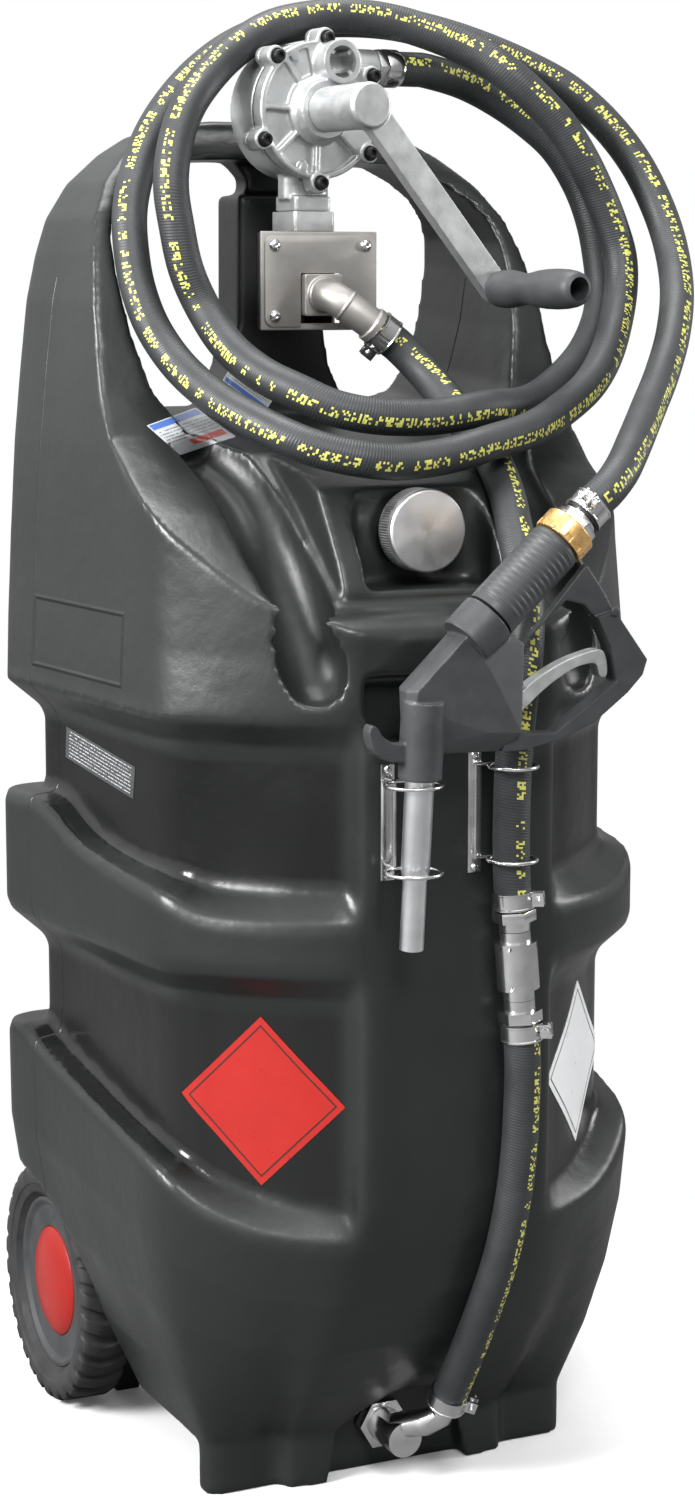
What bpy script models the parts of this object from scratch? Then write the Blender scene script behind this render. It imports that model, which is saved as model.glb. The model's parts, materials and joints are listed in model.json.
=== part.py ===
"""Fuel caddy: a moulded trolley tank with a rotary hand pump, hoses, nozzle and two wheels.

Metres, +X to the object's own right as seen from the front, +Y to the rear, +Z up.
The origin is on the floor, under the middle of the tank's flat base.
"""
import math

import bmesh
import bpy
from mathutils import Matrix, Vector

for item in list(bpy.data.objects):
    bpy.data.objects.remove(item, do_unlink=True)

GAP = 0.0003
OVERRUN = 0.02

# Tank
TANK_HEIGHT = 1.155
TANK_HALF_WIDTH = 0.251
TANK_FRONT = -0.222
TANK_REAR = 0.186
RECESS_DEPTH = 0.028
SHOULDER_HEIGHT = 0.420
SPINE_TOP = TANK_HEIGHT - SHOULDER_HEIGHT
FOOT_TOP = 0.045
CHIN_TOP_SHARE = 0.408
LOWER_RIDGE_SHARE = 0.336
LOWER_RISE_SHARE = 0.162
MIDDLE_BAND_SHARE = 0.6054
UPPER_RIDGE_SHARE = 0.6966
UPPER_RISE_SHARE = 0.0857
UPPER_BAND_SHARE = 0.8844
CHIN_TOP = SPINE_TOP * CHIN_TOP_SHARE
LOWER_RIDGE_Z = SPINE_TOP * LOWER_RIDGE_SHARE
LOWER_RIDGE_RISE = SPINE_TOP * LOWER_RISE_SHARE
MIDDLE_BAND_Z = SPINE_TOP * MIDDLE_BAND_SHARE
UPPER_RIDGE_Z = SPINE_TOP * UPPER_RIDGE_SHARE
UPPER_RIDGE_RISE = SPINE_TOP * UPPER_RISE_SHARE
UPPER_BAND_Z = SPINE_TOP * UPPER_BAND_SHARE
SHELF_RISE = 0.022
BAND_CHAMFER = 0.022
RIDGE_FILLET = 0.010
SHOULDER_PUSH = 0.035

# Underside: a full-width front foot, a flat keel and two legs beside the wheels
BASE_HALF_WIDTH = 0.172
FOOT_REAR = -0.076
SIDE_UNDERSIDE = 0.042
KEEL_HALF_WIDTH = 0.100
LEG_FRONT = 0.163
LEG_INNER_X = 0.130

# Handle, column and bowl
BAR_HEIGHT = 0.034
BAR_UNDERSIDE = TANK_HEIGHT - BAR_HEIGHT
BOWL_DEPTH = 0.256
BOWL_FALL = 0.037
BOWL_FLOOR_REAR = TANK_HEIGHT - BOWL_DEPTH
BOWL_FLOOR_FRONT = BOWL_FLOOR_REAR - BOWL_FALL
BOWL_HALF_WIDTH = 0.188
BOWL_FRONT = -0.044
HANDLE_FRONT = 0.128
COLUMN_HALF_WIDTH = 0.040
NECK_LENGTH = 0.029
COLUMN_TOP = BAR_UNDERSIDE - NECK_LENGTH
COLUMN_FRONT = 0.125
NECK_HALF_WIDTH = 0.024
NOSE_HALF_WIDTH = 0.085
NOSE_FRONT = -0.182
NOSE_BACK = -0.132
ALCOVE_HALF_WIDTH = 0.062
ALCOVE_RISE = 0.037
ALCOVE_FLOOR = SPINE_TOP + ALCOVE_RISE
CHANNEL_RADIUS = 0.028

# Running gear
WHEEL_RADIUS = 0.1088
WHEEL_Y = 0.183
WHEEL_OUTER_X = 0.2178
TYRE_WIDTH = 0.048
AXLE_RADIUS = 0.010
WELL_INNER_X = 0.155
WELL_CLEARANCE = 0.015

# Filler
CAP_RISE = 0.045
CAP_Z = ALCOVE_FLOOR + CAP_RISE
CAP_RADIUS = 0.034
CAP_DEPTH = 0.024
NECK_BORE_RADIUS = 0.021
NECK_RADIUS = 0.0255

# Pump
PUMP_Y = 0.075
PUMP_RISE = 0.006
PUMP_Z = TANK_HEIGHT + PUMP_RISE
PUMP_TURN = math.radians(6)
PUMP_RADIUS = 0.058
PUMP_REAR = 0.028
PUMP_SPLIT = -0.010
PUMP_FACE = -0.024
ROTOR_RADIUS = 0.036
VANE_REACH = 0.0415
CHAMBER_RADIUS = 0.047
CHAMBER_OFFSET = 0.005
SHAFT_RADIUS = 0.008
CRANK_THROW = 0.200
CRANK_WIDTH = 0.024
CRANK_THICKNESS = 0.012
CRANK_HUB_RADIUS = 0.0195
CRANK_REST = math.radians(-49)
HUB_FRONT = -0.111
GRIP_LENGTH = 0.118
GRIP_RADIUS = 0.0165

# Bracket
BRACKET_FRONT = 0.045
BRACKET_HALF_WIDTH = 0.055
BRACKET_DROP = 0.102
BRACKET_HEIGHT = 0.084
BRACKET_HIGH = PUMP_Z - BRACKET_DROP
BRACKET_LOW = BRACKET_HIGH - BRACKET_HEIGHT
SHEET = 0.003
ELBOW_DROP = 0.054
ELBOW_Z = BRACKET_HIGH - ELBOW_DROP
ELBOW_BLOCK = 0.0155
ELBOW_FACE = 0.036

# Hoses
HOSE_RADIUS = 0.015
CLAMP_LENGTH = 0.014

# Nozzle
NOZZLE_X = -0.059
NOZZLE_Y = -0.268
NOZZLE_DROP = 0.087
NOZZLE_Z = SPINE_TOP - NOZZLE_DROP
NOZZLE_REACH = 0.200
NOZZLE_THICKNESS = 0.030
GUARD_THICKNESS = 0.018
SPOUT_RADIUS = 0.0115

# Outlet at the foot, and the pocket in the spine
NOTCH_HALF_WIDTH = 0.066
NOTCH_DEPTH = 0.020
NOTCH_TOP = 0.085
OUTLET_X = -0.010
OUTLET_Z = 0.041
OUTLET_RADIUS = 0.0125
POCKET_LEFT = -0.083
POCKET_RIGHT = 0.020
POCKET_DROP = 0.027
POCKET_HEIGHT = 0.056
POCKET_HIGH = SPINE_TOP - POCKET_DROP
POCKET_LOW = POCKET_HIGH - POCKET_HEIGHT
POCKET_DEPTH = 0.020

# Wire holders and stickers
HOLDER_DROP = 0.014
HOLDER_HEIGHT = 0.076
HOLDER_HIGH = NOZZLE_Z - HOLDER_DROP
HOLDER_LOW = HOLDER_HIGH - HOLDER_HEIGHT
HOLDER_STRIP = 0.0015
HOLDER_WIRE = 0.0016
SPOUT_RING_X = -0.0605
SPOUT_RING_Y = -0.2585
SPOUT_RING_RADIUS = 0.0225
SPOUT_STRIP_X = -0.066
HOSE_RING_X = 0.0355
HOSE_RING_Y = -0.2445
HOSE_RING_RADIUS = 0.0195
HOSE_STRIP_X = 0.012
STICKER_THICKNESS = 0.0006
STICKER_SHARE = 0.505
DIAMOND_SIDE = (MIDDLE_BAND_Z - LOWER_RIDGE_Z) * STICKER_SHARE
DIAMOND_SHARE = 0.8045
DIAMOND_Z = MIDDLE_BAND_Z * DIAMOND_SHARE


def new_material(name, colour, roughness, metallic=0.0):
    material = bpy.data.materials.new(name)
    material.use_nodes = True
    shader = material.node_tree.nodes["Principled BSDF"]
    shader.inputs["Base Color"].default_value = (*colour, 1)
    shader.inputs["Roughness"].default_value = roughness
    shader.inputs["Metallic"].default_value = metallic
    return material


BLACK_PLASTIC = new_material("black_polyethylene", (0.035, 0.037, 0.038), 0.45)
NOZZLE_PLASTIC = new_material("nozzle_black", (0.04, 0.043, 0.045), 0.55)
HOSE_RUBBER = new_material("hose_rubber", (0.035, 0.038, 0.042), 0.6)
TYRE_RUBBER = new_material("tyre_rubber", (0.02, 0.02, 0.02), 0.8)
SEAL_RUBBER = new_material("seal_rubber", (0.015, 0.015, 0.015), 0.7)
CAST_ALUMINIUM = new_material("cast_aluminium", (0.55, 0.56, 0.56), 0.45, 0.8)
TURNED_ALUMINIUM = new_material("turned_aluminium", (0.72, 0.73, 0.74), 0.25, 1.0)
STAINLESS = new_material("brushed_stainless", (0.5, 0.48, 0.45), 0.3, 1.0)
CHROME = new_material("bright_plated_steel", (0.75, 0.75, 0.75), 0.12, 1.0)
BRASS = new_material("brass", (0.78, 0.5, 0.2), 0.3, 1.0)
STEEL = new_material("dark_steel", (0.3, 0.3, 0.3), 0.4, 1.0)
RED_PLASTIC = new_material("red_gloss", (0.6, 0.03, 0.02), 0.2)
ORANGE_FILM = new_material("orange_film", (0.85, 0.06, 0.03), 0.35)
WHITE_FILM = new_material("white_film", (0.85, 0.85, 0.85), 0.35)
VANE_PLASTIC = new_material("vane_plastic", (0.5, 0.48, 0.4), 0.5)


def lathe(profile, segments=24, phase=0.0):
    """Turned solid about Z: a profile from axis to axis, or a closed one clear of the axis."""
    shape = bmesh.new()
    rings = []
    for radius, height in profile:
        if radius == 0:
            rings.append([shape.verts.new((0, 0, height))])
            continue
        turns = [phase + math.tau * step / segments for step in range(segments)]
        rings.append([shape.verts.new((radius * math.cos(a), radius * math.sin(a), height)) for a in turns])
    pairs = list(zip(rings, rings[1:]))
    if profile[0][0] > 0:
        pairs.append((rings[-1], rings[0]))
    for low, high in pairs:
        for step in range(segments):
            after = (step + 1) % segments
            quad = (low[step % len(low)], low[after % len(low)], high[after % len(high)],
                    high[step % len(high)])
            corners = list(dict.fromkeys(quad))
            if len(corners) > 2:
                shape.faces.new(corners)
    bmesh.ops.recalc_face_normals(shape, faces=shape.faces)
    return shape


def disc(radius, low, high, segments=24):
    return lathe([(0, low), (radius, low), (radius, high), (0, high)], segments)


def ring(inner, outer, low, high, segments=24):
    return lathe([(inner, low), (outer, low), (outer, high), (inner, high)], segments)


def hexagon(across_corners, low, high, bore=0.0):
    if bore == 0:
        return disc(across_corners / 2, low, high, 6)
    solid = disc(across_corners / 2, low, high, 6)
    return combine(solid, disc(bore, low - OVERRUN, high + OVERRUN), "DIFFERENCE")


def off_plane(face):
    """How far the corners of a face stand off its own plane."""
    middle = face.calc_center_median()
    return max(abs((corner.co - middle).dot(face.normal)) for corner in face.verts)


def skin(rings, closed=False):
    """Solid skinned over rings of equal point counts, capped at both ends unless closed."""
    shape = bmesh.new()
    loops = [[shape.verts.new(point) for point in points] for points in rings]
    pairs = list(zip(loops, loops[1:]))
    if closed:
        pairs.append((loops[-1], loops[0]))
    count = len(loops[0])
    for low, high in pairs:
        for step in range(count):
            after = (step + 1) % count
            shape.faces.new((low[step], low[after], high[after], high[step]))
    shape.normal_update()
    bent = [face for face in shape.faces if off_plane(face) > GAP / 1000]
    bmesh.ops.triangulate(shape, faces=bent)
    if not closed:
        shape.faces.new(loops[0])
        shape.faces.new(loops[-1])
    bmesh.ops.recalc_face_normals(shape, faces=shape.faces)
    return shape


def prism(outline, low, high):
    """Outline in X and Y, pulled up along Z."""
    return skin([[(x, y, low) for x, y in outline], [(x, y, high) for x, y in outline]])


def block(low, high):
    (x0, y0, z0), (x1, y1, z1) = low, high
    return prism([(x0, y0), (x1, y0), (x1, y1), (x0, y1)], z0, z1)


def rounded(half_x, half_y, radius, steps=4):
    """Rectangle outline with round corners."""
    points = []
    for quarter, (sx, sy) in enumerate(((1, 1), (-1, 1), (-1, -1), (1, -1))):
        for step in range(steps + 1):
            angle = math.radians(90) * (quarter + step / steps)
            points.append((sx * (half_x - radius) + radius * math.cos(angle),
                           sy * (half_y - radius) + radius * math.sin(angle)))
    return points


def moved(shape, matrix):
    shape.transform(matrix)
    return shape


def shifted(shape, x=0.0, y=0.0, z=0.0):
    return moved(shape, Matrix.Translation((x, y, z)))


def sideways(shape):
    """Turns a shape made along Z so that its Z runs along +X, its X along +Y and its Y along +Z."""
    return moved(shape, Matrix(((0, 0, 1, 0), (1, 0, 0, 0), (0, 1, 0, 0), (0, 0, 0, 1))))


def frontways(shape):
    """Turns a shape made along Z so that its Z runs along -Y and its Y along +Z."""
    return moved(shape, Matrix(((1, 0, 0, 0), (0, 0, -1, 0), (0, 1, 0, 0), (0, 0, 0, 1))))


def along(origin, axis):
    """Matrix that puts local Z along the axis, at the origin."""
    turn = Vector(axis).normalized().to_track_quat("Z", "Y").to_matrix().to_4x4()
    return Matrix.Translation(origin) @ turn


def sweep(points, radii, sides=8):
    """Round bar along points, with one radius or one for each point."""
    points = [Vector(point) for point in points]
    if not isinstance(radii, (list, tuple)):
        radii = [radii] * len(points)
    rings = []
    side = None
    for index, point in enumerate(points):
        tangent = (points[min(index + 1, len(points) - 1)] - points[max(index - 1, 0)]).normalized()
        if side is None:
            side = tangent.orthogonal().normalized()
        side = (side - tangent * side.dot(tangent)).normalized()
        other = tangent.cross(side)
        turns = [math.tau * step / sides for step in range(sides)]
        rings.append([point + radii[index] * (math.cos(a) * side + math.sin(a) * other) for a in turns])
    return skin(rings)


def mesh_of(shape, name):
    mesh = bpy.data.meshes.new(name)
    shape.to_mesh(mesh)
    shape.free()
    return mesh


def combine(body, tool, operation):
    """Exact Boolean of two solids."""
    first = bpy.data.objects.new("body", mesh_of(body, "body"))
    second = bpy.data.objects.new("tool", mesh_of(tool, "tool"))
    for item in (first, second):
        bpy.context.scene.collection.objects.link(item)
    cut = first.modifiers.new("cut", "BOOLEAN")
    cut.operation = operation
    cut.solver = "EXACT"
    cut.object = second
    result = bmesh.new()
    result.from_object(first, bpy.context.evaluated_depsgraph_get())
    for item in (first, second):
        bpy.data.objects.remove(item, do_unlink=True)
    return result


def cut(body, *tools):
    for tool in tools:
        body = combine(body, tool, "DIFFERENCE")
    return body


def fuse(body, *tools):
    for tool in tools:
        body = combine(body, tool, "UNION")
    return body


def mirrored(shape):
    copy = shape.copy()
    copy.transform(Matrix.Diagonal((-1, 1, 1, 1)))
    bmesh.ops.reverse_faces(copy, faces=copy.faces)
    return copy


def add(name, shape, material, place=None):
    mesh = mesh_of(shape, name)
    mesh.materials.append(material)
    mesh.shade_smooth()
    mesh.set_sharp_from_angle(angle=math.radians(35))
    item = bpy.data.objects.new(name, mesh)
    bpy.context.scene.collection.objects.link(item)
    if place is not None:
        item.matrix_world = place
    return item


def smooth_path(points, spacing):
    """Points along the smooth curve through hand-placed ones: even, with a straight lead at each end."""
    points = [Vector(point) for point in points]
    fine = []
    for index in range(len(points) - 1):
        a = points[max(index - 1, 0)]
        b, c = points[index], points[index + 1]
        d = points[min(index + 2, len(points) - 1)]
        for step in range(16):
            t = step / 16
            fine.append(0.5 * (2 * b + (c - a) * t + (2 * a - 5 * b + 4 * c - d) * t ** 2
                               + (3 * b - a - 3 * c + d) * t ** 3))
    fine.append(points[-1])
    length = sum((q - p).length for p, q in zip(fine, fine[1:]))
    lead = HOSE_RADIUS * 1.4
    count = round((length - 2 * lead) / spacing)
    marks = [lead + (length - 2 * lead) * step / count for step in range(count + 1)]
    even = [fine[0]]
    walked = 0.0
    for p, q in zip(fine, fine[1:]):
        reach = (q - p).length
        while marks and walked + reach >= marks[0]:
            even.append(p.lerp(q, (marks.pop(0) - walked) / reach))
        walked += reach
    even.append(fine[-1])
    return even, length


HELD_SPACING = HOSE_RADIUS * 1.4
FREE_SPACING = HOSE_RADIUS * 4.2
# The spine's top that the routes were laid out on, and where a hose takes up the difference.
ROUTE_SPINE_TOP = 0.735
STRETCH_LOW = 0.090
STRETCH_HIGH = 0.400


def lifted(route):
    """A hose's route on a tank of another height."""
    rise = SPINE_TOP - ROUTE_SPINE_TOP
    return [(x, y, z + rise * min(1, max(0, (z - STRETCH_LOW) / (STRETCH_HIGH - STRETCH_LOW)))) for x, y,
            z in route]


def hose(name, points, spacing, material):
    """Round hose as a bevelled curve along even points."""
    even, length = smooth_path(points, spacing)
    curve = bpy.data.curves.new(name, "CURVE")
    curve.dimensions = "3D"
    curve.bevel_depth = HOSE_RADIUS
    curve.bevel_resolution = 2
    curve.use_fill_caps = True
    spline = curve.splines.new("POLY")
    spline.points.add(len(even) - 1)
    for target, point in zip(spline.points, even):
        target.co = (*point, 1)
    curve.materials.append(material)
    item = bpy.data.objects.new(name, curve)
    bpy.context.scene.collection.objects.link(item)
    print(name, "length", round(length, 3), "points", len(even))
    return item


TANK_DEPTH = TANK_REAR - TANK_FRONT

# Half plan of the tank from the middle of the front to the middle of the rear.
BAND_SHARES = (
    (0, 0), (0.18, 0), (0.335, 0.002), (0.37, 0.006), (0.42, 0.017), (0.546, 0.059), (0.669, 0.113),
    (0.789, 0.181), (0.869, 0.240), (0.900, 0.299), (0.924, 0.446), (0.948, 0.618), (0.972, 0.789),
    (0.996, 0.900), (1, 0.949), (0.976, 0.980), (0.908, 1), (0.737, 1), (0.598, 1), (0.53, 1), (0, 1))
# How each point of it moves where the panels are recessed, in recess depths.
RECESS_SHARES = (
    (0, 0), (0, 0), (0, 0), (-0.05, 0.54), (-0.18, 0.66), (-0.46, 0.71), (-0.75, 0.68),
    (-0.89, 0.64), (-0.93, 0.50), (-0.96, 0.43), (-0.96, 0.29), (-1, 0.07), (-1, 0),
    (-1.04, -0.46), (-1.07, -0.79), (-1.18, -0.86), (-1.07, -1), (-0.3, -1), (0, -0.93), (0, 0), (0, 0))
# The same points at the foot of the tank.
BASE_SHARES = (
    (0, 0.267), (0.26, 0.267), (0.44, 0.269), (0.51, 0.270), (0.58, 0.277), (0.64, 0.306), (0.785, 0.304),
    (0.919, 0.306), (0.983, 0.319), (1, 0.348), (1, 0.470), (1, 0.622), (1, 0.789),
    (1, 0.900), (0.988, 0.949), (0.983, 0.980), (0.930, 1), (0.872, 1), (0.756, 1), (0.67, 1), (0, 1))
LOWER_RISE_SHARES = (0, 0, 0, 0, 0, 0.025, 0.084, 0.21, 0.378, 0.47, 0.597, 0.723, 0.866) + (1,) * 8
UPPER_RISE_SHARES = (0, 0, 0, 0, 0, 0, 0, 0.06, 0.25, 0.33, 0.44, 0.60, 0.98) + (1,) * 8
SHELF_SHARES = (1, 1, 1, 1, 1, 0.95, 0.9, 0.75, 0.5, 0.35, 0.1) + (0.08,) * 10
# Half width of the upper body and handle, by level, in shares of the tank's.
ARCH_SHARES = (
    (0.919, 0.984), (0.988, 0.976), (1.156, 0.960), (1.346, 0.940), (1.489, 0.916), (1.632, 0.888),
    (1.725, 0.853), (1.797, 0.813), (1.868, 0.735), (1.9285, 0.618), (1.9643, 0.518), (1.9882, 0.398),
               (2, 0.24))
PUSH_SHARES = ((0.911, 0), (0.988, 0.63), (1.175, 1), (2, 1))


def height_of(level):
    """Height of a level: 0 is the floor, 1 the top of the spine and 2 the top of the handle."""
    if level <= 1:
        return level * SPINE_TOP
    return SPINE_TOP + (level - 1) * SHOULDER_HEIGHT


def level_of(z):
    if z <= SPINE_TOP:
        return z / SPINE_TOP
    return 1 + (z - SPINE_TOP) / SHOULDER_HEIGHT


def between(table, value):
    """Straight-line reading of a table of pairs."""
    if value <= table[0][0]:
        return table[0][1]
    for (a, low), (b, high) in zip(table, table[1:]):
        if value <= b:
            return low + (high - low) * (value - a) / (b - a)
    return table[-1][1]


def tank_point(column, z, mask):
    """Point of the tank's skin: mask is 1 on the raised bands and 0 in the recessed panels."""
    x = BAND_SHARES[column][0] * TANK_HALF_WIDTH + RECESS_SHARES[column][0] * RECESS_DEPTH * (1 - mask)
    y = BAND_SHARES[column][1] * TANK_DEPTH + RECESS_SHARES[column][1] * RECESS_DEPTH * (1 - mask)
    chin = min(1, max(0, (CHIN_TOP - z) / (CHIN_TOP - FOOT_TOP))) ** 2
    x += (BASE_SHARES[column][0] * BASE_HALF_WIDTH - x) * chin
    y += (BASE_SHARES[column][1] * TANK_DEPTH - y) * chin
    level = level_of(z)
    if level > ARCH_SHARES[0][0]:
        y += SHOULDER_PUSH * between(PUSH_SHARES, level) * (x / TANK_HALF_WIDTH) ** 2 * (1 - y / TANK_DEPTH)
        x *= between(ARCH_SHARES, level)
    return x, TANK_FRONT + y, z


def tank_levels(column):
    """Heights and masks up one column of the skin."""
    lower = LOWER_RIDGE_Z + LOWER_RISE_SHARES[column] * LOWER_RIDGE_RISE
    upper = UPPER_RIDGE_Z + UPPER_RISE_SHARES[column] * UPPER_RIDGE_RISE
    shelf = SHELF_SHARES[column] * SHELF_RISE
    edge = lower - RIDGE_FILLET
    levels = [(0, 1)] + [(FOOT_TOP + (edge - FOOT_TOP) * share, 1) for share in (0, 0.25, 0.5, 0.75)]
    for ridge, band in ((lower, MIDDLE_BAND_Z), (upper, UPPER_BAND_Z)):
        levels += [(ridge - RIDGE_FILLET, 1), (ridge, 0.9), (ridge + shelf, 0.08),
                   (ridge + shelf + RIDGE_FILLET, 0)]
        levels += [(band - RIDGE_FILLET, 0), (band, 0.12), (band + BAND_CHAMFER, 0.9),
                   (band + BAND_CHAMFER + RIDGE_FILLET, 1)]
    levels += [(height_of(level), 1) for level, _ in ARCH_SHARES[1:]]
    return levels


def tank_rings():
    """Closed rings of the skin, from the floor to the top of the handle."""
    columns = [[tank_point(column, z, mask) for z, mask in tank_levels(column)]
               for column in range(len(BAND_SHARES))]
    rings = []
    for right in zip(*columns):
        left = [(-x, y, z) for x, y, z in right[1:-1]]
        rings.append(list(right) + left[::-1])
    return rings


# Side view of the upper body, from the top of the spine back to the handle: depth, height.
ROOF_SHARES = (
    (0, 0), (0.015, 0.026), (0.044, 0.045), (0.078, 0.055), (0.137, 0.090), (0.225, 0.162), (0.311, 0.231),
    (0.422, 0.302), (0.507, 0.369), (0.564, 0.452), (0.598, 0.540), (0.632, 0.633), (0.674, 0.726),
    (0.728, 0.817), (0.794, 0.898), (0.843, 0.950), (0.882, 0.988), (0.89, 1.06))
# Cross-section of the bowl: half width, and height from its floor to the handle bar's underside.
BOWL_SHARES = (
    (0, 0), (0.55, 0), (0.78, 0.05), (0.90, 0.18), (0.965, 0.38), (1, 0.58), (1, 0.69), (0.97, 0.78),
    (0.90, 0.86), (0.78, 0.93), (0.62, 0.99), (0.3, 1))
BOWL_TAPER_SHARES = ((0, 1), (0.3, 0.995), (0.66, 0.955), (0.92, 0.91), (1, 0.90))
COLUMN_FLARE_SHARES = ((2.1, -0.02), (1.55, 0.07), (1.2, 0.22), (1.03, 0.42), (1, 0.98), (0.94, 1))
# Drain channel: half width and depth in shares of the tank's, level, and radius in shares of its own.
CHANNEL_SHARES = (
    (0.57, 0.52, 1.365, 0.9), (0.50, 0.40, 1.300, 1), (0.485, 0.262, 1.190, 1.04),
    (0.465, 0.132, 1.040, 1.04), (0.462, 0.062, 0.968, 0.95), (0.458, 0.035, 0.935, 0.6))


def roof_tool():
    """Everything in front of and above the sloping shoulders."""
    line = [(TANK_FRONT + a * TANK_DEPTH, SPINE_TOP + b * SHOULDER_HEIGHT) for a, b in ROOF_SHARES]
    line += [(TANK_FRONT - OVERRUN, line[-1][1]), (TANK_FRONT - OVERRUN, SPINE_TOP)]
    return sideways(prism(line, -TANK_HALF_WIDTH - OVERRUN, TANK_HALF_WIDTH + OVERRUN))


def bowl_tool():
    """Hollow between the wings, and the two openings beside the column."""
    run = TANK_REAR + OVERRUN - BOWL_FRONT
    rings = []
    for share, taper in BOWL_TAPER_SHARES:
        y = BOWL_FRONT + share * run
        floor = BOWL_FLOOR_FRONT + (BOWL_FLOOR_REAR - BOWL_FLOOR_FRONT) * (y - NOSE_BACK) / (HANDLE_FRONT
                                                                                             - NOSE_BACK)
        right = [(a * taper * BOWL_HALF_WIDTH, y, floor + b * (BAR_UNDERSIDE - floor)) for a,
                 b in BOWL_SHARES]
        left = [(-x, y, z) for x, y, z in right[1:]]
        rings.append(right + left[::-1])
    return skin(rings)


def nose():
    """Raised block behind the filler cap, up to the floor of the bowl."""
    line = [(NOSE_FRONT, SPINE_TOP - OVERRUN), (NOSE_FRONT, ALCOVE_FLOOR), (NOSE_FRONT + RIDGE_FILLET,
                                                                            ALCOVE_FLOOR + SHELF_RISE),
            (NOSE_BACK, BOWL_FLOOR_FRONT - RIDGE_FILLET), (NOSE_BACK + SHELF_RISE, BOWL_FLOOR_FRONT),
            (HANDLE_FRONT, BOWL_FLOOR_REAR), (HANDLE_FRONT, SPINE_TOP - OVERRUN)]
    return sideways(prism(line, -NOSE_HALF_WIDTH, NOSE_HALF_WIDTH))


def column():
    """Post up the middle of the handle opening, with a flared foot and a narrower neck."""
    rise = COLUMN_TOP - BOWL_FLOOR_REAR
    right = [(a * COLUMN_HALF_WIDTH, BOWL_FLOOR_REAR + b * rise) for a, b in COLUMN_FLARE_SHARES]
    outline = right + [(-x, z) for x, z in right[::-1]]
    rear = TANK_REAR - RIDGE_FILLET
    post = moved(prism(outline, -rear, -COLUMN_FRONT), Matrix.Rotation(math.radians(90), 4, "X"))
    top = BAR_UNDERSIDE + RIDGE_FILLET
    neck_line = [(NECK_HALF_WIDTH, COLUMN_TOP - OVERRUN), (NECK_HALF_WIDTH, (COLUMN_TOP + BAR_UNDERSIDE) / 2),
                 (NECK_HALF_WIDTH * 2, top), (-NECK_HALF_WIDTH * 2, top),
                 (-NECK_HALF_WIDTH, (COLUMN_TOP + BAR_UNDERSIDE) / 2), (-NECK_HALF_WIDTH,
                                                                        COLUMN_TOP - OVERRUN)]
    neck = moved(prism(neck_line, -rear + SHEET, -COLUMN_FRONT - RIDGE_FILLET * 2),
                 Matrix.Rotation(math.radians(90), 4, "X"))
    return post, neck


def channel_tool():
    """Diagonal drain channel from the bowl to the side of the spine."""
    points = [(-a * TANK_HALF_WIDTH, TANK_FRONT + b * TANK_DEPTH, height_of(c)) for a, b, c,
              _ in CHANNEL_SHARES]
    return sweep(points, [d * CHANNEL_RADIUS for *_, d in CHANNEL_SHARES], 12)


def well_tool():
    """Wheel arch on the right."""
    radius = WHEEL_RADIUS + WELL_CLEARANCE
    arc = [(WHEEL_Y - radius * math.cos(math.radians(angle)),
            WHEEL_RADIUS + radius * math.sin(math.radians(angle)))
           for angle in range(0, 181, 20)]
    line = [(arc[0][0], -OVERRUN)] + arc + [(arc[-1][0], -OVERRUN)]
    return sideways(prism(line, WELL_INNER_X, TANK_HALF_WIDTH + OVERRUN))


def axle_channel():
    """Slot across the rear that the axle is pushed into."""
    radius = AXLE_RADIUS + GAP
    arc = [(WHEEL_Y - radius * math.sin(math.radians(angle)),
            WHEEL_RADIUS + radius * math.cos(math.radians(angle)))
           for angle in range(0, 181, 20)]
    line = arc + [(TANK_REAR + OVERRUN, WHEEL_RADIUS - radius), (TANK_REAR + OVERRUN, WHEEL_RADIUS + radius)]
    return sideways(prism(line, -TANK_HALF_WIDTH, TANK_HALF_WIDTH))


OUTLET_WALL = TANK_FRONT + BASE_SHARES[0][1] * TANK_DEPTH + NOTCH_DEPTH
# Fuel space: level, half width, front and rear, in shares of the tank's own.
CAVITY_SHARES = (
    (0.041, 0.36, 0.34, 0.93), (0.069, 0.36, 0.34, 0.93), (0.088, 0.58, 0.34, 0.93), (0.137, 0.58, 0.34,
                                                                                      0.93),
    (0.319, 0.58, 0.054, 0.93), (0.347, 0.757, 0.049, 0.96), (0.844, 0.789, 0.049, 0.96), (0.871, 0.789,
                                                                                           0.078, 0.96),
    (0.952, 0.777, 0.091, 0.96), (1.024, 0.737, 0.176, 0.94), (1.070, 0.677, 0.255, 0.92), (1.274, 0.558,
                                                                                            0.402, 0.87))
CAVITY_MIDDLE_SHARE = 0.47


def relief_tools():
    """Room under the tank behind the front foot, between the keel and the legs."""
    rear = TANK_REAR + OVERRUN
    side = block((KEEL_HALF_WIDTH, FOOT_REAR, -OVERRUN), (TANK_HALF_WIDTH, LEG_FRONT, SIDE_UNDERSIDE))
    behind = block((KEEL_HALF_WIDTH, LEG_FRONT - GAP, -OVERRUN), (LEG_INNER_X, rear, SIDE_UNDERSIDE))
    return mirrored(side), side, mirrored(behind), behind


def notch_tool():
    """Arched alcove at the foot of the tank, in front of the outlet."""
    line = [(-NOTCH_HALF_WIDTH, -OVERRUN), (-NOTCH_HALF_WIDTH, 0)]
    for angle in range(150, 29, -20):
        a = math.radians(angle)
        line.append((NOTCH_HALF_WIDTH * math.cos(a), NOTCH_TOP * math.sin(a)))
    line += [(NOTCH_HALF_WIDTH, 0), (NOTCH_HALF_WIDTH, -OVERRUN)]
    return frontways(prism(line, -OUTLET_WALL, -TANK_FRONT + OVERRUN))


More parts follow.
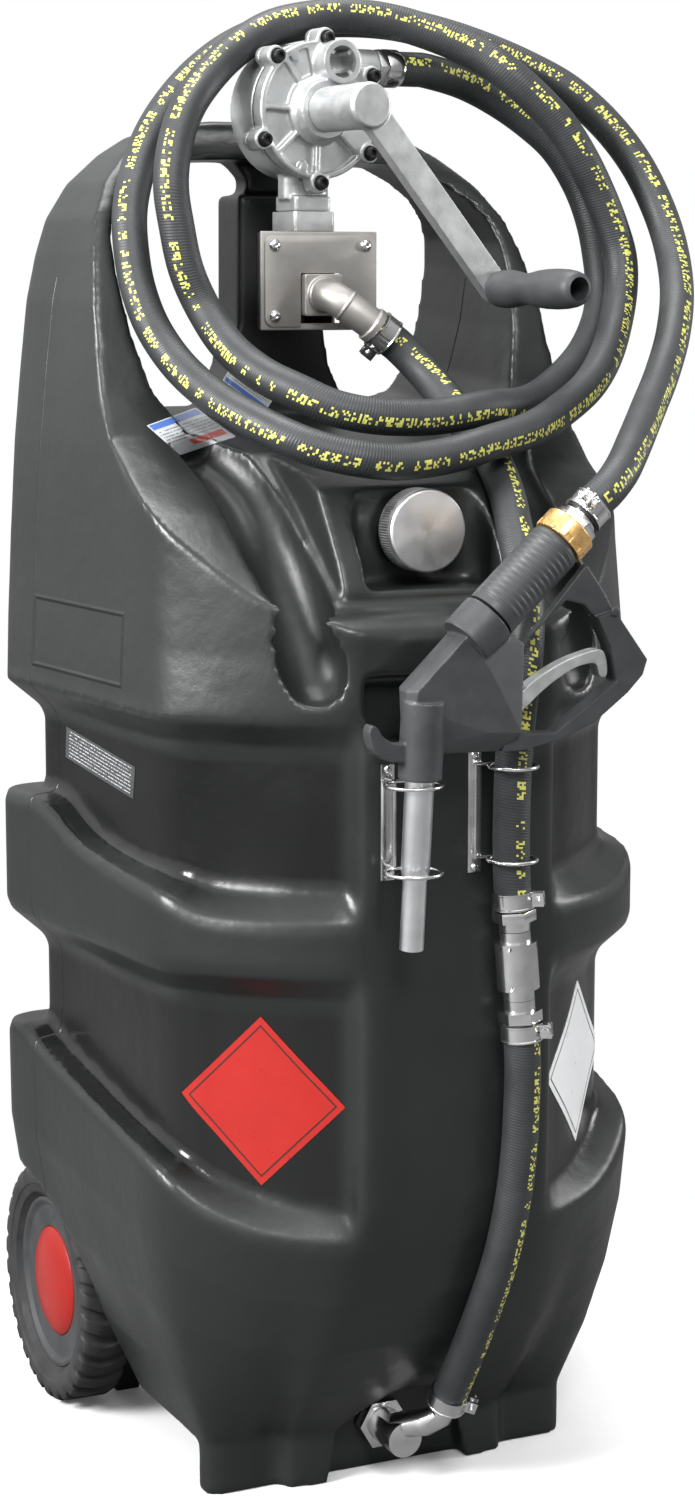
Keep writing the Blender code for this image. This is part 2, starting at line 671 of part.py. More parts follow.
def cavity():
    """Fuel space inside the shell: round in front like the panels, with squarer corners at the rear."""
    rings = []
    middle = TANK_FRONT + TANK_DEPTH * CAVITY_MIDDLE_SHARE
    for level, width, front, rear in CAVITY_SHARES:
        points = []
        for step in range(28):
            a = math.tau * (step + 0.5) / 28
            power = 1 if math.sin(a) < 0 else 0.3
            reach = (middle - TANK_FRONT - front * TANK_DEPTH) if math.sin(a) < 0 else (rear * TANK_DEPTH
                                                                                        + TANK_FRONT - middle)
            points.append((math.copysign(abs(math.cos(a)) ** power, math.cos(a)) * width * TANK_HALF_WIDTH,
                           middle + math.copysign(abs(math.sin(a)) ** power, math.sin(a)) * reach,
                           height_of(level)))
        rings.append(points)
    return skin(rings)


def tank_body(hose_groove):
    body = skin(tank_rings())
    body = cut(body, roof_tool())
    body = fuse(body, nose())
    body = cut(body, bowl_tool())
    body = fuse(body, *column())
    alcove = prism(rounded(ALCOVE_HALF_WIDTH, ALCOVE_HALF_WIDTH, SHELF_RISE, 3), ALCOVE_FLOOR,
                   BOWL_FLOOR_REAR + OVERRUN)
    body = cut(body, shifted(alcove, y=NOSE_BACK - ALCOVE_HALF_WIDTH))
    channel = channel_tool()
    body = cut(body, mirrored(channel), channel)
    well = well_tool()
    body = cut(body, *relief_tools(), mirrored(well), well, axle_channel(), notch_tool())
    body = cut(body, block((POCKET_LEFT, TANK_FRONT - OVERRUN, POCKET_LOW),
                           (POCKET_RIGHT, TANK_FRONT + POCKET_DEPTH, POCKET_HIGH)))
    body = cut(body, hose_groove, cavity())
    neck_hole = frontways(disc(NECK_RADIUS + GAP, -NOSE_BACK - ALCOVE_HALF_WIDTH * 1.5, -NOSE_BACK + GAP))
    outlet_hole = frontways(disc(OUTLET_RADIUS + GAP, -OUTLET_WALL - ALCOVE_HALF_WIDTH, -OUTLET_WALL + GAP,
                                 20))
    body = cut(body, shifted(neck_hole, z=CAP_Z), shifted(outlet_hole, x=OUTLET_X, z=OUTLET_Z))
    return body


def filler_parts():
    """Threaded neck, its lock nut, the screw plug, the knurled cover and their seal."""
    place = Matrix.Translation((0, NOSE_BACK, CAP_Z))
    flange = 0.004
    wall = 0.016
    play = 0.001
    neck_front = 0.016
    neck = frontways(lathe([(NECK_BORE_RADIUS, -wall - SHELF_RISE / 2), (NECK_RADIUS, -wall - SHELF_RISE / 2),
                            (NECK_RADIUS, GAP),
                            (CAP_RADIUS - flange, GAP), (CAP_RADIUS - flange, GAP + flange),
                            (NECK_RADIUS, GAP + flange), (NECK_RADIUS, neck_front), (NECK_BORE_RADIUS,
                                                                                     neck_front)]))
    add("filler_neck", neck, BLACK_PLASTIC, place)
    seat = neck_front + GAP
    seal = 0.002
    add("cap_seal", frontways(ring(NECK_BORE_RADIUS, NECK_RADIUS, seat, seat + seal)), SEAL_RUBBER, place)
    plug_face = seat + seal + GAP
    plug_radius = NECK_BORE_RADIUS - play
    plug = frontways(lathe([(0, GAP), (plug_radius, GAP), (plug_radius, plug_face), (NECK_RADIUS, plug_face),
                            (NECK_RADIUS, plug_face + seal), (0, plug_face + seal)]))
    add("cap_plug", plug, NOZZLE_PLASTIC, place)
    inner = NECK_RADIUS + GAP + flange / 4
    face = plug_face + seal + GAP
    rim = 0.0015
    cap = frontways(lathe([(0, face), (inner, face), (inner, GAP + flange * 2),
                           (CAP_RADIUS, GAP + flange * 2),
                           (CAP_RADIUS, GAP + flange * 2 + CAP_DEPTH - rim), (CAP_RADIUS - rim,
                                                                              GAP + flange * 2 + CAP_DEPTH),
                           (0, GAP + flange * 2 + CAP_DEPTH)], 36))
    add("filler_cap", cap, TURNED_ALUMINIUM, place)


def wheels():
    """Headed axle with a push-on clip, and on each end a tyre, a rim and a domed cover."""
    rim_radius = 0.078
    tread = 0.006
    shoulder = 0.008
    hub_radius = 0.020
    cover_radius = 0.050
    cover_rise = 0.016
    web = 0.008
    tyre_inner = WHEEL_OUTER_X - TYRE_WIDTH
    axle_end = WHEEL_OUTER_X - cover_rise
    hub_low = tyre_inner - SHEET
    hub_high = axle_end - cover_rise / 2
    clip_low = hub_high + GAP
    clip_high = clip_low + web / 4
    place = Matrix.Translation((0, WHEEL_Y, WHEEL_RADIUS))
    axle = fuse(disc(AXLE_RADIUS, -axle_end, axle_end, 16), disc(hub_radius, -clip_high, -clip_low, 20))
    add("axle", sideways(axle), STEEL, place)
    add("axle_clip", sideways(ring(AXLE_RADIUS + GAP, hub_radius, clip_low, clip_high, 20)), STEEL, place)
    for name, side in (("right", 1), ("left", -1)):
        tyre = lathe([(rim_radius + GAP, tyre_inner + shoulder), (WHEEL_RADIUS - tread * 2, tyre_inner),
                      (WHEEL_RADIUS - tread / 2, tyre_inner + shoulder / 2), (WHEEL_RADIUS,
                                                                              tyre_inner + shoulder * 1.5),
                      (WHEEL_RADIUS, WHEEL_OUTER_X - shoulder * 1.5), (WHEEL_RADIUS - tread / 2,
                                                                       WHEEL_OUTER_X - shoulder / 2),
                      (WHEEL_RADIUS - tread * 2, WHEEL_OUTER_X), (rim_radius + GAP,
                                                                  WHEEL_OUTER_X - shoulder)],
                     36, math.radians(-90))
        middle = tyre_inner + TYRE_WIDTH * 0.38
        face = WHEEL_OUTER_X - shoulder - web / 2
        rim = lathe([(AXLE_RADIUS + GAP, hub_low), (hub_radius, hub_low), (hub_radius, middle - web / 2),
                     (rim_radius - web, middle - web / 2), (rim_radius - web, tyre_inner + shoulder),
                     (rim_radius, tyre_inner + shoulder), (rim_radius, WHEEL_OUTER_X - shoulder),
                     (rim_radius - web / 2, WHEEL_OUTER_X - shoulder), (rim_radius - web, face),
                     (cover_radius + GAP, face), (cover_radius + GAP, middle + web / 2),
                     (hub_radius, middle + web / 2), (hub_radius, hub_high), (AXLE_RADIUS + GAP, hub_high)],
                    36, math.radians(-90))
        cover_low = middle + web / 2 + GAP
        lip = face + GAP
        cover = lathe([(cover_radius - web / 2, cover_low), (cover_radius, cover_low), (cover_radius, lip),
                       (cover_radius * 0.85, lip + cover_rise * 0.25), (cover_radius * 0.5,
                                                                        lip + cover_rise * 0.43),
                       (0, lip + cover_rise * 0.5), (0, lip + cover_rise * 0.5 - web / 4),
                       (cover_radius * 0.5, lip + cover_rise * 0.43 - web / 4),
                       (cover_radius - web / 2, lip - web / 4)], 32)
        pieces = {"tyre": (tyre, TYRE_RUBBER), "rim": (rim, NOZZLE_PLASTIC), "hub_cover": (cover,
                                                                                           RED_PLASTIC)}
        for piece, (shape, material) in pieces.items():
            shape = sideways(shape)
            if side < 0:
                shape = mirrored(shape)
            add(piece + "_" + name, shape, material, place)


def stud(angle, radius, reach, low, high):
    """Round boss off the axis of a round body."""
    return shifted(disc(radius, low, high, 10), x=reach * math.cos(angle), y=reach * math.sin(angle))


def lobed(radius, angles, reach, lobe, steps=120):
    """Outline of a disc with a round lug at each angle."""
    points = []
    for step in range(steps):
        turn = math.tau * step / steps
        far = radius
        for angle in angles:
            beside = reach * math.sin(turn - angle)
            if abs(beside) < lobe and math.cos(turn - angle) > 0:
                far = max(far, reach * math.cos(turn - angle) + math.sqrt(lobe ** 2 - beside ** 2))
        points.append((far * math.cos(turn), far * math.sin(turn)))
    return points


EAR_ANGLES = tuple(math.radians(angle) for angle in (84, 134, 205, 270, 325, 30))
EAR_RADIUS = 0.009
EAR_REACH = PUMP_RADIUS + EAR_RADIUS / 3
SCREW_RADIUS = 0.0032
VANE_ANGLES = (20, 200)
HEAD_RADIUS = 0.0052
INLET_RADIUS = 0.0225
PORT_HEIGHT = 0.040
PORT_END = 0.072
PORT_Y = 0.0065
INLET_Y = 0.003
INLET_HALF_DEPTH = 0.0125
FERRULE_END = 0.098
SOCKET_X = 0.012
FLANGE_DROP = 0.072
FLANGE_THICKNESS = 0.0125
FLANGE_HIGH = -FLANGE_DROP
FLANGE_SPLIT = FLANGE_HIGH - FLANGE_THICKNESS
FLANGE_LOW = BRACKET_HIGH + GAP - PUMP_Z


def pump_frame():
    return Matrix.Translation((0, PUMP_Y, PUMP_Z)) @ Matrix.Rotation(PUMP_TURN, 4, "Z")


def pump_parts():
    """Housing, cover, rotor with vanes, shaft and the plumbing above and below it."""
    place = pump_frame()
    wall = 0.008
    chamber_rear = PUMP_REAR - wall
    gasket = 0.001
    bore = 0.0095
    rib = 0.0022
    lugs = prism(lobed(PUMP_RADIUS - rib, EAR_ANGLES, EAR_REACH, EAR_RADIUS), -PUMP_SPLIT - rib * 3,
                 -PUMP_SPLIT)
    housing = disc(PUMP_RADIUS, -PUMP_REAR, -PUMP_SPLIT - rib / 2, 32)
    housing = fuse(housing, lugs)
    housing = frontways(housing)
    foot = shifted(prism(rounded(INLET_RADIUS, INLET_HALF_DEPTH, INLET_HALF_DEPTH * 0.9), FLANGE_HIGH - SHEET,
                         -PUMP_RADIUS / 2), y=INLET_Y)
    plate = prism(rounded(INLET_RADIUS * 0.8, INLET_RADIUS * 0.8, SHEET), FLANGE_SPLIT, FLANGE_HIGH)
    plate = shifted(plate, y=INLET_Y)
    port = shifted(sideways(disc(bore * 1.65, 0, PORT_END, 16)), y=PORT_Y, z=PORT_HEIGHT)
    housing = fuse(housing, foot, plate, port)
    chamber = shifted(frontways(disc(CHAMBER_RADIUS, -chamber_rear, -PUMP_SPLIT + OVERRUN, 28)),
                      z=-CHAMBER_OFFSET)
    suction = shifted(disc(bore, FLANGE_SPLIT - OVERRUN, -CHAMBER_RADIUS / 2, 16), y=INLET_Y)
    pressure = shifted(sideways(disc(bore, CHAMBER_RADIUS * 0.3, PORT_END + OVERRUN, 16)), y=PORT_Y,
                       z=PORT_HEIGHT)
    bearing_wall = 0.005
    bearing_radius = SHAFT_RADIUS + bearing_wall
    rear_seat = frontways(disc(SHAFT_RADIUS + GAP, -PUMP_REAR + wall / 4, -chamber_rear + OVERRUN, 20))
    housing = cut(housing, chamber, suction, pressure, rear_seat)
    add("pump_housing", housing, CAST_ALUMINIUM, place)

    cover_low = -PUMP_SPLIT + gasket + 2 * GAP
    cover_high = -PUMP_FACE
    boss_rise = 0.014
    boss_high = cover_high + boss_rise
    cover = prism(lobed(PUMP_RADIUS, EAR_ANGLES, EAR_REACH, EAR_RADIUS), cover_low, cover_high)
    cover = fuse(cover, disc(INLET_RADIUS * 1.2, (cover_low + cover_high) / 2, boss_high, 24))
    rim_radius = PUMP_RADIUS - rib * 2
    ribs = [moved(block((INLET_RADIUS, -rib, cover_high - rib), (rim_radius, rib, cover_high + rib)),
                  Matrix.Rotation(math.radians(angle), 4, "Z")) for angle in (130, 180, 222, 265)]
    hoop = ring(rim_radius - rib, rim_radius, cover_high - rib, cover_high + rib, 32)
    socket_radius = 0.017
    socket = shifted(ring(socket_radius * 0.72, socket_radius, cover_high - rib, boss_high + rib * 3, 20),
                     x=SOCKET_X, y=PORT_HEIGHT)
    cover = fuse(cover, hoop, *ribs)
    cover = fuse(cover, socket)
    heads = [stud(a, HEAD_RADIUS, EAR_REACH, cover_high - rib, cover_high + HEAD_RADIUS) for a in EAR_ANGLES]
    cover = fuse(cover, *heads)
    front_bore = disc(bearing_radius + GAP, cover_low - OVERRUN, boss_high + OVERRUN, 20)
    add("pump_cover", frontways(cut(cover, front_bore)), CAST_ALUMINIUM, place)

    gasket_low = -PUMP_SPLIT + GAP
    seal = shifted(ring(CHAMBER_RADIUS + CHAMBER_OFFSET + GAP, PUMP_RADIUS - GAP, gasket_low,
                        gasket_low + gasket, 28))
    add("pump_gasket", frontways(seal), SEAL_RUBBER, place)
    rotor_low = -chamber_rear + GAP
    rotor_high = -PUMP_SPLIT
    vane = 0.0015
    slots = [moved(block((ROTOR_RADIUS * 0.55, -vane - GAP, rotor_low - OVERRUN), (CHAMBER_RADIUS, vane + GAP,
                                                                                   rotor_high + OVERRUN)),
                   Matrix.Rotation(math.radians(angle), 4, "Z")) for angle in VANE_ANGLES]
    rotor = cut(ring(SHAFT_RADIUS + GAP, ROTOR_RADIUS, rotor_low, rotor_high, 32), *slots)
    add("pump_rotor", frontways(rotor), STEEL, place)
    for name, angle in zip(("vane_one", "vane_two"), VANE_ANGLES):
        blade = moved(block((ROTOR_RADIUS * 0.62, -vane, rotor_low), (VANE_REACH, vane, rotor_high)),
                      Matrix.Rotation(math.radians(angle), 4, "Z"))
        add(name, frontways(blade), VANE_PLASTIC, place)
    shaft_low = -chamber_rear - wall / 2
    shaft = disc(SHAFT_RADIUS, shaft_low, -HUB_FRONT - CRANK_THICKNESS, 16)
    add("pump_shaft", frontways(shaft), STEEL, place)
    add("shaft_bearing", frontways(ring(SHAFT_RADIUS + GAP, bearing_radius, cover_low, cover_high, 20)),
        STEEL, place)
    lip = ring(SHAFT_RADIUS + GAP, bearing_radius, cover_high + GAP, boss_high - SHEET, 20)
    add("shaft_seal", frontways(lip), SEAL_RUBBER, place)

    hub = ring(SHAFT_RADIUS + GAP, CRANK_HUB_RADIUS, boss_high + GAP, -HUB_FRONT, 28)
    hub = fuse(hub, disc(CRANK_HUB_RADIUS * 0.9, -HUB_FRONT - CRANK_THICKNESS + GAP, -HUB_FRONT, 28))
    arm_high = -HUB_FRONT - CRANK_THICKNESS / 3
    arm = block((0, -CRANK_WIDTH / 2, arm_high - CRANK_THICKNESS), (CRANK_THROW, CRANK_WIDTH / 2, arm_high))
    end = shifted(disc(CRANK_WIDTH / 2, arm_high - CRANK_THICKNESS, arm_high, 20), x=CRANK_THROW)
    pin_radius = 0.005
    pin_hole = shifted(disc(pin_radius + GAP, arm_high - CRANK_THICKNESS - OVERRUN, arm_high + OVERRUN, 14),
                       x=CRANK_THROW)
    crank = cut(fuse(hub, arm, end), disc(SHAFT_RADIUS + GAP, 0, -HUB_FRONT - CRANK_THICKNESS + GAP, 16),
                pin_hole)
    turn = place @ Matrix.Rotation(-CRANK_REST, 4, "Y")
    add("crank_arm", frontways(crank), CAST_ALUMINIUM, turn)
    rivet = 0.0025
    grip_low = arm_high + GAP
    grip_high = grip_low + GRIP_LENGTH
    pin = lathe([(0, arm_high - CRANK_THICKNESS - rivet), (pin_radius * 1.6,
                                                           arm_high - CRANK_THICKNESS - rivet),
                 (pin_radius * 1.6, arm_high - CRANK_THICKNESS - GAP),
                 (pin_radius, arm_high - CRANK_THICKNESS - GAP),
                 (pin_radius, grip_high - GRIP_LENGTH / 4), (0, grip_high - GRIP_LENGTH / 4)], 14)
    add("grip_pin", frontways(shifted(pin, x=CRANK_THROW)), STEEL, turn)
    bore = pin_radius + GAP
    grip = lathe([(bore, grip_low), (GRIP_RADIUS * 0.94, grip_low), (GRIP_RADIUS * 0.98,
                                                                     grip_low + GRIP_LENGTH * 0.16),
                  (GRIP_RADIUS * 0.8, grip_low + GRIP_LENGTH * 0.34),
                  (GRIP_RADIUS, grip_low + GRIP_LENGTH * 0.55),
                  (GRIP_RADIUS * 1.02, grip_low + GRIP_LENGTH * 0.75), (GRIP_RADIUS * 0.86, grip_high),
                  (GRIP_RADIUS * 0.6, grip_high), (GRIP_RADIUS * 0.55, grip_high - GRIP_LENGTH / 5),
                  (bore, grip_high - GRIP_LENGTH / 5)], 20)
    add("crank_grip", frontways(shifted(grip, x=CRANK_THROW)), NOZZLE_PLASTIC, turn)

    nut = hexagon(bore * 7, PORT_END + GAP, PORT_END + SHEET * 3, bore)
    barrel = ring(bore, HOSE_RADIUS * 1.08, PORT_END + SHEET * 3, FERRULE_END, 20)
    fitting = shifted(sideways(fuse(nut, barrel)), y=PORT_Y, z=PORT_HEIGHT)
    add("outlet_ferrule", fitting, CHROME, place)

    square = prism(rounded(INLET_RADIUS * 0.9, INLET_RADIUS * 0.9, SHEET), FLANGE_LOW, FLANGE_SPLIT - GAP)
    square = cut(square, disc(bore, FLANGE_LOW - OVERRUN, FLANGE_HIGH, 16))
    add("inlet_flange", shifted(square, y=INLET_Y), CAST_ALUMINIUM, place)


def bracket_parts():
    """Folded stainless box on the column, its cover plate, the riser inside and the elbow out of it."""
    depth = COLUMN_FRONT - GAP - BRACKET_FRONT
    window = BRACKET_HALF_WIDTH * 0.36
    box = block((-BRACKET_HALF_WIDTH, BRACKET_FRONT, BRACKET_LOW), (BRACKET_HALF_WIDTH, BRACKET_FRONT + depth,
                                                                    BRACKET_HIGH))
    inside = block((-BRACKET_HALF_WIDTH - OVERRUN, BRACKET_FRONT + SHEET, BRACKET_LOW + SHEET),
                   (BRACKET_HALF_WIDTH + OVERRUN, BRACKET_FRONT + depth - SHEET, BRACKET_HIGH - SHEET))
    riser_radius = 0.013
    opening = block((-window, BRACKET_FRONT - OVERRUN, BRACKET_LOW + SHEET * 2),
                    (BRACKET_HALF_WIDTH - SHEET * 2, BRACKET_FRONT + OVERRUN, BRACKET_HIGH - ELBOW_BLOCK * 2))
    riser_hole = shifted(disc(riser_radius + GAP, BRACKET_HIGH - OVERRUN / 2, BRACKET_HIGH + OVERRUN, 20),
                         y=PUMP_Y)
    bolts = [shifted(frontways(hexagon(HEAD_RADIUS * 2.4, 0, HEAD_RADIUS)), x=x, y=COLUMN_FRONT - SHEET, z=z)
             for x in (-COLUMN_HALF_WIDTH / 2, COLUMN_HALF_WIDTH / 2) for z in (BRACKET_LOW + OVERRUN,
                                                                                BRACKET_HIGH - OVERRUN)]
    add("bracket_box", fuse(cut(box, inside, opening, riser_hole), *bolts), STAINLESS)

    plate_high = BRACKET_HIGH - SHEET
    half = BRACKET_HALF_WIDTH - SHEET
    face = SHEET * 0.7
    corner = 0.008
    inset = 0.009
    plate_low = BRACKET_LOW + SHEET
    plate = frontways(prism(rounded(half, (plate_high - plate_low) / 2, corner), -BRACKET_FRONT + GAP,
                            -BRACKET_FRONT + GAP + face))
    plate = shifted(plate, z=(plate_high + plate_low) / 2)
    slot = ELBOW_BLOCK + SHEET
    plate = cut(plate, block((-slot, -BRACKET_FRONT, plate_low - OVERRUN), (slot, BRACKET_FRONT + OVERRUN,
                                                                            ELBOW_Z + slot)))
    spots = [(-half + inset, plate_low + inset), (-half + inset, plate_high - inset), (half - inset,
                                                                                       plate_high - inset)]
    for x, z in spots:
        dome = lathe([(0, 0), (HEAD_RADIUS, 0), (HEAD_RADIUS, HEAD_RADIUS * 0.35), (HEAD_RADIUS * 0.85,
                                                                                    HEAD_RADIUS * 0.6),
                      (HEAD_RADIUS * 0.5, HEAD_RADIUS * 0.8), (0, HEAD_RADIUS * 0.9)], 12)
        plate = fuse(plate, shifted(frontways(dome), x=x, y=BRACKET_FRONT - GAP - face / 2, z=z))
    add("cover_plate", plate, STAINLESS)
    base = ELBOW_Z - ELBOW_BLOCK
    riser = fuse(shifted(disc(riser_radius, base, BRACKET_HIGH, 20), y=PUMP_Y),
                 shifted(frontways(disc(riser_radius, -PUMP_Y, -BRACKET_FRONT - SHEET, 16)), z=ELBOW_Z))
    add("riser_pipe", riser, STAINLESS)
    square = frontways(prism(rounded(ELBOW_BLOCK, ELBOW_BLOCK, SHEET / 2, 2), -BRACKET_FRONT - SHEET + GAP,
                             -ELBOW_FACE))
    square = shifted(square, z=ELBOW_Z)
    hose_start, axis = hose_end(SUCTION_ROUTE, HELD_SPACING, True)
    start = Vector((0, ELBOW_FACE, ELBOW_Z))
    bends = [start + Vector(share) * (hose_start - start) for share in ELBOW_BEND_SHARES]
    path = [start + Vector((0, SHEET, 0)), *bends, hose_start - axis * ELBOW_BLOCK / 2,
            hose_start - axis * GAP]
    bend = sweep(path, ELBOW_BLOCK * 0.86, 14)
    add("suction_elbow", fuse(square, bend), STAINLESS)


# Bends of the elbow, in shares of the way from its block to the hose.
ELBOW_BEND_SHARES = ((0.028, 0.379, 0.036), (0.197, 0.69, 0.218), (0.449, 0.845, 0.473))

# Suction hose from the elbow over the bowl and down the front to the check valve.
SUCTION_ROUTE = lifted((
    (0.0356, 0.0070, 0.9775), (0.0455, 0.0055, 0.9697), (0.0556, 0.0040, 0.9619), (0.0680, -0.0035, 0.9476),
    (0.0768, -0.0208, 0.9306), (0.0813, -0.0470, 0.9112), (0.0838, -0.0782, 0.8917), (0.084, -0.106, 0.877),
                        (0.081, -0.132, 0.860), (0.0765, -0.156, 0.841),
    (0.070, -0.180, 0.818), (0.063, -0.205, 0.788), (0.056, -0.226, 0.755), (0.048, -0.2385, 0.719),
                        (0.041, -0.242, 0.680),
    (0.037, -0.2425, 0.640), (0.0355, -0.2425, 0.600), (0.0352, -0.243, 0.565), (0.0358, -0.2435, 0.540),
    (0.0367, -0.2435, 0.5285), (0.0376, -0.2435, 0.517)))
# Lower hose from the check valve down to the outlet at the foot.
OUTLET_ROUTE = lifted((
    (0.0449, -0.2435, 0.424), (0.0458, -0.2435, 0.4125), (0.0467, -0.2435, 0.401), (0.0475, -0.243, 0.380),
                       (0.0475, -0.242, 0.355),
    (0.046, -0.241, 0.315), (0.0425, -0.238, 0.273), (0.0365, -0.230, 0.224), (0.030, -0.213, 0.175),
                       (0.0235, -0.1945, 0.130),
    (0.0195, -0.183, 0.104), (0.0178, -0.1765, 0.090), (0.0161, -0.170, 0.076)))

# Delivery hose: out of the pump, two loops over the housing and past the shoulders, then to the nozzle.
DELIVERY_ROUTE = lifted((
    (0.0971, 0.0917, 1.2010), (0.112, 0.0933, 1.2011), (0.127, 0.0947, 1.2005), (0.165, 0.097, 1.192),
                         (0.199, 0.092, 1.176),
    (0.228, 0.082, 1.155), (0.249, 0.072, 1.133), (0.266, 0.062, 1.101), (0.274, 0.052, 1.069), (0.277, 0.044,
                                                                                                 1.036),
    (0.274, 0.034, 1.009), (0.262, 0.020, 0.982), (0.232, -0.004, 0.952), (0.180, -0.044, 0.926),
                         (0.130, -0.084, 0.914),
    (0.077, -0.118, 0.913), (0.024, -0.128, 0.907), (-0.025, -0.130, 0.908), (-0.062, -0.120, 0.915),
                         (-0.087, -0.100, 0.928),
    (-0.104, -0.065, 0.942), (-0.1155, -0.025, 0.9635), (-0.124, 0.006, 0.993), (-0.137, 0.013, 1.026),
                         (-0.144, 0.016, 1.062),
    (-0.147, 0.020, 1.095), (-0.139, 0.030, 1.128), (-0.122, 0.046, 1.158), (-0.097, 0.064, 1.184),
                         (-0.066, 0.079, 1.209),
    (-0.028, 0.0865, 1.231), (0.012, 0.0875, 1.241), (0.051, 0.0865, 1.244), (0.088, 0.080, 1.240),
                         (0.122, 0.066, 1.229),
    (0.155, 0.049, 1.213), (0.177, 0.033, 1.195), (0.200, 0.024, 1.174), (0.221, 0.017, 1.151), (0.238, 0.012,
                                                                                                 1.125),
    (0.254, 0.009, 1.095), (0.267, 0.006, 1.064), (0.273, 0.000, 1.034), (0.264, -0.014, 0.999),
                         (0.236, -0.044, 0.959),
    (0.199, -0.078, 0.931), (0.157, -0.108, 0.912), (0.109, -0.138, 0.896), (0.060, -0.154, 0.886),
                         (0.020, -0.158, 0.877),
    (-0.023, -0.158, 0.873), (-0.061, -0.154, 0.877), (-0.094, -0.138, 0.886), (-0.120, -0.108, 0.901),
                         (-0.139, -0.066, 0.919),
    (-0.156, -0.026, 0.944), (-0.167, 0.008, 0.975), (-0.173, 0.028, 1.007), (-0.174, 0.042, 1.040),
                         (-0.169, 0.058, 1.074),
    (-0.155, 0.076, 1.107), (-0.135, 0.094, 1.139), (-0.110, 0.108, 1.168), (-0.081, 0.115, 1.195),
                         (-0.046, 0.119, 1.218),
    (-0.003, 0.120, 1.235), (0.044, 0.119, 1.243), (0.096, 0.115, 1.243), (0.142, 0.108, 1.235),
                         (0.182, 0.098, 1.223),
    (0.222, 0.084, 1.206), (0.257, 0.068, 1.185), (0.286, 0.050, 1.155), (0.305, 0.030, 1.121), (0.314, 0.006,
                                                                                                 1.082),
    (0.314, -0.018, 1.045), (0.302, -0.048, 1.008), (0.276, -0.085, 0.972), (0.241, -0.125, 0.939),
                         (0.199, -0.172, 0.911),
    (0.157, -0.222, 0.888), (0.127, -0.254, 0.869), (0.1075, -0.2665, 0.855), (0.0945, -0.268, 0.845),
                         (0.0816, -0.268, 0.8331)))


def clamp(origin, axis, ear_side):
    """Bolted band round a hose end, with its ear and cross bolt."""
    across = Vector(axis).cross(Vector(ear_side)).normalized()
    out = across.cross(axis).normalized()
    place = Matrix.Translation(origin) @ Matrix((out, across, axis)).transposed().to_4x4()
    inner = HOSE_RADIUS + GAP
    band_wall = 0.0016
    ear_rise = 0.009
    outer = inner + band_wall
    ear_reach = outer + ear_rise
    ear_half = 0.003
    bolt_radius = 0.0024
    band = ring(inner, outer, -CLAMP_LENGTH / 2, CLAMP_LENGTH / 2, 20)
    lug = block((inner + (outer - inner) / 2, -ear_half, -CLAMP_LENGTH / 3), (ear_reach, ear_half,
                                                                              CLAMP_LENGTH / 3))
    reach = ear_reach - bolt_radius * 2
    band = fuse(band, lug)
    bolt = lathe([(0, -ear_half - bolt_radius), (bolt_radius * 1.8, -ear_half - bolt_radius),
                  (bolt_radius * 1.8, -ear_half / 2),
                  (bolt_radius, -ear_half / 2), (bolt_radius, ear_half * 3), (0, ear_half * 3)], 10)
    bolt = shifted(moved(bolt, Matrix.Rotation(math.radians(90), 4, "X")), x=reach)
    return moved(fuse(band, bolt), place)


def hose_end(route, spacing, first):
    """One end of a hose, and the direction from there into it."""
    even, _ = smooth_path(route, spacing)
    a, b = (even[0], even[1]) if first else (even[-1], even[-2])
    return a, (b - a).normalized()


def clamps():
    spots = (("elbow_clamp", SUCTION_ROUTE, HELD_SPACING, True, (-0.6, 0.3, -0.6)),
             ("valve_clamp_upper", SUCTION_ROUTE, HELD_SPACING, False, (0.8, -0.6, 0)),
             ("valve_clamp_lower", OUTLET_ROUTE, HELD_SPACING, True, (0.8, -0.6, 0)),
             ("outlet_clamp", OUTLET_ROUTE, HELD_SPACING, False, (0.8, -0.5, 0)),
             ("nozzle_clamp", DELIVERY_ROUTE, FREE_SPACING, False, (-0.5, -0.7, 0.4)))
    for name, route, spacing, first, ear_side in spots:
        end, axis = hose_end(route, spacing, first)
        add(name, clamp(end + axis * CLAMP_LENGTH * 0.6, axis, ear_side), CHROME)


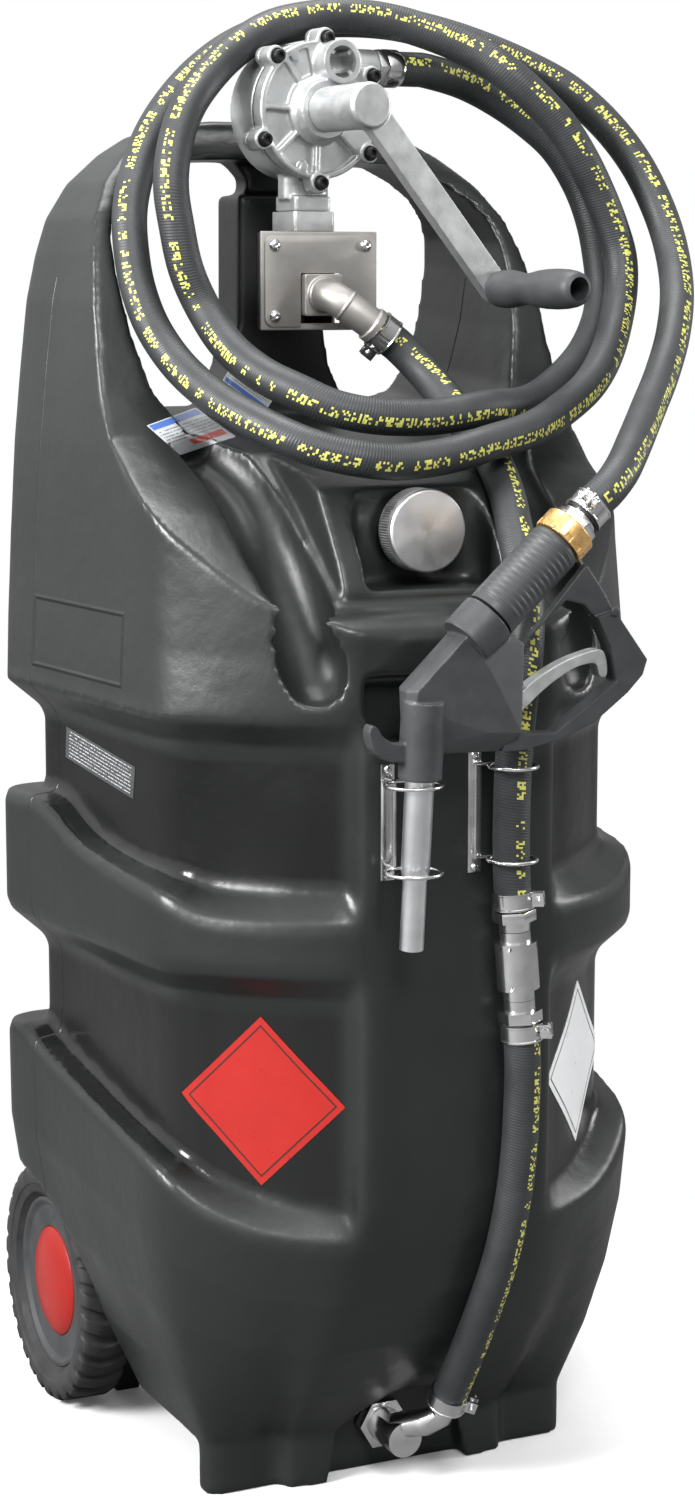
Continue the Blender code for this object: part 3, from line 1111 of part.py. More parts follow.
def check_valve():
    """Spring check valve between the two suction hoses, with a poppet that lifts to let fuel up."""
    upper, _ = hose_end(SUCTION_ROUTE, HELD_SPACING, False)
    lower, _ = hose_end(OUTLET_ROUTE, HELD_SPACING, True)
    low = GAP
    high = (upper - lower).length - GAP
    length = high - low
    collar = 0.009
    collar_across = 0.036
    body_across = 0.040
    bore = 0.0095
    wall = 0.0125
    body_low = low + length * 0.30
    body_high = high - length * 0.28
    place = along(lower, upper - lower)
    seat = body_low + length * 0.10
    chamber = body_across * 0.32
    body = lathe([(bore, body_low - collar), (wall, body_low - collar), (wall, body_low), (body_across * 0.43,
                                                                                           body_low),
                  (body_across * 0.43, body_high), (wall, body_high), (wall, body_high + collar),
                  (bore, body_high + collar),
                  (bore, body_high - collar / 2), (chamber, body_high - collar), (chamber, seat + collar / 3),
                  (bore * 0.75, seat),
                  (bore * 0.75, body_low + collar / 2), (bore, body_low + collar / 3)], 24)
    nut = hexagon(body_across, body_low + collar / 2, body_high - collar / 2, body_across * 0.40)
    add("check_valve_body", fuse(body, nut), CHROME, place)
    for name, foot, head, flip in (("valve_insert_upper", body_high + collar + GAP, high, True),
                                   ("valve_insert_lower", low, body_low - collar - GAP, False)):
        tube = ring(bore, wall, foot, head, 20)
        nut_low = head - collar if flip else foot
        nut = hexagon(collar_across, nut_low, nut_low + collar, (bore + wall) / 2)
        add(name, fuse(tube, nut), CHROME, place)
    poppet_radius = bore * 1.15
    top = seat + collar
    stem = 0.002
    poppet = lathe([(0, seat - GAP * 2), (bore * 0.7, seat + GAP), (poppet_radius, seat + collar / 3 + GAP),
                    (poppet_radius, top),
                    (stem, top), (stem, body_high - collar * 2), (0, body_high - collar * 2)], 18)
    add("check_poppet", poppet, BRASS, place)
    spring_radius = chamber * 0.55
    turns = 4
    steps = 9
    span = body_high - collar * 0.9 - (top + GAP * 3)
    wire = 0.0008
    coil = [(spring_radius * math.cos(math.tau * i / steps), spring_radius * math.sin(math.tau * i / steps),
             top + GAP * 2 + wire + span * i / (turns * steps)) for i in range(turns * steps + 1)]
    add("check_spring", sweep(coil, wire, 5), STEEL, place)


OUTLET_BEND_SHARE = (0.575, 0.64, 0.33)


def outlet_parts():
    """Bulkhead fitting through the foot of the tank, its seal, and the elbow up to the hose."""
    place = Matrix.Translation((OUTLET_X, OUTLET_WALL, OUTLET_Z))
    bore = 0.008
    seal = 0.002
    nut = 0.011
    nut_across = 0.046
    shank = fuse(ring(bore, OUTLET_RADIUS, -OVERRUN, seal + GAP * 2 + nut, 20),
                 hexagon(nut_across, seal + GAP * 2, seal + GAP * 2 + nut, (bore + OUTLET_RADIUS) / 2))
    add("outlet_bulkhead", frontways(shank), CHROME, place)
    add("outlet_seal", frontways(ring(OUTLET_RADIUS + GAP, nut_across * 0.42, GAP, GAP + seal, 20)),
        SEAL_RUBBER, place)
    face = seal + GAP * 3 + nut
    length = 0.040
    elbow_radius = 0.0155
    body = shifted(frontways(disc(elbow_radius, face, face + length, 20)), x=OUTLET_X, y=OUTLET_WALL,
                   z=OUTLET_Z)
    end, axis = hose_end(OUTLET_ROUTE, HELD_SPACING, False)
    start = Vector((OUTLET_X, OUTLET_WALL - face - length * 0.6, OUTLET_Z + bore))
    bend = start + Vector(OUTLET_BEND_SHARE) * (end - start)
    path = [start, bend, end - axis * bore * 1.4, end - axis * GAP]
    add("outlet_elbow", fuse(body, sweep(path, [elbow_radius * 0.75, elbow_radius * 0.75, bore * 1.3,
                                                bore * 1.3], 12)), CHROME)


def nozzle_outline(shares):
    return [(NOZZLE_X + a * NOZZLE_REACH, NOZZLE_Z + b * NOZZLE_REACH) for a, b in shares]


BODY_SHARES = ((-0.07, 0.03), (-0.08, 0.28), (0.15, 0.49), (0.27, 0.56), (0.44, 0.44), (0.35, 0.30),
               (0.33, 0.21), (0.37, 0.14),
               (0.33, 0.02), (0.07, 0.03))
GUARD_SHARES = ((0.45, 0.445), (0.72, 0.74), (0.80, 0.63), (0.87, 0.51), (0.99, 0.35), (0.97, 0.29),
                (0.90, 0.22), (0.75, 0.11),
                (0.59, 0.05), (0.43, 0.02), (0.335, 0.02), (0.375, 0.14), (0.44, 0.085), (0.57, 0.08),
                (0.74, 0.19),
                (0.85, 0.27), (0.82, 0.41), (0.76, 0.53), (0.71, 0.58), (0.63, 0.60))
LEVER_SHARES = ((0.36, 0.17), (0.385, 0.215), (0.48, 0.295), (0.62, 0.365), (0.75, 0.40), (0.79, 0.40),
                (0.81, 0.36), (0.815, 0.29),
                (0.78, 0.285), (0.77, 0.325), (0.755, 0.35), (0.66, 0.335), (0.53, 0.26), (0.42, 0.165))
HOOK_SHARES = ((-0.06, 0.00), (-0.16, 0.01), (-0.22, 0.05), (-0.24, 0.12), (-0.23, 0.16), (-0.20, 0.15),
               (-0.18, 0.11),
               (-0.13, 0.08), (-0.06, 0.075))
GRIP_START_SHARE = (0.30, 0.555)
GRIP_END_SHARE = (0.595, 0.826)
LEVER_PIVOT_SHARE = (0.385, 0.185)
STEM_SPOT_SHARE = (0.43, 0.262)


def slab(shares, thickness, middle=NOZZLE_Y):
    """Upright plate across the nozzle, from an outline in X and Z."""
    return frontways(prism(nozzle_outline(shares), -middle - thickness / 2, -middle + thickness / 2))


def nozzle_spot(share):
    (x, z), = nozzle_outline([share])
    return Vector((x, NOZZLE_Y, z))


def nozzle_parts():
    """Cast body, ribbed grip, guard, lever, valve stem, swivel and spout."""
    body = slab(BODY_SHARES, NOZZLE_THICKNESS)
    body = fuse(body, slab(HOOK_SHARES, GUARD_THICKNESS / 2))
    spout_top = nozzle_spot((0, 0.03))
    spout_tip = nozzle_spot((-0.01, -0.76)) + Vector((0, SPOUT_RADIUS, 0))
    down = (spout_tip - spout_top).normalized()
    collar_radius = SPOUT_RADIUS * 1.5
    collar_length = 0.020
    body = fuse(body, moved(disc(collar_radius, -collar_length / 2, collar_length, 18), along(spout_top,
                                                                                              down)))
    seat_depth = 0.006
    seat = collar_length - seat_depth
    body = cut(body, moved(disc(SPOUT_RADIUS + GAP, seat, collar_length + OVERRUN, 18), along(spout_top,
                                                                                              down)))
    grip_low, grip_high = nozzle_spot(GRIP_START_SHARE), nozzle_spot(GRIP_END_SHARE)
    axis = (grip_high - grip_low).normalized()
    core = 0.014
    length = (grip_high - grip_low).length
    grip_radius = 0.0215
    body = cut(body, moved(disc(grip_radius + GAP, 0, length + OVERRUN, 24), along(grip_low, axis)))
    body = fuse(body, moved(disc(core, -core * 1.5, length, 16), along(grip_low, axis)))
    stem_axis = Vector((-math.sin(math.radians(40)), 0, math.cos(math.radians(40))))
    stem_foot = nozzle_spot(STEM_SPOT_SHARE)
    stem_radius = 0.003
    stem_reach = 0.020
    body = cut(body, moved(disc(stem_radius + GAP, -OVERRUN, stem_reach + OVERRUN / 2, 12), along(stem_foot,
                                                                                                  stem_axis)))
    pivot = nozzle_spot(LEVER_PIVOT_SHARE)
    pin_radius = 0.0025
    lever_half = 0.0065
    fork = 0.012
    jaw = shifted(frontways(disc(fork, -lever_half - 2 * GAP, lever_half + 2 * GAP, 16)), x=pivot.x,
                  y=pivot.y, z=pivot.z)
    pin_hole = shifted(frontways(disc(pin_radius + GAP, -NOZZLE_THICKNESS / 3, NOZZLE_THICKNESS / 3, 12)),
                       x=pivot.x, y=pivot.y, z=pivot.z)
    lever_room = slab(LEVER_SHARES, lever_half * 2 + 4 * GAP)
    body = cut(body, jaw, pin_hole, lever_room)
    add("nozzle_body", body, NOZZLE_PLASTIC)

    sleeve = lathe([(core + GAP, GAP), (grip_radius, GAP), (grip_radius, length * 0.85), (grip_radius * 0.9,
                                                                                          length - GAP),
                    (core + GAP, length - GAP)], 24)
    sleeve = moved(sleeve, along(grip_low, axis))
    guard = slab(GUARD_SHARES, GUARD_THICKNESS)
    solid_core = moved(disc(grip_radius + GAP, -OVERRUN, length + OVERRUN, 24), along(grip_low, axis))
    body_room = slab(BODY_SHARES, NOZZLE_THICKNESS * 2)
    guard = cut(guard, solid_core, shifted(body_room.copy(), x=GAP * 2), body_room)
    add("nozzle_grip", sleeve, NOZZLE_PLASTIC)
    add("nozzle_guard", guard, NOZZLE_PLASTIC)

    blade = slab(LEVER_SHARES, lever_half * 2)
    eye = shifted(frontways(disc(fork * 0.6, -lever_half, lever_half, 14)), x=pivot.x, y=pivot.y, z=pivot.z)
    lever_hole = shifted(frontways(disc(pin_radius + GAP, -lever_half - OVERRUN, lever_half + OVERRUN, 12)),
                         x=pivot.x, y=pivot.y, z=pivot.z)
    lever = cut(fuse(blade, eye), lever_hole)
    add("nozzle_lever", shifted(lever, -pivot.x, -pivot.y, -pivot.z), CAST_ALUMINIUM,
        Matrix.Translation(pivot))
    pin = frontways(disc(pin_radius, -NOZZLE_THICKNESS / 3 + GAP, NOZZLE_THICKNESS / 3 - GAP, 12))
    add("lever_pin", pin, STEEL, Matrix.Translation(pivot))
    add("valve_stem", disc(stem_radius, GAP, stem_reach, 12), STEEL, along(stem_foot, stem_axis))

    swivel_low = length + GAP
    swivel = 0.017
    swivel_radius = 0.0225
    barb = 0.0095
    nut = ring(barb, swivel_radius, swivel_low, swivel_low + swivel, 28)
    add("swivel_nut", moved(nut, along(grip_low, axis)), BRASS)
    hose_tip, _ = hose_end(DELIVERY_ROUTE, FREE_SPACING, False)
    foot = grip_low + axis * (swivel_low + swivel + GAP)
    reach = (hose_tip - foot).length - GAP
    hex_end = fuse(disc(barb * 2, 0, reach * 0.5, 6), disc(barb * 1.3, 0, reach, 16))
    add("swivel_tail", moved(hex_end, along(foot, hose_tip - foot)), CHROME)

    wall = 0.0014
    long = (spout_tip - spout_top).length
    step = 0.092
    taper = 0.008
    outer = SPOUT_RADIUS
    small = SPOUT_RADIUS * 0.84
    tube = lathe([(outer - wall, seat + GAP), (outer, seat + GAP), (outer, step), (small, step + taper),
                  (small, long),
                  (small - wall, long), (small - wall, step + taper), (outer - wall, step)], 20)
    add("spout", moved(tube, along(spout_top, down)), TURNED_ALUMINIUM)


def wire_holder(name, x, centre_y, strip_x, low, high, ring_radius):
    """Two wire rings joined by an upright wire, on a strip that is screwed to the spine."""
    wire = HOLDER_WIRE
    steps = 20
    shapes = []
    for z in (low, high):
        points = []
        for step in range(steps):
            a = math.radians(90) + math.tau * step / steps
            points.append([Vector((x + (ring_radius + wire * math.cos(b)) * math.cos(a),
                                   centre_y + (ring_radius + wire * math.cos(b)) * math.sin(a),
                                   z + wire * math.sin(b)))
                           for b in (math.tau * side / 6 for side in range(6))])
        shapes.append(skin(points, closed=True))
    rear = centre_y + ring_radius
    back = TANK_FRONT - GAP
    face = back - HOLDER_STRIP
    half = HOLDER_STRIP * 4
    shapes.append(block((strip_x - half, face, low - half * 2), (strip_x + half, back, high + half * 2)))
    shapes.append(sweep([(strip_x, rear, low), (strip_x, rear, high)], wire, 6))
    for z in (low, high):
        shapes.append(block((strip_x - wire, rear - wire, z - wire * 0.8), (x, rear + wire * 0.9,
                                                                            z + wire * 0.8)))
        stay = ((strip_x - wire * 0.8, rear - wire / 2, z - wire * 0.7),
                (strip_x + wire * 0.8, (face + back) / 2, z + wire * 0.7))
        shapes.append(block(*stay))
    for z in (low - half * 1.3, high + half * 1.3):
        head = lathe([(0, 0), (SCREW_RADIUS, 0), (SCREW_RADIUS, SCREW_RADIUS * 0.5), (SCREW_RADIUS * 0.6,
                                                                                      SCREW_RADIUS * 0.8),
                      (0, SCREW_RADIUS * 0.9)], 10)
        shapes.append(shifted(frontways(head), x=strip_x, y=(face + back) / 2, z=z))
    add(name, fuse(*shapes), CHROME)


def offset_line(points, distance):
    """Open plan line moved sideways by a distance, with mitred corners."""
    result = []
    for index, (x, y) in enumerate(points):
        normals = []
        for a, b in ((index - 1, index), (index, index + 1)):
            if 0 <= a and b < len(points):
                edge = Vector((points[b][0] - points[a][0], points[b][1] - points[a][1])).normalized()
                normals.append(Vector((edge.y, -edge.x)))
        normal = (normals[0] + normals[-1]).normalized()
        reach = distance / max(0.5, normal.dot(normals[0]))
        result.append((x + normal.x * reach, y + normal.y * reach))
    return result


def diamond():
    """Square sticker on its corner, wrapped to the recessed panel on the right."""
    columns = range(3, 10)
    line = [tank_point(column, MIDDLE_BAND_Z - RIDGE_FILLET, 0)[:2] for column in columns]
    near = offset_line(line, GAP)
    far = offset_line(line, GAP + STICKER_THICKNESS)
    half = DIAMOND_SIDE / math.sqrt(2)
    film = prism(near + far[::-1], DIAMOND_Z - half, DIAMOND_Z + half)
    centre = Vector(line[3])
    tangent = (Vector(line[4]) - Vector(line[2])).normalized()
    normal = Vector((tangent.y, -tangent.x))
    outline = [(half, 0), (0, half), (-half, 0), (0, -half)]
    column_shape = prism(outline, -OVERRUN * 2, OVERRUN * 2)
    turn = Matrix(((tangent.x, 0, normal.x, centre.x), (tangent.y, 0, normal.y, centre.y),
                   (0, 1, 0, DIAMOND_Z), (0, 0, 0, 1)))
    return combine(film, moved(column_shape, turn), "INTERSECT")


def hose_groove():
    """Room for the suction hose where it lies against the nose."""
    even, _ = smooth_path(SUCTION_ROUTE, HELD_SPACING)
    radius = (HOSE_RADIUS + GAP) / math.cos(math.pi / 12)
    return sweep(even[4:-8], radius, 12)


add("tank_body", tank_body(hose_groove()), BLACK_PLASTIC)
filler_parts()
wheels()
pump_parts()
bracket_parts()
hose("suction_hose", SUCTION_ROUTE, HELD_SPACING, HOSE_RUBBER)
hose("outlet_hose", OUTLET_ROUTE, HELD_SPACING, HOSE_RUBBER)
hose("delivery_hose", DELIVERY_ROUTE, FREE_SPACING, HOSE_RUBBER)
clamps()
check_valve()
outlet_parts()
nozzle_parts()
spout_rings = (HOLDER_LOW, HOLDER_HIGH - HOLDER_WIRE * 4)
wire_holder("spout_holder", SPOUT_RING_X, SPOUT_RING_Y, SPOUT_STRIP_X, *spout_rings, SPOUT_RING_RADIUS)
wire_holder("hose_holder", HOSE_RING_X, HOSE_RING_Y, HOSE_STRIP_X, HOLDER_LOW, HOLDER_HIGH, HOSE_RING_RADIUS)
white = diamond()
add("orange_sticker", mirrored(white), ORANGE_FILM)
add("white_sticker", white, WHITE_FILM)
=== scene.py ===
# %% [markdown]
# # A fuel caddy, dressed for its photograph
# The caddy is a moulded trolley tank with a rotary hand pump on its handle. The solids come from a CAD
# model that also knows the joints, and this lesson gives them their looks: shapes rounder than the
# solids, and a finish made of nodes for every material. First the solids are loaded.

# %% Load the solids
import json
import math

import bmesh
import bpy
from mathutils import Matrix, Vector
from mathutils.geometry import interpolate_bezier


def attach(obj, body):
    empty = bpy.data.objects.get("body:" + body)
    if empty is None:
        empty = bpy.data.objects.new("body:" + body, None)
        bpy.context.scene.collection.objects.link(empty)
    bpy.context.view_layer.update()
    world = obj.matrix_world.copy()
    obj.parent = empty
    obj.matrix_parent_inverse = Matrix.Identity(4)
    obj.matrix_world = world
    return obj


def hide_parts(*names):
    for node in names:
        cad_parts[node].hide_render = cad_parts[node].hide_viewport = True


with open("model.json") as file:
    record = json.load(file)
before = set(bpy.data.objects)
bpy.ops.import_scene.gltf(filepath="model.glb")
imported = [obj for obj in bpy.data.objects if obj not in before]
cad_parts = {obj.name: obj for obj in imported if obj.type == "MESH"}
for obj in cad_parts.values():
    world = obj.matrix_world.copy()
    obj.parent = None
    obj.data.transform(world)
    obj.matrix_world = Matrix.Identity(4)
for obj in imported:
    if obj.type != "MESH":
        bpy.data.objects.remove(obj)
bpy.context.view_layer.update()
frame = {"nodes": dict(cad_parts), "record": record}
solids = frame["nodes"]
body_of = {node: body for body, nodes in frame["record"]["behaviour"]["bodies"].items() for node in nodes}

# %% [markdown]
# ## Camera
# The photograph was taken from the front, a little to the left and from above the middle of the tank.
# A camera can be aimed with a constraint, but here its place and the directions of its picture are
# known, so its matrix is written from three arrows: right, up, and back towards the photographer.

# %% Camera
lens = bpy.data.cameras.new("photo_view")
lens.lens = 70.8
camera = bpy.data.objects.new("photo_view", lens)
bpy.context.scene.collection.objects.link(camera)
camera_place = Vector((-1.0825, -2.2860, 1.0114))
picture_right = Vector((0.9030, -0.4297, 0)).normalized()
picture_back = Vector((-0.4245, -0.8921, 0.1549)).normalized()
picture_up = picture_back.cross(picture_right)
camera.matrix_world = Matrix.Translation(camera_place) @ Matrix(
    (picture_right, picture_up, picture_back)).transposed().to_4x4()
bpy.context.scene.camera = camera
print("camera", round((camera_place - Vector((0, 0, 0.6))).length, 2), "m from the caddy")

# %% [markdown]
# ## A few tools for finishes
# A finish is a Principled shader with something varying in its colour, its roughness and its relief.
# These helpers add one node at a time, so that each material below reads as a short list. The texture
# places come from the object, so a pattern stays on its piece when the piece moves.

# %% Nodes, places and noise
def finish(name, colour, roughness, metallic=0.0, **sockets):
    """A new material, with numbers that are the same all over set on the shader itself."""
    material = bpy.data.materials.new(name)
    material.use_nodes = True
    shader = material.node_tree.nodes["Principled BSDF"]
    shader.inputs["Base Color"].default_value = (*colour, 1)
    shader.inputs["Roughness"].default_value = roughness
    shader.inputs["Metallic"].default_value = metallic
    for socket, value in sockets.items():
        shader.inputs[socket.replace("_", " ")].default_value = value
    return material


def made(material, kind, inputs=None, **settings):
    """A node in a material: settings are its options, inputs its sockets' values or what feeds them."""
    node = material.node_tree.nodes.new("ShaderNode" + kind)
    for key, value in settings.items():
        setattr(node, key, value)
    for key, value in (inputs or {}).items():
        if isinstance(value, bpy.types.NodeSocket):
            material.node_tree.links.new(value, node.inputs[key])
        else:
            node.inputs[key].default_value = value
    return node


def place_on(material, space="Object", stretch=(1, 1, 1)):
    """Texture coordinates of a piece, stretched along its axes."""
    source = made(material, "TexCoord").outputs[space]
    return made(material, "Mapping", {"Vector": source, "Scale": stretch}).outputs[0]


def cloudy(material, size, detail=2.0, space="Object", stretch=(1, 1, 1)):
    """Noise from 0 to 1 in patches of a size in metres."""
    where = place_on(material, space, stretch)
    return made(material, "TexNoise", {"Vector": where, "Scale": 1 / size, "Detail": detail}).outputs[0]


def feed(material, socket, source):
    shader = material.node_tree.nodes["Principled BSDF"]
    material.node_tree.links.new(source, shader.inputs[socket])


print("nodes, places and noise ready")

# %% [markdown]
# A pattern is noise or arithmetic that ends in a colour, a number or a relief. A relief is laid on
# the reliefs that the finish has already, so that a fine grain can lie on slow waves.

# %% Tools for patterns
def relief(material, height, depth):
    """Adds a relief to what the shader's surface has already."""
    shader = material.node_tree.nodes["Principled BSDF"]
    under = [link.from_socket for link in shader.inputs["Normal"].links]
    bump = made(material, "Bump", {"Height": height, "Distance": depth, "Strength": 1.0})
    if under:
        material.node_tree.links.new(under[0], bump.inputs["Normal"])
    feed(material, "Normal", bump.outputs[0])


def spread(material, source, low, high, begin=0.3, end=0.7):
    """Noise turned into a number between low and high."""
    limits = {"Value": source, "From Min": begin, "From Max": end, "To Min": low, "To Max": high}
    return made(material, "MapRange", limits).outputs[0]


def blended(material, source, dark, light, begin=0.3, end=0.7):
    """Noise turned into a colour between two."""
    ramp = made(material, "ValToRGB", {"Fac": source})
    first, last = ramp.color_ramp.elements
    first.position, last.position = begin, end
    first.color, last.color = (*dark, 1), (*light, 1)
    return ramp.outputs[0]


def arithmetic(material, operation, *values):
    """One step of arithmetic between sockets or numbers."""
    node = made(material, "Math", operation=operation)
    for index, value in enumerate(values):
        if isinstance(value, bpy.types.NodeSocket):
            material.node_tree.links.new(value, node.inputs[index])
        else:
            node.inputs[index].default_value = value
    return node.outputs[0]


print("tools for materials ready")

# %% [markdown]
# ## Floor and light
# The floor is pale where the caddy stands, to keep its shadow, and turns to plain white away from it,
# so that no horizon shows. The world is white to the camera and softer as a source of light. The
# lamps are large, because a satin black surface shows little but the lamps it mirrors.

# %% Floor
floor_shape = bmesh.new()
bmesh.ops.create_circle(floor_shape, cap_ends=True, segments=64, radius=6)
floor_mesh = bpy.data.meshes.new("floor")
floor_shape.to_mesh(floor_mesh)
floor_shape.free()
floor = bpy.data.objects.new("floor", floor_mesh)
bpy.context.scene.collection.objects.link(floor)
pale = finish("pale_floor", (0.86, 0.86, 0.86), 0.75)
reach = made(pale, "VectorMath", {0: place_on(pale)}, operation="LENGTH").outputs["Value"]
away = spread(pale, reach, 0.05, 1.0, 0.28, 0.75)
seen = made(pale, "LightPath").outputs["Is Camera Ray"]
feed(pale, "Base Color", blended(pale, seen, (0.16, 0.16, 0.16), (0.86, 0.86, 0.86), 0.0, 1.0))
paper = made(pale, "Emission", {"Color": (1, 1, 1, 1), "Strength": 1.0})
mix = made(
    pale, "MixShader",
    {
        0: arithmetic(pale, "MULTIPLY", away, seen), 1: pale.node_tree.nodes["Principled BSDF"].outputs[0],
        2: paper.outputs[0]})
pale.node_tree.links.new(mix.outputs[0], pale.node_tree.nodes["Material Output"].inputs[0])
floor.data.materials.append(pale)
floor.location.z = -0.0005
print("floor", floor.dimensions.x, "m across")

# %% [markdown]
# The sky is brighter above and to the left, and the mirrored sky isn't the one that lights dull
# surfaces. Four soft lamps stand round the caddy, the strongest on the left.

# %% World and lamps
bpy.context.scene.view_settings.view_transform = "Standard"
world = bpy.data.worlds.new("studio")
bpy.context.scene.world = world
world.use_nodes = True
sky = world.node_tree.nodes["Background"]
sky.inputs["Color"].default_value = (1, 1, 1, 1)
ways = made(world, "LightPath")
towards_x, _, towards_z = made(
    world, "SeparateXYZ", {0: made(world, "TexCoord").outputs["Generated"]}).outputs
up_and_left = arithmetic(
    world, "SUBTRACT", arithmetic(world, "MULTIPLY", towards_z, 0.8),
    arithmetic(world, "MULTIPLY", towards_x, 0.45))
mirrored_sky = spread(world, up_and_left, 0.36, 1.30, 0.0, 0.60)
diffuse_sky = spread(world, up_and_left, 0.08, 1.05, -0.30, 0.90)
soft = arithmetic(
    world, "ADD", arithmetic(world, "MULTIPLY", ways.outputs["Is Glossy Ray"], mirrored_sky),
    arithmetic(
        world, "MULTIPLY", arithmetic(world, "SUBTRACT", 1.0, ways.outputs["Is Glossy Ray"]), diffuse_sky))
clear = arithmetic(world, "MAXIMUM", ways.outputs["Is Camera Ray"], ways.outputs["Is Transmission Ray"])
world.node_tree.links.new(arithmetic(world, "MAXIMUM", clear, soft), sky.inputs["Strength"])


def lamp(name, place, aim, size, watts):
    """A square soft lamp that looks at a point."""
    light = bpy.data.lights.new(name, "AREA")
    light.size = size
    light.energy = watts
    item = bpy.data.objects.new(name, light)
    item.matrix_world = Matrix.Translation(place) @ (
        Vector(aim) - Vector(place)).to_track_quat("-Z", "Y").to_matrix().to_4x4()
    bpy.context.scene.collection.objects.link(item)
    return item


lamp("left_lamp", (-2.9, -0.5, 2.2), (0, 0, 0.8), 1.2, 210)
lamp("front_lamp", (-0.6, -2.8, 3.0), (0, 0, 1.1), 1.0, 84)
lamp("top_lamp", (0.1, 0.3, 3.0), (0, 0, 0.8), 1.2, 46)
lamp("right_lamp", (2.3, -0.7, 1.3), (0.2, 0, 0.6), 0.8, 30)

# %% [markdown]
# ## The hoses
# A fuel hose is a smooth rubber tube with a fabric imprint and a printed line. The hose's own line is
# drawn through a few given points, and a smooth curve through them is cut into even steps. A
# bevelled curve would be quicker, but a mesh tube can carry a map whose first number goes round the
# hose and whose second is the length in metres, and the print and the imprint follow that map.

# %% Even steps along a smooth curve
def even_steps(points, spacing):
    """Points at equal steps along the smooth curve through given ones, and its length."""
    points = [Vector(point) for point in points]
    fine = []
    for index in range(len(points) - 1):
        a = points[max(index - 1, 0)]
        b, c = points[index], points[index + 1]
        d = points[min(index + 2, len(points) - 1)]
        for step in range(16):
            t = step / 16
            fine.append(
                0.5
                * (
                    2 * b + (c - a) * t + (2 * a - 5 * b + 4 * c - d) * t ** 2
                    + (3 * b - a - 3 * c + d) * t ** 3))
    fine.append(points[-1])
    length = sum((q - p).length for p, q in zip(fine, fine[1:]))
    count = round(length / spacing)
    marks = [length * step / count for step in range(1, count)]
    even = [fine[0]]
    walked = 0.0
    for p, q in zip(fine, fine[1:]):
        reach = (q - p).length
        while marks and walked + reach >= marks[0]:
            even.append(p.lerp(q, (marks.pop(0) - walked) / reach))
        walked += reach
    even.append(fine[-1])
    return even, length


print("even steps along", even_steps([(0, 0, 0), (1, 0, 0)], 0.1)[1], "m")

# %% [markdown]
# The routes are the middle lines of the three hoses. The delivery hose goes from the pump through its
# coils to the nozzle, and its points are those of the CAD model.

# %% Routes of the hoses
HOSE_RADIUS = 0.015
SUCTION_ROUTE = (
    (0.0356, 0.0070, 0.9775), (0.0455, 0.0055, 0.9697), (0.0556, 0.0040, 0.9619), (0.0680, -0.0035, 0.9476),
    (0.0768, -0.0208, 0.9306), (0.0813, -0.0470, 0.9112), (0.0838, -0.0782, 0.8917), (0.084, -0.106, 0.877),
    (0.081, -0.132, 0.860), (0.0765, -0.156, 0.841), (0.070, -0.180, 0.818), (0.063, -0.205, 0.788),
    (0.056, -0.226, 0.755), (0.048, -0.2385, 0.719), (0.041, -0.242, 0.680), (0.037, -0.2425, 0.640),
    (0.0355, -0.2425, 0.600), (0.0352, -0.243, 0.565), (0.0358, -0.2435, 0.540), (0.0367, -0.2435, 0.5285),
    (0.0376, -0.2435, 0.517))
OUTLET_ROUTE = (
    (0.0449, -0.2435, 0.424), (0.0458, -0.2435, 0.4125), (0.0467, -0.2435, 0.401), (0.0475, -0.243, 0.380),
    (0.0475, -0.242, 0.355), (0.046, -0.241, 0.315), (0.0425, -0.238, 0.273), (0.0365, -0.230, 0.224),
    (0.030, -0.213, 0.175), (0.0235, -0.1945, 0.130), (0.0195, -0.183, 0.104), (0.0178, -0.1765, 0.090),
    (0.0161, -0.170, 0.076))
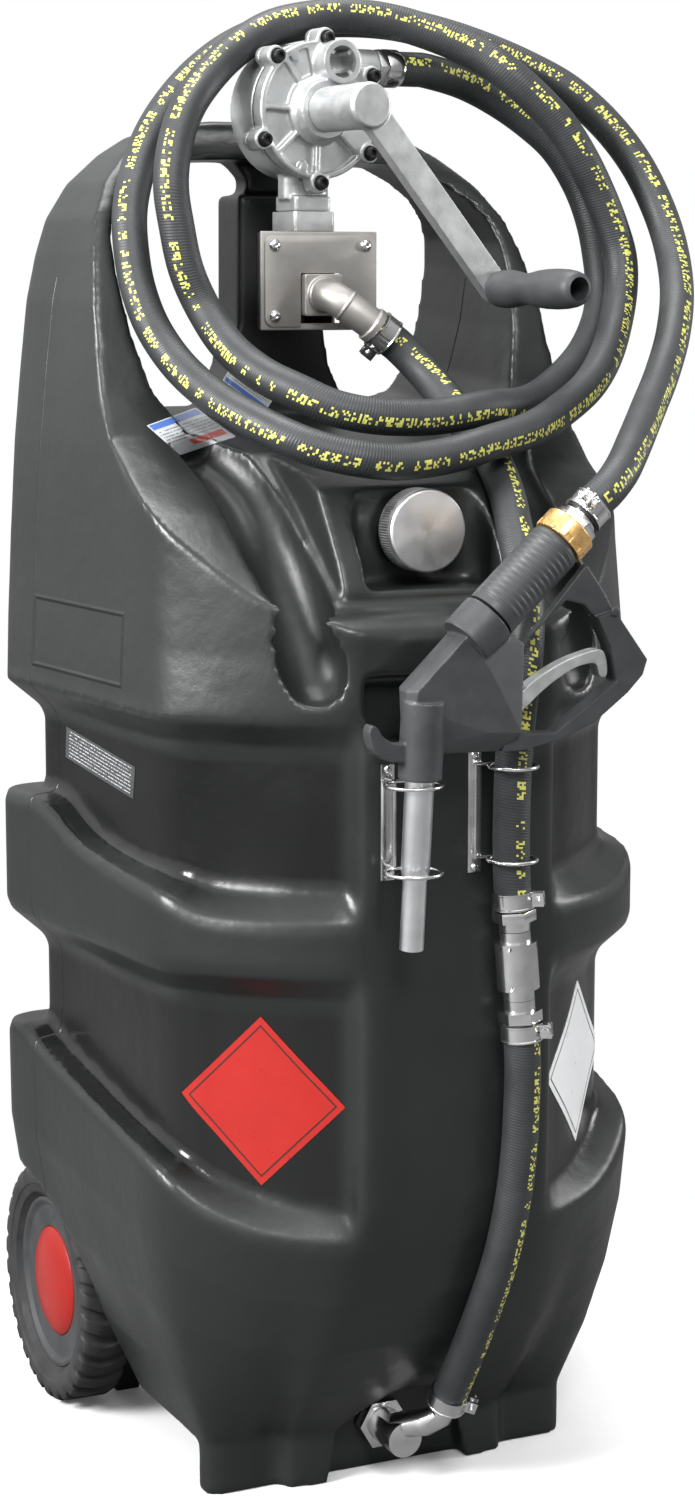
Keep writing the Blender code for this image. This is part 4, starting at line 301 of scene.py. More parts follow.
DELIVERY_ROUTE = (
    (0.0971, 0.0917, 1.2010), (0.112, 0.0933, 1.2011), (0.127, 0.0947, 1.2005), (0.165, 0.097, 1.192),
    (0.199, 0.092, 1.176), (0.228, 0.082, 1.155), (0.249, 0.072, 1.133), (0.266, 0.062, 1.101),
    (0.274, 0.052, 1.069), (0.277, 0.044, 1.036), (0.274, 0.034, 1.009), (0.262, 0.020, 0.982),
    (0.232, -0.004, 0.952), (0.180, -0.044, 0.926), (0.130, -0.084, 0.914), (0.077, -0.118, 0.913),
    (0.024, -0.128, 0.907), (-0.025, -0.130, 0.908), (-0.062, -0.120, 0.915), (-0.087, -0.100, 0.928),
    (-0.104, -0.065, 0.942), (-0.1155, -0.025, 0.9635), (-0.124, 0.006, 0.993), (-0.137, 0.013, 1.026),
    (-0.144, 0.016, 1.062), (-0.147, 0.020, 1.095), (-0.139, 0.030, 1.128), (-0.122, 0.046, 1.158),
    (-0.097, 0.064, 1.184), (-0.066, 0.079, 1.209), (-0.028, 0.0865, 1.231), (0.012, 0.0875, 1.241),
    (0.051, 0.0865, 1.244), (0.088, 0.080, 1.240), (0.122, 0.066, 1.229), (0.155, 0.049, 1.213),
    (0.177, 0.033, 1.195), (0.200, 0.024, 1.174), (0.221, 0.017, 1.151), (0.238, 0.012, 1.125),
    (0.254, 0.009, 1.095), (0.267, 0.006, 1.064), (0.273, 0.000, 1.034), (0.264, -0.014, 0.999),
    (0.236, -0.044, 0.959), (0.199, -0.078, 0.931), (0.157, -0.108, 0.912), (0.109, -0.138, 0.896),
    (0.060, -0.154, 0.886), (0.020, -0.158, 0.877), (-0.023, -0.158, 0.873), (-0.061, -0.154, 0.877),
    (-0.094, -0.138, 0.886), (-0.120, -0.108, 0.901), (-0.139, -0.066, 0.919), (-0.156, -0.026, 0.944),
    (-0.167, 0.008, 0.975), (-0.173, 0.028, 1.007), (-0.174, 0.042, 1.040), (-0.169, 0.058, 1.074),
    (-0.155, 0.076, 1.107), (-0.135, 0.094, 1.139), (-0.110, 0.108, 1.168), (-0.081, 0.115, 1.195),
    (-0.046, 0.119, 1.218), (-0.003, 0.120, 1.235), (0.044, 0.119, 1.243), (0.096, 0.115, 1.243),
    (0.142, 0.108, 1.235), (0.182, 0.098, 1.223), (0.222, 0.084, 1.206), (0.257, 0.068, 1.185),
    (0.286, 0.050, 1.155), (0.305, 0.030, 1.121), (0.314, 0.006, 1.082), (0.314, -0.018, 1.045),
    (0.302, -0.048, 1.008), (0.276, -0.085, 0.972), (0.241, -0.125, 0.939), (0.199, -0.172, 0.911),
    (0.157, -0.222, 0.888), (0.127, -0.254, 0.869), (0.1075, -0.2665, 0.855), (0.0945, -0.268, 0.845),
    (0.0816, -0.268, 0.8331))
for title, route in (("suction", SUCTION_ROUTE), ("outlet", OUTLET_ROUTE), ("delivery", DELIVERY_ROUTE)):
    print(title, "hose", round(even_steps(route, 0.01)[1], 3), "m")

# %% [markdown]
# Rubber is dark, and what shows it is a broad dull sheen. The hose is wrapped in cloth while it cures,
# and the cloth leaves a fine slanted rib. The yellow line is printed along one side: it is made of
# small yellow dashes in four rows, from steps of the map's length, and chance leaves some of them out.

# %% Finish of the hoses
rubber = finish("hose_rubber", (0.021, 0.0225, 0.0235), 0.5, Specular_IOR_Level=0.45)
across, lengthwise, _ = made(rubber, "SeparateXYZ", {0: made(rubber, "TexCoord").outputs["UV"]}).outputs
wrap = arithmetic(
    rubber, "SINE",
    arithmetic(
        rubber, "ADD", arithmetic(rubber, "MULTIPLY", lengthwise, 2600.0),
        arithmetic(rubber, "MULTIPLY", across, 31.416)))
relief(rubber, wrap, 0.00006)
relief(rubber, cloudy(rubber, 0.012), 0.0003)
feed(rubber, "Roughness", spread(rubber, cloudy(rubber, 0.05), 0.42, 0.6))
column_at = arithmetic(
    rubber, "ADD", arithmetic(rubber, "MULTIPLY", lengthwise, 1 / 0.0016),
    arithmetic(rubber, "MULTIPLY", across, 6.0))
column_number = arithmetic(rubber, "FLOOR", column_at)
row_at = arithmetic(rubber, "MULTIPLY", arithmetic(rubber, "SUBTRACT", across, 0.458), 1 / 0.021)
both = made(rubber, "CombineXYZ", {0: column_number, 1: arithmetic(rubber, "FLOOR", row_at)}).outputs[0]
chance = made(rubber, "TexWhiteNoise", {"Vector": both}, noise_dimensions="2D").outputs["Value"]
inked = arithmetic(rubber, "LESS_THAN", chance, 0.46)
letter_at = arithmetic(rubber, "FRACT", arithmetic(rubber, "MULTIPLY", column_number, 0.2))
apart = arithmetic(rubber, "GREATER_THAN", letter_at, 0.1)
word = made(
    rubber, "TexWhiteNoise",
    {"W": arithmetic(rubber, "FLOOR", arithmetic(rubber, "MULTIPLY", column_number, 0.2))},
    noise_dimensions="1D")
kept = arithmetic(rubber, "GREATER_THAN", word.outputs["Value"], 0.14)
band = arithmetic(
    rubber, "LESS_THAN", arithmetic(rubber, "ABSOLUTE", arithmetic(rubber, "SUBTRACT", across, 0.5)), 0.042)
printed = inked
for share in (apart, kept, band):
    printed = arithmetic(rubber, "MULTIPLY", printed, share)
dusty = blended(rubber, cloudy(rubber, 0.03, 4.0), (0.018, 0.0195, 0.0205), (0.028, 0.030, 0.0315))
ink = made(rubber, "MixRGB", {0: printed, 1: dusty, 2: (0.52, 0.52, 0.11, 1)})
feed(rubber, "Base Color", ink.outputs[0])
print("hose finish ready")

# %% [markdown]
# Each hose is a tube of round rings at its even steps. Its map starts on the side that looks at the
# camera, so the printed line shows, and it leans a little, as a real hose twists. A second tool makes
# an object of a shape, and gives it the body of a CAD solid, and by default its place.

# %% Hoses
def tube(route, radius, spacing, lean, centre=None, sides=24):
    """A round tube with its map, whose printed side looks at the camera and leans a little."""
    even, length = even_steps(route, spacing)
    shape = bmesh.new()
    layer = shape.loops.layers.uv.new("length_map")
    rings = []
    for index, point in enumerate(even):
        tangent = (even[min(index + 1, len(even) - 1)] - even[max(index - 1, 0)]).normalized()
        look = (camera_place - point).normalized() + Vector(lean)
        if centre is not None:
            look += 0.45 * (point - Vector(centre)).normalized()
        side = (look - tangent * look.dot(tangent)).normalized()
        other = tangent.cross(side)
        turns = [math.tau * step / sides + math.pi for step in range(sides)]
        rings.append([
            shape.verts.new(point + radius * (math.cos(a) * side + math.sin(a) * other)) for a in turns])
    step_length = length / (len(even) - 1)
    for index, (low, high) in enumerate(zip(rings, rings[1:])):
        for step in range(sides):
            after = (step + 1) % sides
            face = shape.faces.new((low[step], low[after], high[after], high[step]))
            places = ((step, index), (step + 1, index), (step + 1, index + 1), (step, index + 1))
            for loop, (turn, row) in zip(face.loops, places):
                loop[layer].uv = (turn / sides, row * step_length)
    shape.faces.new(rings[0][::-1])
    shape.faces.new(rings[-1])
    bmesh.ops.recalc_face_normals(shape, faces=shape.faces)
    return shape, even, length


def add(name, shape, material, node, instead=True, sharp=35):
    """An object that rides with a solid, and by default stands for it."""
    mesh = bpy.data.meshes.new(name)
    shape.to_mesh(mesh)
    shape.free()
    mesh.materials.append(material)
    mesh.shade_smooth()
    mesh.set_sharp_from_angle(angle=math.radians(sharp))
    item = bpy.data.objects.new(name, mesh)
    bpy.context.scene.collection.objects.link(item)
    nodes = [node] if isinstance(node, str) else list(node)
    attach(item, body_of[nodes[0]])
    if instead:
        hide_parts(*nodes)
    return item


HOSE_STEP = 0.006
suction_shape, _, _ = tube(SUCTION_ROUTE, HOSE_RADIUS, HOSE_STEP, (0.5, 0, 0))
add("suction_tube", suction_shape, rubber, "suction_hose")
outlet_shape, _, _ = tube(OUTLET_ROUTE, HOSE_RADIUS, HOSE_STEP, (0.9, 0, 0))
add("outlet_tube", outlet_shape, rubber, "outlet_hose")
delivery_shape, delivery_line, delivery_length = tube(
    DELIVERY_ROUTE, HOSE_RADIUS, HOSE_STEP, (0, 0, 0), (0.05, 0, 1.06))
delivery_tube = add("delivery_tube", delivery_shape, rubber, "delivery_hose")
print("delivery hose", round(delivery_length, 3), "m in", len(delivery_line), "steps")

# %% [markdown]
# ## Tools for shapes
# Most pieces of the caddy are turned, pulled along a line or skinned over a row of sections, so three
# small builders make nearly all of them. Solids are cut and joined with exact Booleans. Cast and
# moulded pieces have no sharp edge anywhere: filling the shape with small cubes and smoothing the
# skin of that rounds every edge at once, inside corners too, as a mould does.

# %% Turned and skinned solids
def lathe(profile, segments=64, phase=0.0):
    """Turned solid about Z from a profile of radius and height, from axis to axis or closed."""
    segments = segments if segments <= 6 else max(48, segments)
    shape = bmesh.new()
    rings = []
    for radius, height in profile:
        if radius == 0:
            rings.append([shape.verts.new((0, 0, height))])
            continue
        turns = [phase + math.tau * step / segments for step in range(segments)]
        rings.append([shape.verts.new((radius * math.cos(a), radius * math.sin(a), height)) for a in turns])
    pairs = list(zip(rings, rings[1:]))
    if profile[0][0] > 0:
        pairs.append((rings[-1], rings[0]))
    for low, high in pairs:
        for step in range(segments):
            after = (step + 1) % segments
            quad = (
                low[step % len(low)], low[after % len(low)], high[after % len(high)], high[step % len(high)])
            corners = list(dict.fromkeys(quad))
            if len(corners) > 2:
                shape.faces.new(corners)
    bmesh.ops.recalc_face_normals(shape, faces=shape.faces)
    return shape


def disc(radius, low, high, segments=64):
    return lathe([(0, low), (radius, low), (radius, high), (0, high)], segments)


def ring(inner, outer, low, high, segments=64):
    return lathe([(inner, low), (outer, low), (outer, high), (inner, high)], segments)


def hexagon(across_corners, low, high, bore=0.0):
    solid = disc(across_corners / 2, low, high, 6)
    return cut(solid, disc(bore, low - OVERRUN, high + OVERRUN)) if bore else solid


def skin(rings, closed=False):
    """Solid skinned over rings of equal counts, capped at both ends unless closed."""
    shape = bmesh.new()
    loops = [[shape.verts.new(point) for point in points] for points in rings]
    pairs = list(zip(loops, loops[1:]))
    if closed:
        pairs.append((loops[-1], loops[0]))
    count = len(loops[0])
    for low, high in pairs:
        for step in range(count):
            after = (step + 1) % count
            shape.faces.new((low[step], low[after], high[after], high[step]))
    if not closed:
        shape.faces.new(loops[0])
        shape.faces.new(loops[-1])
    bmesh.ops.recalc_face_normals(shape, faces=shape.faces)
    return shape


def prism(outline, low, high):
    """Outline in X and Y, pulled up along Z."""
    return skin([[(x, y, low) for x, y in outline], [(x, y, high) for x, y in outline]])


def block(low, high):
    (x0, y0, z0), (x1, y1, z1) = low, high
    return prism([(x0, y0), (x1, y0), (x1, y1), (x0, y1)], z0, z1)


def rounded(half_x, half_y, radius, steps=8):
    """Rectangle outline with round corners."""
    steps = max(6, steps)
    points = []
    for quarter, (sx, sy) in enumerate(((1, 1), (-1, 1), (-1, -1), (1, -1))):
        for step in range(steps + 1):
            angle = math.radians(90) * (quarter + step / steps)
            points.append((
                sx * (half_x - radius) + radius * math.cos(angle),
                sy * (half_y - radius) + radius * math.sin(angle)))
    return points


print("turned and skinned solids ready")

# %% [markdown]
# A shape is built flat on the floor and then turned to where it belongs. A bar is swept along a line:
# its rings are square to the line, and each takes its side from the one before, so it doesn't twist.

# %% Moves and swept bars
def moved(shape, matrix):
    shape.transform(matrix)
    return shape


def shifted(shape, x=0.0, y=0.0, z=0.0):
    return moved(shape, Matrix.Translation((x, y, z)))


def sideways(shape):
    """Turns a shape so that its Z runs along +X, its X along +Y and its Y along +Z."""
    return moved(shape, Matrix(((0, 0, 1, 0), (1, 0, 0, 0), (0, 1, 0, 0), (0, 0, 0, 1))))


def frontways(shape):
    """Turns a shape so that its Z runs along -Y and its Y along +Z."""
    return moved(shape, Matrix(((1, 0, 0, 0), (0, 0, -1, 0), (0, 1, 0, 0), (0, 0, 0, 1))))


def along(origin, axis):
    """Matrix that puts local Z along the axis, at the origin."""
    turn = Vector(axis).normalized().to_track_quat("Z", "Y").to_matrix().to_4x4()
    return Matrix.Translation(origin) @ turn


def sweep(points, radii, sides=20):
    """Round bar along points, with one radius or one for each point."""
    sides = max(16, sides)
    points = [Vector(point) for point in points]
    if not isinstance(radii, (list, tuple)):
        radii = [radii] * len(points)
    rings = []
    side = None
    for index, point in enumerate(points):
        tangent = (points[min(index + 1, len(points) - 1)] - points[max(index - 1, 0)]).normalized()
        if side is None:
            side = tangent.orthogonal().normalized()
        side = (side - tangent * side.dot(tangent)).normalized()
        other = tangent.cross(side)
        turns = [math.tau * step / sides for step in range(sides)]
        rings.append([point + radii[index] * (math.cos(a) * side + math.sin(a) * other) for a in turns])
    return skin(rings)


print("moves and swept bars ready")

# %% [markdown]
# Modifiers do the heavy work: a boolean cuts or joins, a bevel rounds machined edges, and a remesh of
# small cubes with smoothing rounds moulded ones. The last tool puts a piece in the place of its solid.

# %% Cuts, joints and edges
def through_modifiers(shape, *modifiers):
    """The shape that a stack of modifiers makes of a shape. Each one is a kind and its settings."""
    mesh = bpy.data.meshes.new("work")
    shape.to_mesh(mesh)
    shape.free()
    item = bpy.data.objects.new("work", mesh)
    bpy.context.scene.collection.objects.link(item)
    others = []
    for kind, settings in modifiers:
        modifier = item.modifiers.new(kind, kind)
        for key, value in settings.items():
            if isinstance(value, bmesh.types.BMesh):
                tool_mesh = bpy.data.meshes.new("tool")
                value.to_mesh(tool_mesh)
                value.free()
                value = bpy.data.objects.new("tool", tool_mesh)
                bpy.context.scene.collection.objects.link(value)
                others.append(value)
            setattr(modifier, key, value)
    result = bmesh.new()
    result.from_object(item, bpy.context.evaluated_depsgraph_get())
    for spare in [item, *others]:
        bpy.data.objects.remove(spare, do_unlink=True)
    return result


def cut(body, *tools):
    for tool in tools:
        body = through_modifiers(
            body, ("BOOLEAN", {"operation": "DIFFERENCE", "solver": "EXACT", "object": tool}))
    return body


def fuse(body, *tools):
    for tool in tools:
        body = through_modifiers(body, ("BOOLEAN", {"operation": "UNION", "solver": "EXACT", "object": tool}))
    return body


def moulded(shape, cube, passes):
    """Rounds every edge: the shape is filled with small cubes and their skin is smoothed."""
    return through_modifiers(
        shape, ("REMESH", {"mode": "VOXEL", "voxel_size": cube}),
        ("SMOOTH", {"factor": 0.5, "iterations": passes}))


def eased(shape, width, segments=2, angle=30):
    """Rounds the sharp outer edges of a machined solid."""
    return through_modifiers(
        shape,
        (
            "BEVEL",
            {
                "width": width, "segments": segments, "limit_method": "ANGLE",
                "angle_limit": math.radians(angle), "use_clamp_overlap": True}))


def mirrored(shape):
    copy = shape.copy()
    copy.transform(Matrix.Diagonal((-1, 1, 1, 1)))
    bmesh.ops.reverse_faces(copy, faces=copy.faces)
    return copy


def dress(name, shape, material, place=None, ease=0.0005, soft=None, instead=True):
    """A piece that stands for the solid of the same name, with eased or moulded edges."""
    if soft:
        shape = moulded(shape, *soft)
    elif ease:
        shape = eased(shape, ease)
    if place is not None:
        shape.transform(place)
    return add("dressed_" + name, shape, material, name, instead, 40)


print("tools for shapes ready")

# %% [markdown]
# ## The tank
# The tank is spun in a heated mould: its wall is one skin with soft ridges, raised bands and recessed
# panels. A table gives the half plan of the tank, a second how each point moves where a panel is
# recessed, and a third its plan at the foot. Between the points of the tables the skin is drawn with
# a smooth curve, many steps to each, so that the plan shows no corners.

# %% Sizes
GAP = 0.0003
OVERRUN = 0.02
TANK_HEIGHT = 1.155
TANK_HALF_WIDTH = 0.251
TANK_FRONT = -0.222
TANK_REAR = 0.186
RECESS_DEPTH = 0.028
SHOULDER_HEIGHT = 0.420
SPINE_TOP = TANK_HEIGHT - SHOULDER_HEIGHT
FOOT_TOP = 0.045
CHIN_TOP_SHARE = 0.408
LOWER_RIDGE_SHARE = 0.336
LOWER_RISE_SHARE = 0.162
MIDDLE_BAND_SHARE = 0.6054
UPPER_RIDGE_SHARE = 0.6966
UPPER_RISE_SHARE = 0.0857
UPPER_BAND_SHARE = 0.8844
CHIN_TOP = SPINE_TOP * CHIN_TOP_SHARE
LOWER_RIDGE_Z = SPINE_TOP * LOWER_RIDGE_SHARE
LOWER_RIDGE_RISE = SPINE_TOP * LOWER_RISE_SHARE
MIDDLE_BAND_Z = SPINE_TOP * MIDDLE_BAND_SHARE
UPPER_RIDGE_Z = SPINE_TOP * UPPER_RIDGE_SHARE
UPPER_RIDGE_RISE = SPINE_TOP * UPPER_RISE_SHARE
UPPER_BAND_Z = SPINE_TOP * UPPER_BAND_SHARE
SHELF_RISE = 0.022
BAND_CHAMFER = 0.022
RIDGE_FILLET = 0.010
SHOULDER_PUSH = 0.035
BASE_HALF_WIDTH = 0.172
FOOT_REAR = -0.076
SIDE_UNDERSIDE = 0.042
KEEL_HALF_WIDTH = 0.100
LEG_FRONT = 0.163
LEG_INNER_X = 0.130
BAR_HEIGHT = 0.034
BAR_UNDERSIDE = TANK_HEIGHT - BAR_HEIGHT
BOWL_DEPTH = 0.256
BOWL_FALL = 0.037
BOWL_FLOOR_REAR = TANK_HEIGHT - BOWL_DEPTH
BOWL_FLOOR_FRONT = BOWL_FLOOR_REAR - BOWL_FALL
BOWL_HALF_WIDTH = 0.188
BOWL_FRONT = -0.044
HANDLE_FRONT = 0.128
COLUMN_HALF_WIDTH = 0.040
NECK_LENGTH = 0.029
COLUMN_TOP = BAR_UNDERSIDE - NECK_LENGTH
COLUMN_FRONT = 0.125
NECK_HALF_WIDTH = 0.024
NOSE_HALF_WIDTH = 0.085
NOSE_FRONT = -0.182
NOSE_BACK = -0.132
ALCOVE_HALF_WIDTH = 0.062
ALCOVE_RISE = 0.037
ALCOVE_FLOOR = SPINE_TOP + ALCOVE_RISE
CHANNEL_RADIUS = 0.028
WHEEL_RADIUS = 0.1088
WHEEL_Y = 0.183
WHEEL_OUTER_X = 0.2178
TYRE_WIDTH = 0.048
AXLE_RADIUS = 0.010
WELL_INNER_X = 0.155
WELL_CLEARANCE = 0.015
CAP_RISE = 0.045
CAP_Z = ALCOVE_FLOOR + CAP_RISE
CAP_RADIUS = 0.034
CAP_DEPTH = 0.024
NECK_BORE_RADIUS = 0.021
NECK_RADIUS = 0.0255
PUMP_Y = 0.075
PUMP_RISE = 0.006
PUMP_Z = TANK_HEIGHT + PUMP_RISE
PUMP_TURN = math.radians(6)
PUMP_RADIUS = 0.058
PUMP_REAR = 0.028
PUMP_SPLIT = -0.010
PUMP_FACE = -0.024
ROTOR_RADIUS = 0.036
VANE_REACH = 0.0415
CHAMBER_RADIUS = 0.047
CHAMBER_OFFSET = 0.005
SHAFT_RADIUS = 0.008
CRANK_THROW = 0.200
CRANK_WIDTH = 0.024
CRANK_THICKNESS = 0.012
CRANK_HUB_RADIUS = 0.0195
CRANK_REST = math.radians(-49)
HUB_FRONT = -0.111
GRIP_LENGTH = 0.118
GRIP_RADIUS = 0.0165
BRACKET_FRONT = 0.045
BRACKET_HALF_WIDTH = 0.055
BRACKET_DROP = 0.102
BRACKET_HEIGHT = 0.084
BRACKET_HIGH = PUMP_Z - BRACKET_DROP
BRACKET_LOW = BRACKET_HIGH - BRACKET_HEIGHT
SHEET = 0.003
ELBOW_DROP = 0.054
ELBOW_Z = BRACKET_HIGH - ELBOW_DROP
ELBOW_BLOCK = 0.0155
ELBOW_FACE = 0.036
CLAMP_LENGTH = 0.014
NOZZLE_X = -0.059
NOZZLE_Y = -0.268
NOZZLE_DROP = 0.087
NOZZLE_Z = SPINE_TOP - NOZZLE_DROP
NOZZLE_REACH = 0.200
NOZZLE_THICKNESS = 0.030
GUARD_THICKNESS = 0.018
SPOUT_RADIUS = 0.0115
NOTCH_HALF_WIDTH = 0.066
NOTCH_DEPTH = 0.020
NOTCH_TOP = 0.085
OUTLET_X = -0.010
OUTLET_Z = 0.041
OUTLET_RADIUS = 0.0125
POCKET_LEFT = -0.083
POCKET_RIGHT = 0.020
POCKET_DROP = 0.027
POCKET_HEIGHT = 0.056
POCKET_HIGH = SPINE_TOP - POCKET_DROP
POCKET_LOW = POCKET_HIGH - POCKET_HEIGHT
POCKET_DEPTH = 0.020
HOLDER_DROP = 0.014
HOLDER_HEIGHT = 0.076
HOLDER_HIGH = NOZZLE_Z - HOLDER_DROP
HOLDER_LOW = HOLDER_HIGH - HOLDER_HEIGHT
HOLDER_STRIP = 0.0015
HOLDER_WIRE = 0.0016
SPOUT_RING_X = -0.0605
SPOUT_RING_Y = -0.2585
SPOUT_RING_RADIUS = 0.0225
SPOUT_STRIP_X = -0.066
HOSE_RING_X = 0.0355
HOSE_RING_Y = -0.2445
HOSE_RING_RADIUS = 0.0195
HOSE_STRIP_X = 0.012
STICKER_SHARE = 0.505
DIAMOND_SIDE = (MIDDLE_BAND_Z - LOWER_RIDGE_Z) * STICKER_SHARE
DIAMOND_SHARE = 0.8045
DIAMOND_Z = MIDDLE_BAND_Z * DIAMOND_SHARE
TANK_DEPTH = TANK_REAR - TANK_FRONT

# %% [markdown]
# The tables hold shares of the tank's sizes and not lengths, so the plan follows when a size changes.
# A row is one point of the half plan, from the middle of the front round to the middle of the rear.
# The later tables say how the ridges rise across a panel and how the plan narrows up to the handle.

# %% Plan of the tank
BAND_SHARES = (
    (0, 0), (0.18, 0), (0.335, 0.002), (0.37, 0.006), (0.42, 0.017), (0.546, 0.059), (0.669, 0.113),
    (0.789, 0.181), (0.869, 0.240), (0.900, 0.299), (0.924, 0.446), (0.948, 0.618), (0.972, 0.789),
    (0.996, 0.900), (1, 0.949), (0.976, 0.980), (0.908, 1), (0.737, 1), (0.598, 1), (0.53, 1), (0, 1))
RECESS_SHARES = (
    (0, 0), (0, 0), (0, 0), (-0.05, 0.54), (-0.18, 0.66), (-0.46, 0.71), (-0.75, 0.68), (-0.89, 0.64),
    (-0.93, 0.50), (-0.96, 0.43), (-0.96, 0.29), (-1, 0.07), (-1, 0), (-1.04, -0.46), (-1.07, -0.79),
    (-1.18, -0.86), (-1.07, -1), (-0.3, -1), (0, -0.93), (0, 0), (0, 0))
BASE_SHARES = (
    (0, 0.267), (0.26, 0.267), (0.44, 0.269), (0.51, 0.270), (0.58, 0.277), (0.64, 0.306), (0.785, 0.304),
    (0.919, 0.306), (0.983, 0.319), (1, 0.348), (1, 0.470), (1, 0.622), (1, 0.789), (1, 0.900),
    (0.988, 0.949), (0.983, 0.980), (0.930, 1), (0.872, 1), (0.756, 1), (0.67, 1), (0, 1))
LOWER_RISE_SHARES = (0, 0, 0, 0, 0, 0.025, 0.084, 0.21, 0.378, 0.47, 0.597, 0.723, 0.866) + (1,) * 8
UPPER_RISE_SHARES = (0, 0, 0, 0, 0, 0, 0, 0.06, 0.25, 0.33, 0.44, 0.60, 0.98) + (1,) * 8
SHELF_SHARES = (1, 1, 1, 1, 1, 0.95, 0.9, 0.75, 0.5, 0.35, 0.1) + (0.08,) * 10
ARCH_SHARES = (
    (0.919, 0.984), (0.988, 0.976), (1.156, 0.960), (1.346, 0.940), (1.489, 0.916), (1.632, 0.888),
    (1.725, 0.853), (1.797, 0.813), (1.868, 0.735), (1.9285, 0.618), (1.9643, 0.518), (1.9882, 0.398),
    (2, 0.24))
PUSH_SHARES = ((0.911, 0), (0.988, 0.63), (1.175, 1), (2, 1))
print("plan of the tank with", len(BAND_SHARES), "points")

# %% [markdown]
# A level counts from the floor to the top of the spine and on to the top of the handle. Each ring of
# the tank is a row of points at its levels, joined by short smooth curves.

# %% Rings of the tank
def height_of(level):
    """Height of a level: 0 is the floor, 1 the top of the spine and 2 the top of the handle."""
    if level <= 1:
        return level * SPINE_TOP
    return SPINE_TOP + (level - 1) * SHOULDER_HEIGHT


def level_of(z):
    if z <= SPINE_TOP:
        return z / SPINE_TOP
    return 1 + (z - SPINE_TOP) / SHOULDER_HEIGHT


def between(table, value):
    """Straight-line reading of a table of pairs."""
    if value <= table[0][0]:
        return table[0][1]
    for (a, low), (b, high) in zip(table, table[1:]):
        if value <= b:
            return low + (high - low) * (value - a) / (b - a)
    return table[-1][1]


def tank_point(column, z, mask):
    """Point of the tank's skin: mask is 1 on the raised bands and 0 in the recessed panels."""
    x = BAND_SHARES[column][0] * TANK_HALF_WIDTH + RECESS_SHARES[column][0] * RECESS_DEPTH * (1 - mask)
    y = BAND_SHARES[column][1] * TANK_DEPTH + RECESS_SHARES[column][1] * RECESS_DEPTH * (1 - mask)
    chin = min(1, max(0, (CHIN_TOP - z) / (CHIN_TOP - FOOT_TOP))) ** 2
    x += (BASE_SHARES[column][0] * BASE_HALF_WIDTH - x) * chin
    y += (BASE_SHARES[column][1] * TANK_DEPTH - y) * chin
    level = level_of(z)
    if level > ARCH_SHARES[0][0]:
        y += SHOULDER_PUSH * between(PUSH_SHARES, level) * (x / TANK_HALF_WIDTH) ** 2 * (1 - y / TANK_DEPTH)
        x *= between(ARCH_SHARES, level)
    return x, TANK_FRONT + y, z


def tank_levels(column):
    """Heights and masks up one column of the skin."""
    lower = LOWER_RIDGE_Z + LOWER_RISE_SHARES[column] * LOWER_RIDGE_RISE
    upper = UPPER_RIDGE_Z + UPPER_RISE_SHARES[column] * UPPER_RIDGE_RISE
    shelf = SHELF_SHARES[column] * SHELF_RISE
    edge = lower - RIDGE_FILLET
    levels = [(0, 1)] + [(FOOT_TOP + (edge - FOOT_TOP) * share, 1) for share in (0, 0.25, 0.5, 0.75)]
    for ridge, band in ((lower, MIDDLE_BAND_Z), (upper, UPPER_BAND_Z)):
        levels += [
            (ridge - RIDGE_FILLET, 1), (ridge, 0.9), (ridge + shelf, 0.08), (ridge + shelf + RIDGE_FILLET, 0)]
        levels += [
            (band - RIDGE_FILLET, 0), (band, 0.12), (band + BAND_CHAMFER, 0.9),
            (band + BAND_CHAMFER + RIDGE_FILLET, 1)]
    levels += [(height_of(level), 1) for level, _ in ARCH_SHARES[1:]]
    return levels


def softened_row(points, steps):
    """A row of points with smooth steps between them, closed by the left half."""
    points = [Vector(point) for point in points]
    fine = []
    for index in range(len(points) - 1):
        b, c = points[index], points[index + 1]
        a = points[index - 1] if index else Vector((-c.x, c.y, c.z))
        d = points[index + 2] if index + 2 < len(points) else Vector((-b.x, b.y, b.z))
        near, gap, far = ((q - p).length ** 0.5 + 1e-6 for p, q in ((a, b), (b, c), (c, d)))
        out = (c - b) / gap - (c - a) / (near + gap) + (b - a) / near
        back = (d - c) / far - (d - b) / (gap + far) + (c - b) / gap
        fine += interpolate_bezier(b, b + out * gap / 3, c - back * gap / 3, c, steps + 1)[:-1]
    fine.append(points[-1])
    return fine + [Vector((-p.x, p.y, p.z)) for p in fine[-2:0:-1]]


def tank_rings(steps=5):
    """Closed rings of the skin, from the floor to the top of the handle."""
    columns = [
        [tank_point(column, z, mask) for z, mask in tank_levels(column)]
        for column in range(len(BAND_SHARES))]
    return [softened_row(row, steps) for row in zip(*columns)]


print(len(tank_rings()), "rings of", len(tank_rings()[0]), "points")

# %% [markdown]
# The upper part of the tank isn't a simple stack of rings: the shoulders slope back to the handle, a
# bowl is sunk between two wings, a post carries the pump, and a nose stands out behind the filler cap.
# Each is one tool that cuts or joins, in the order in which the shapes lie on each other.

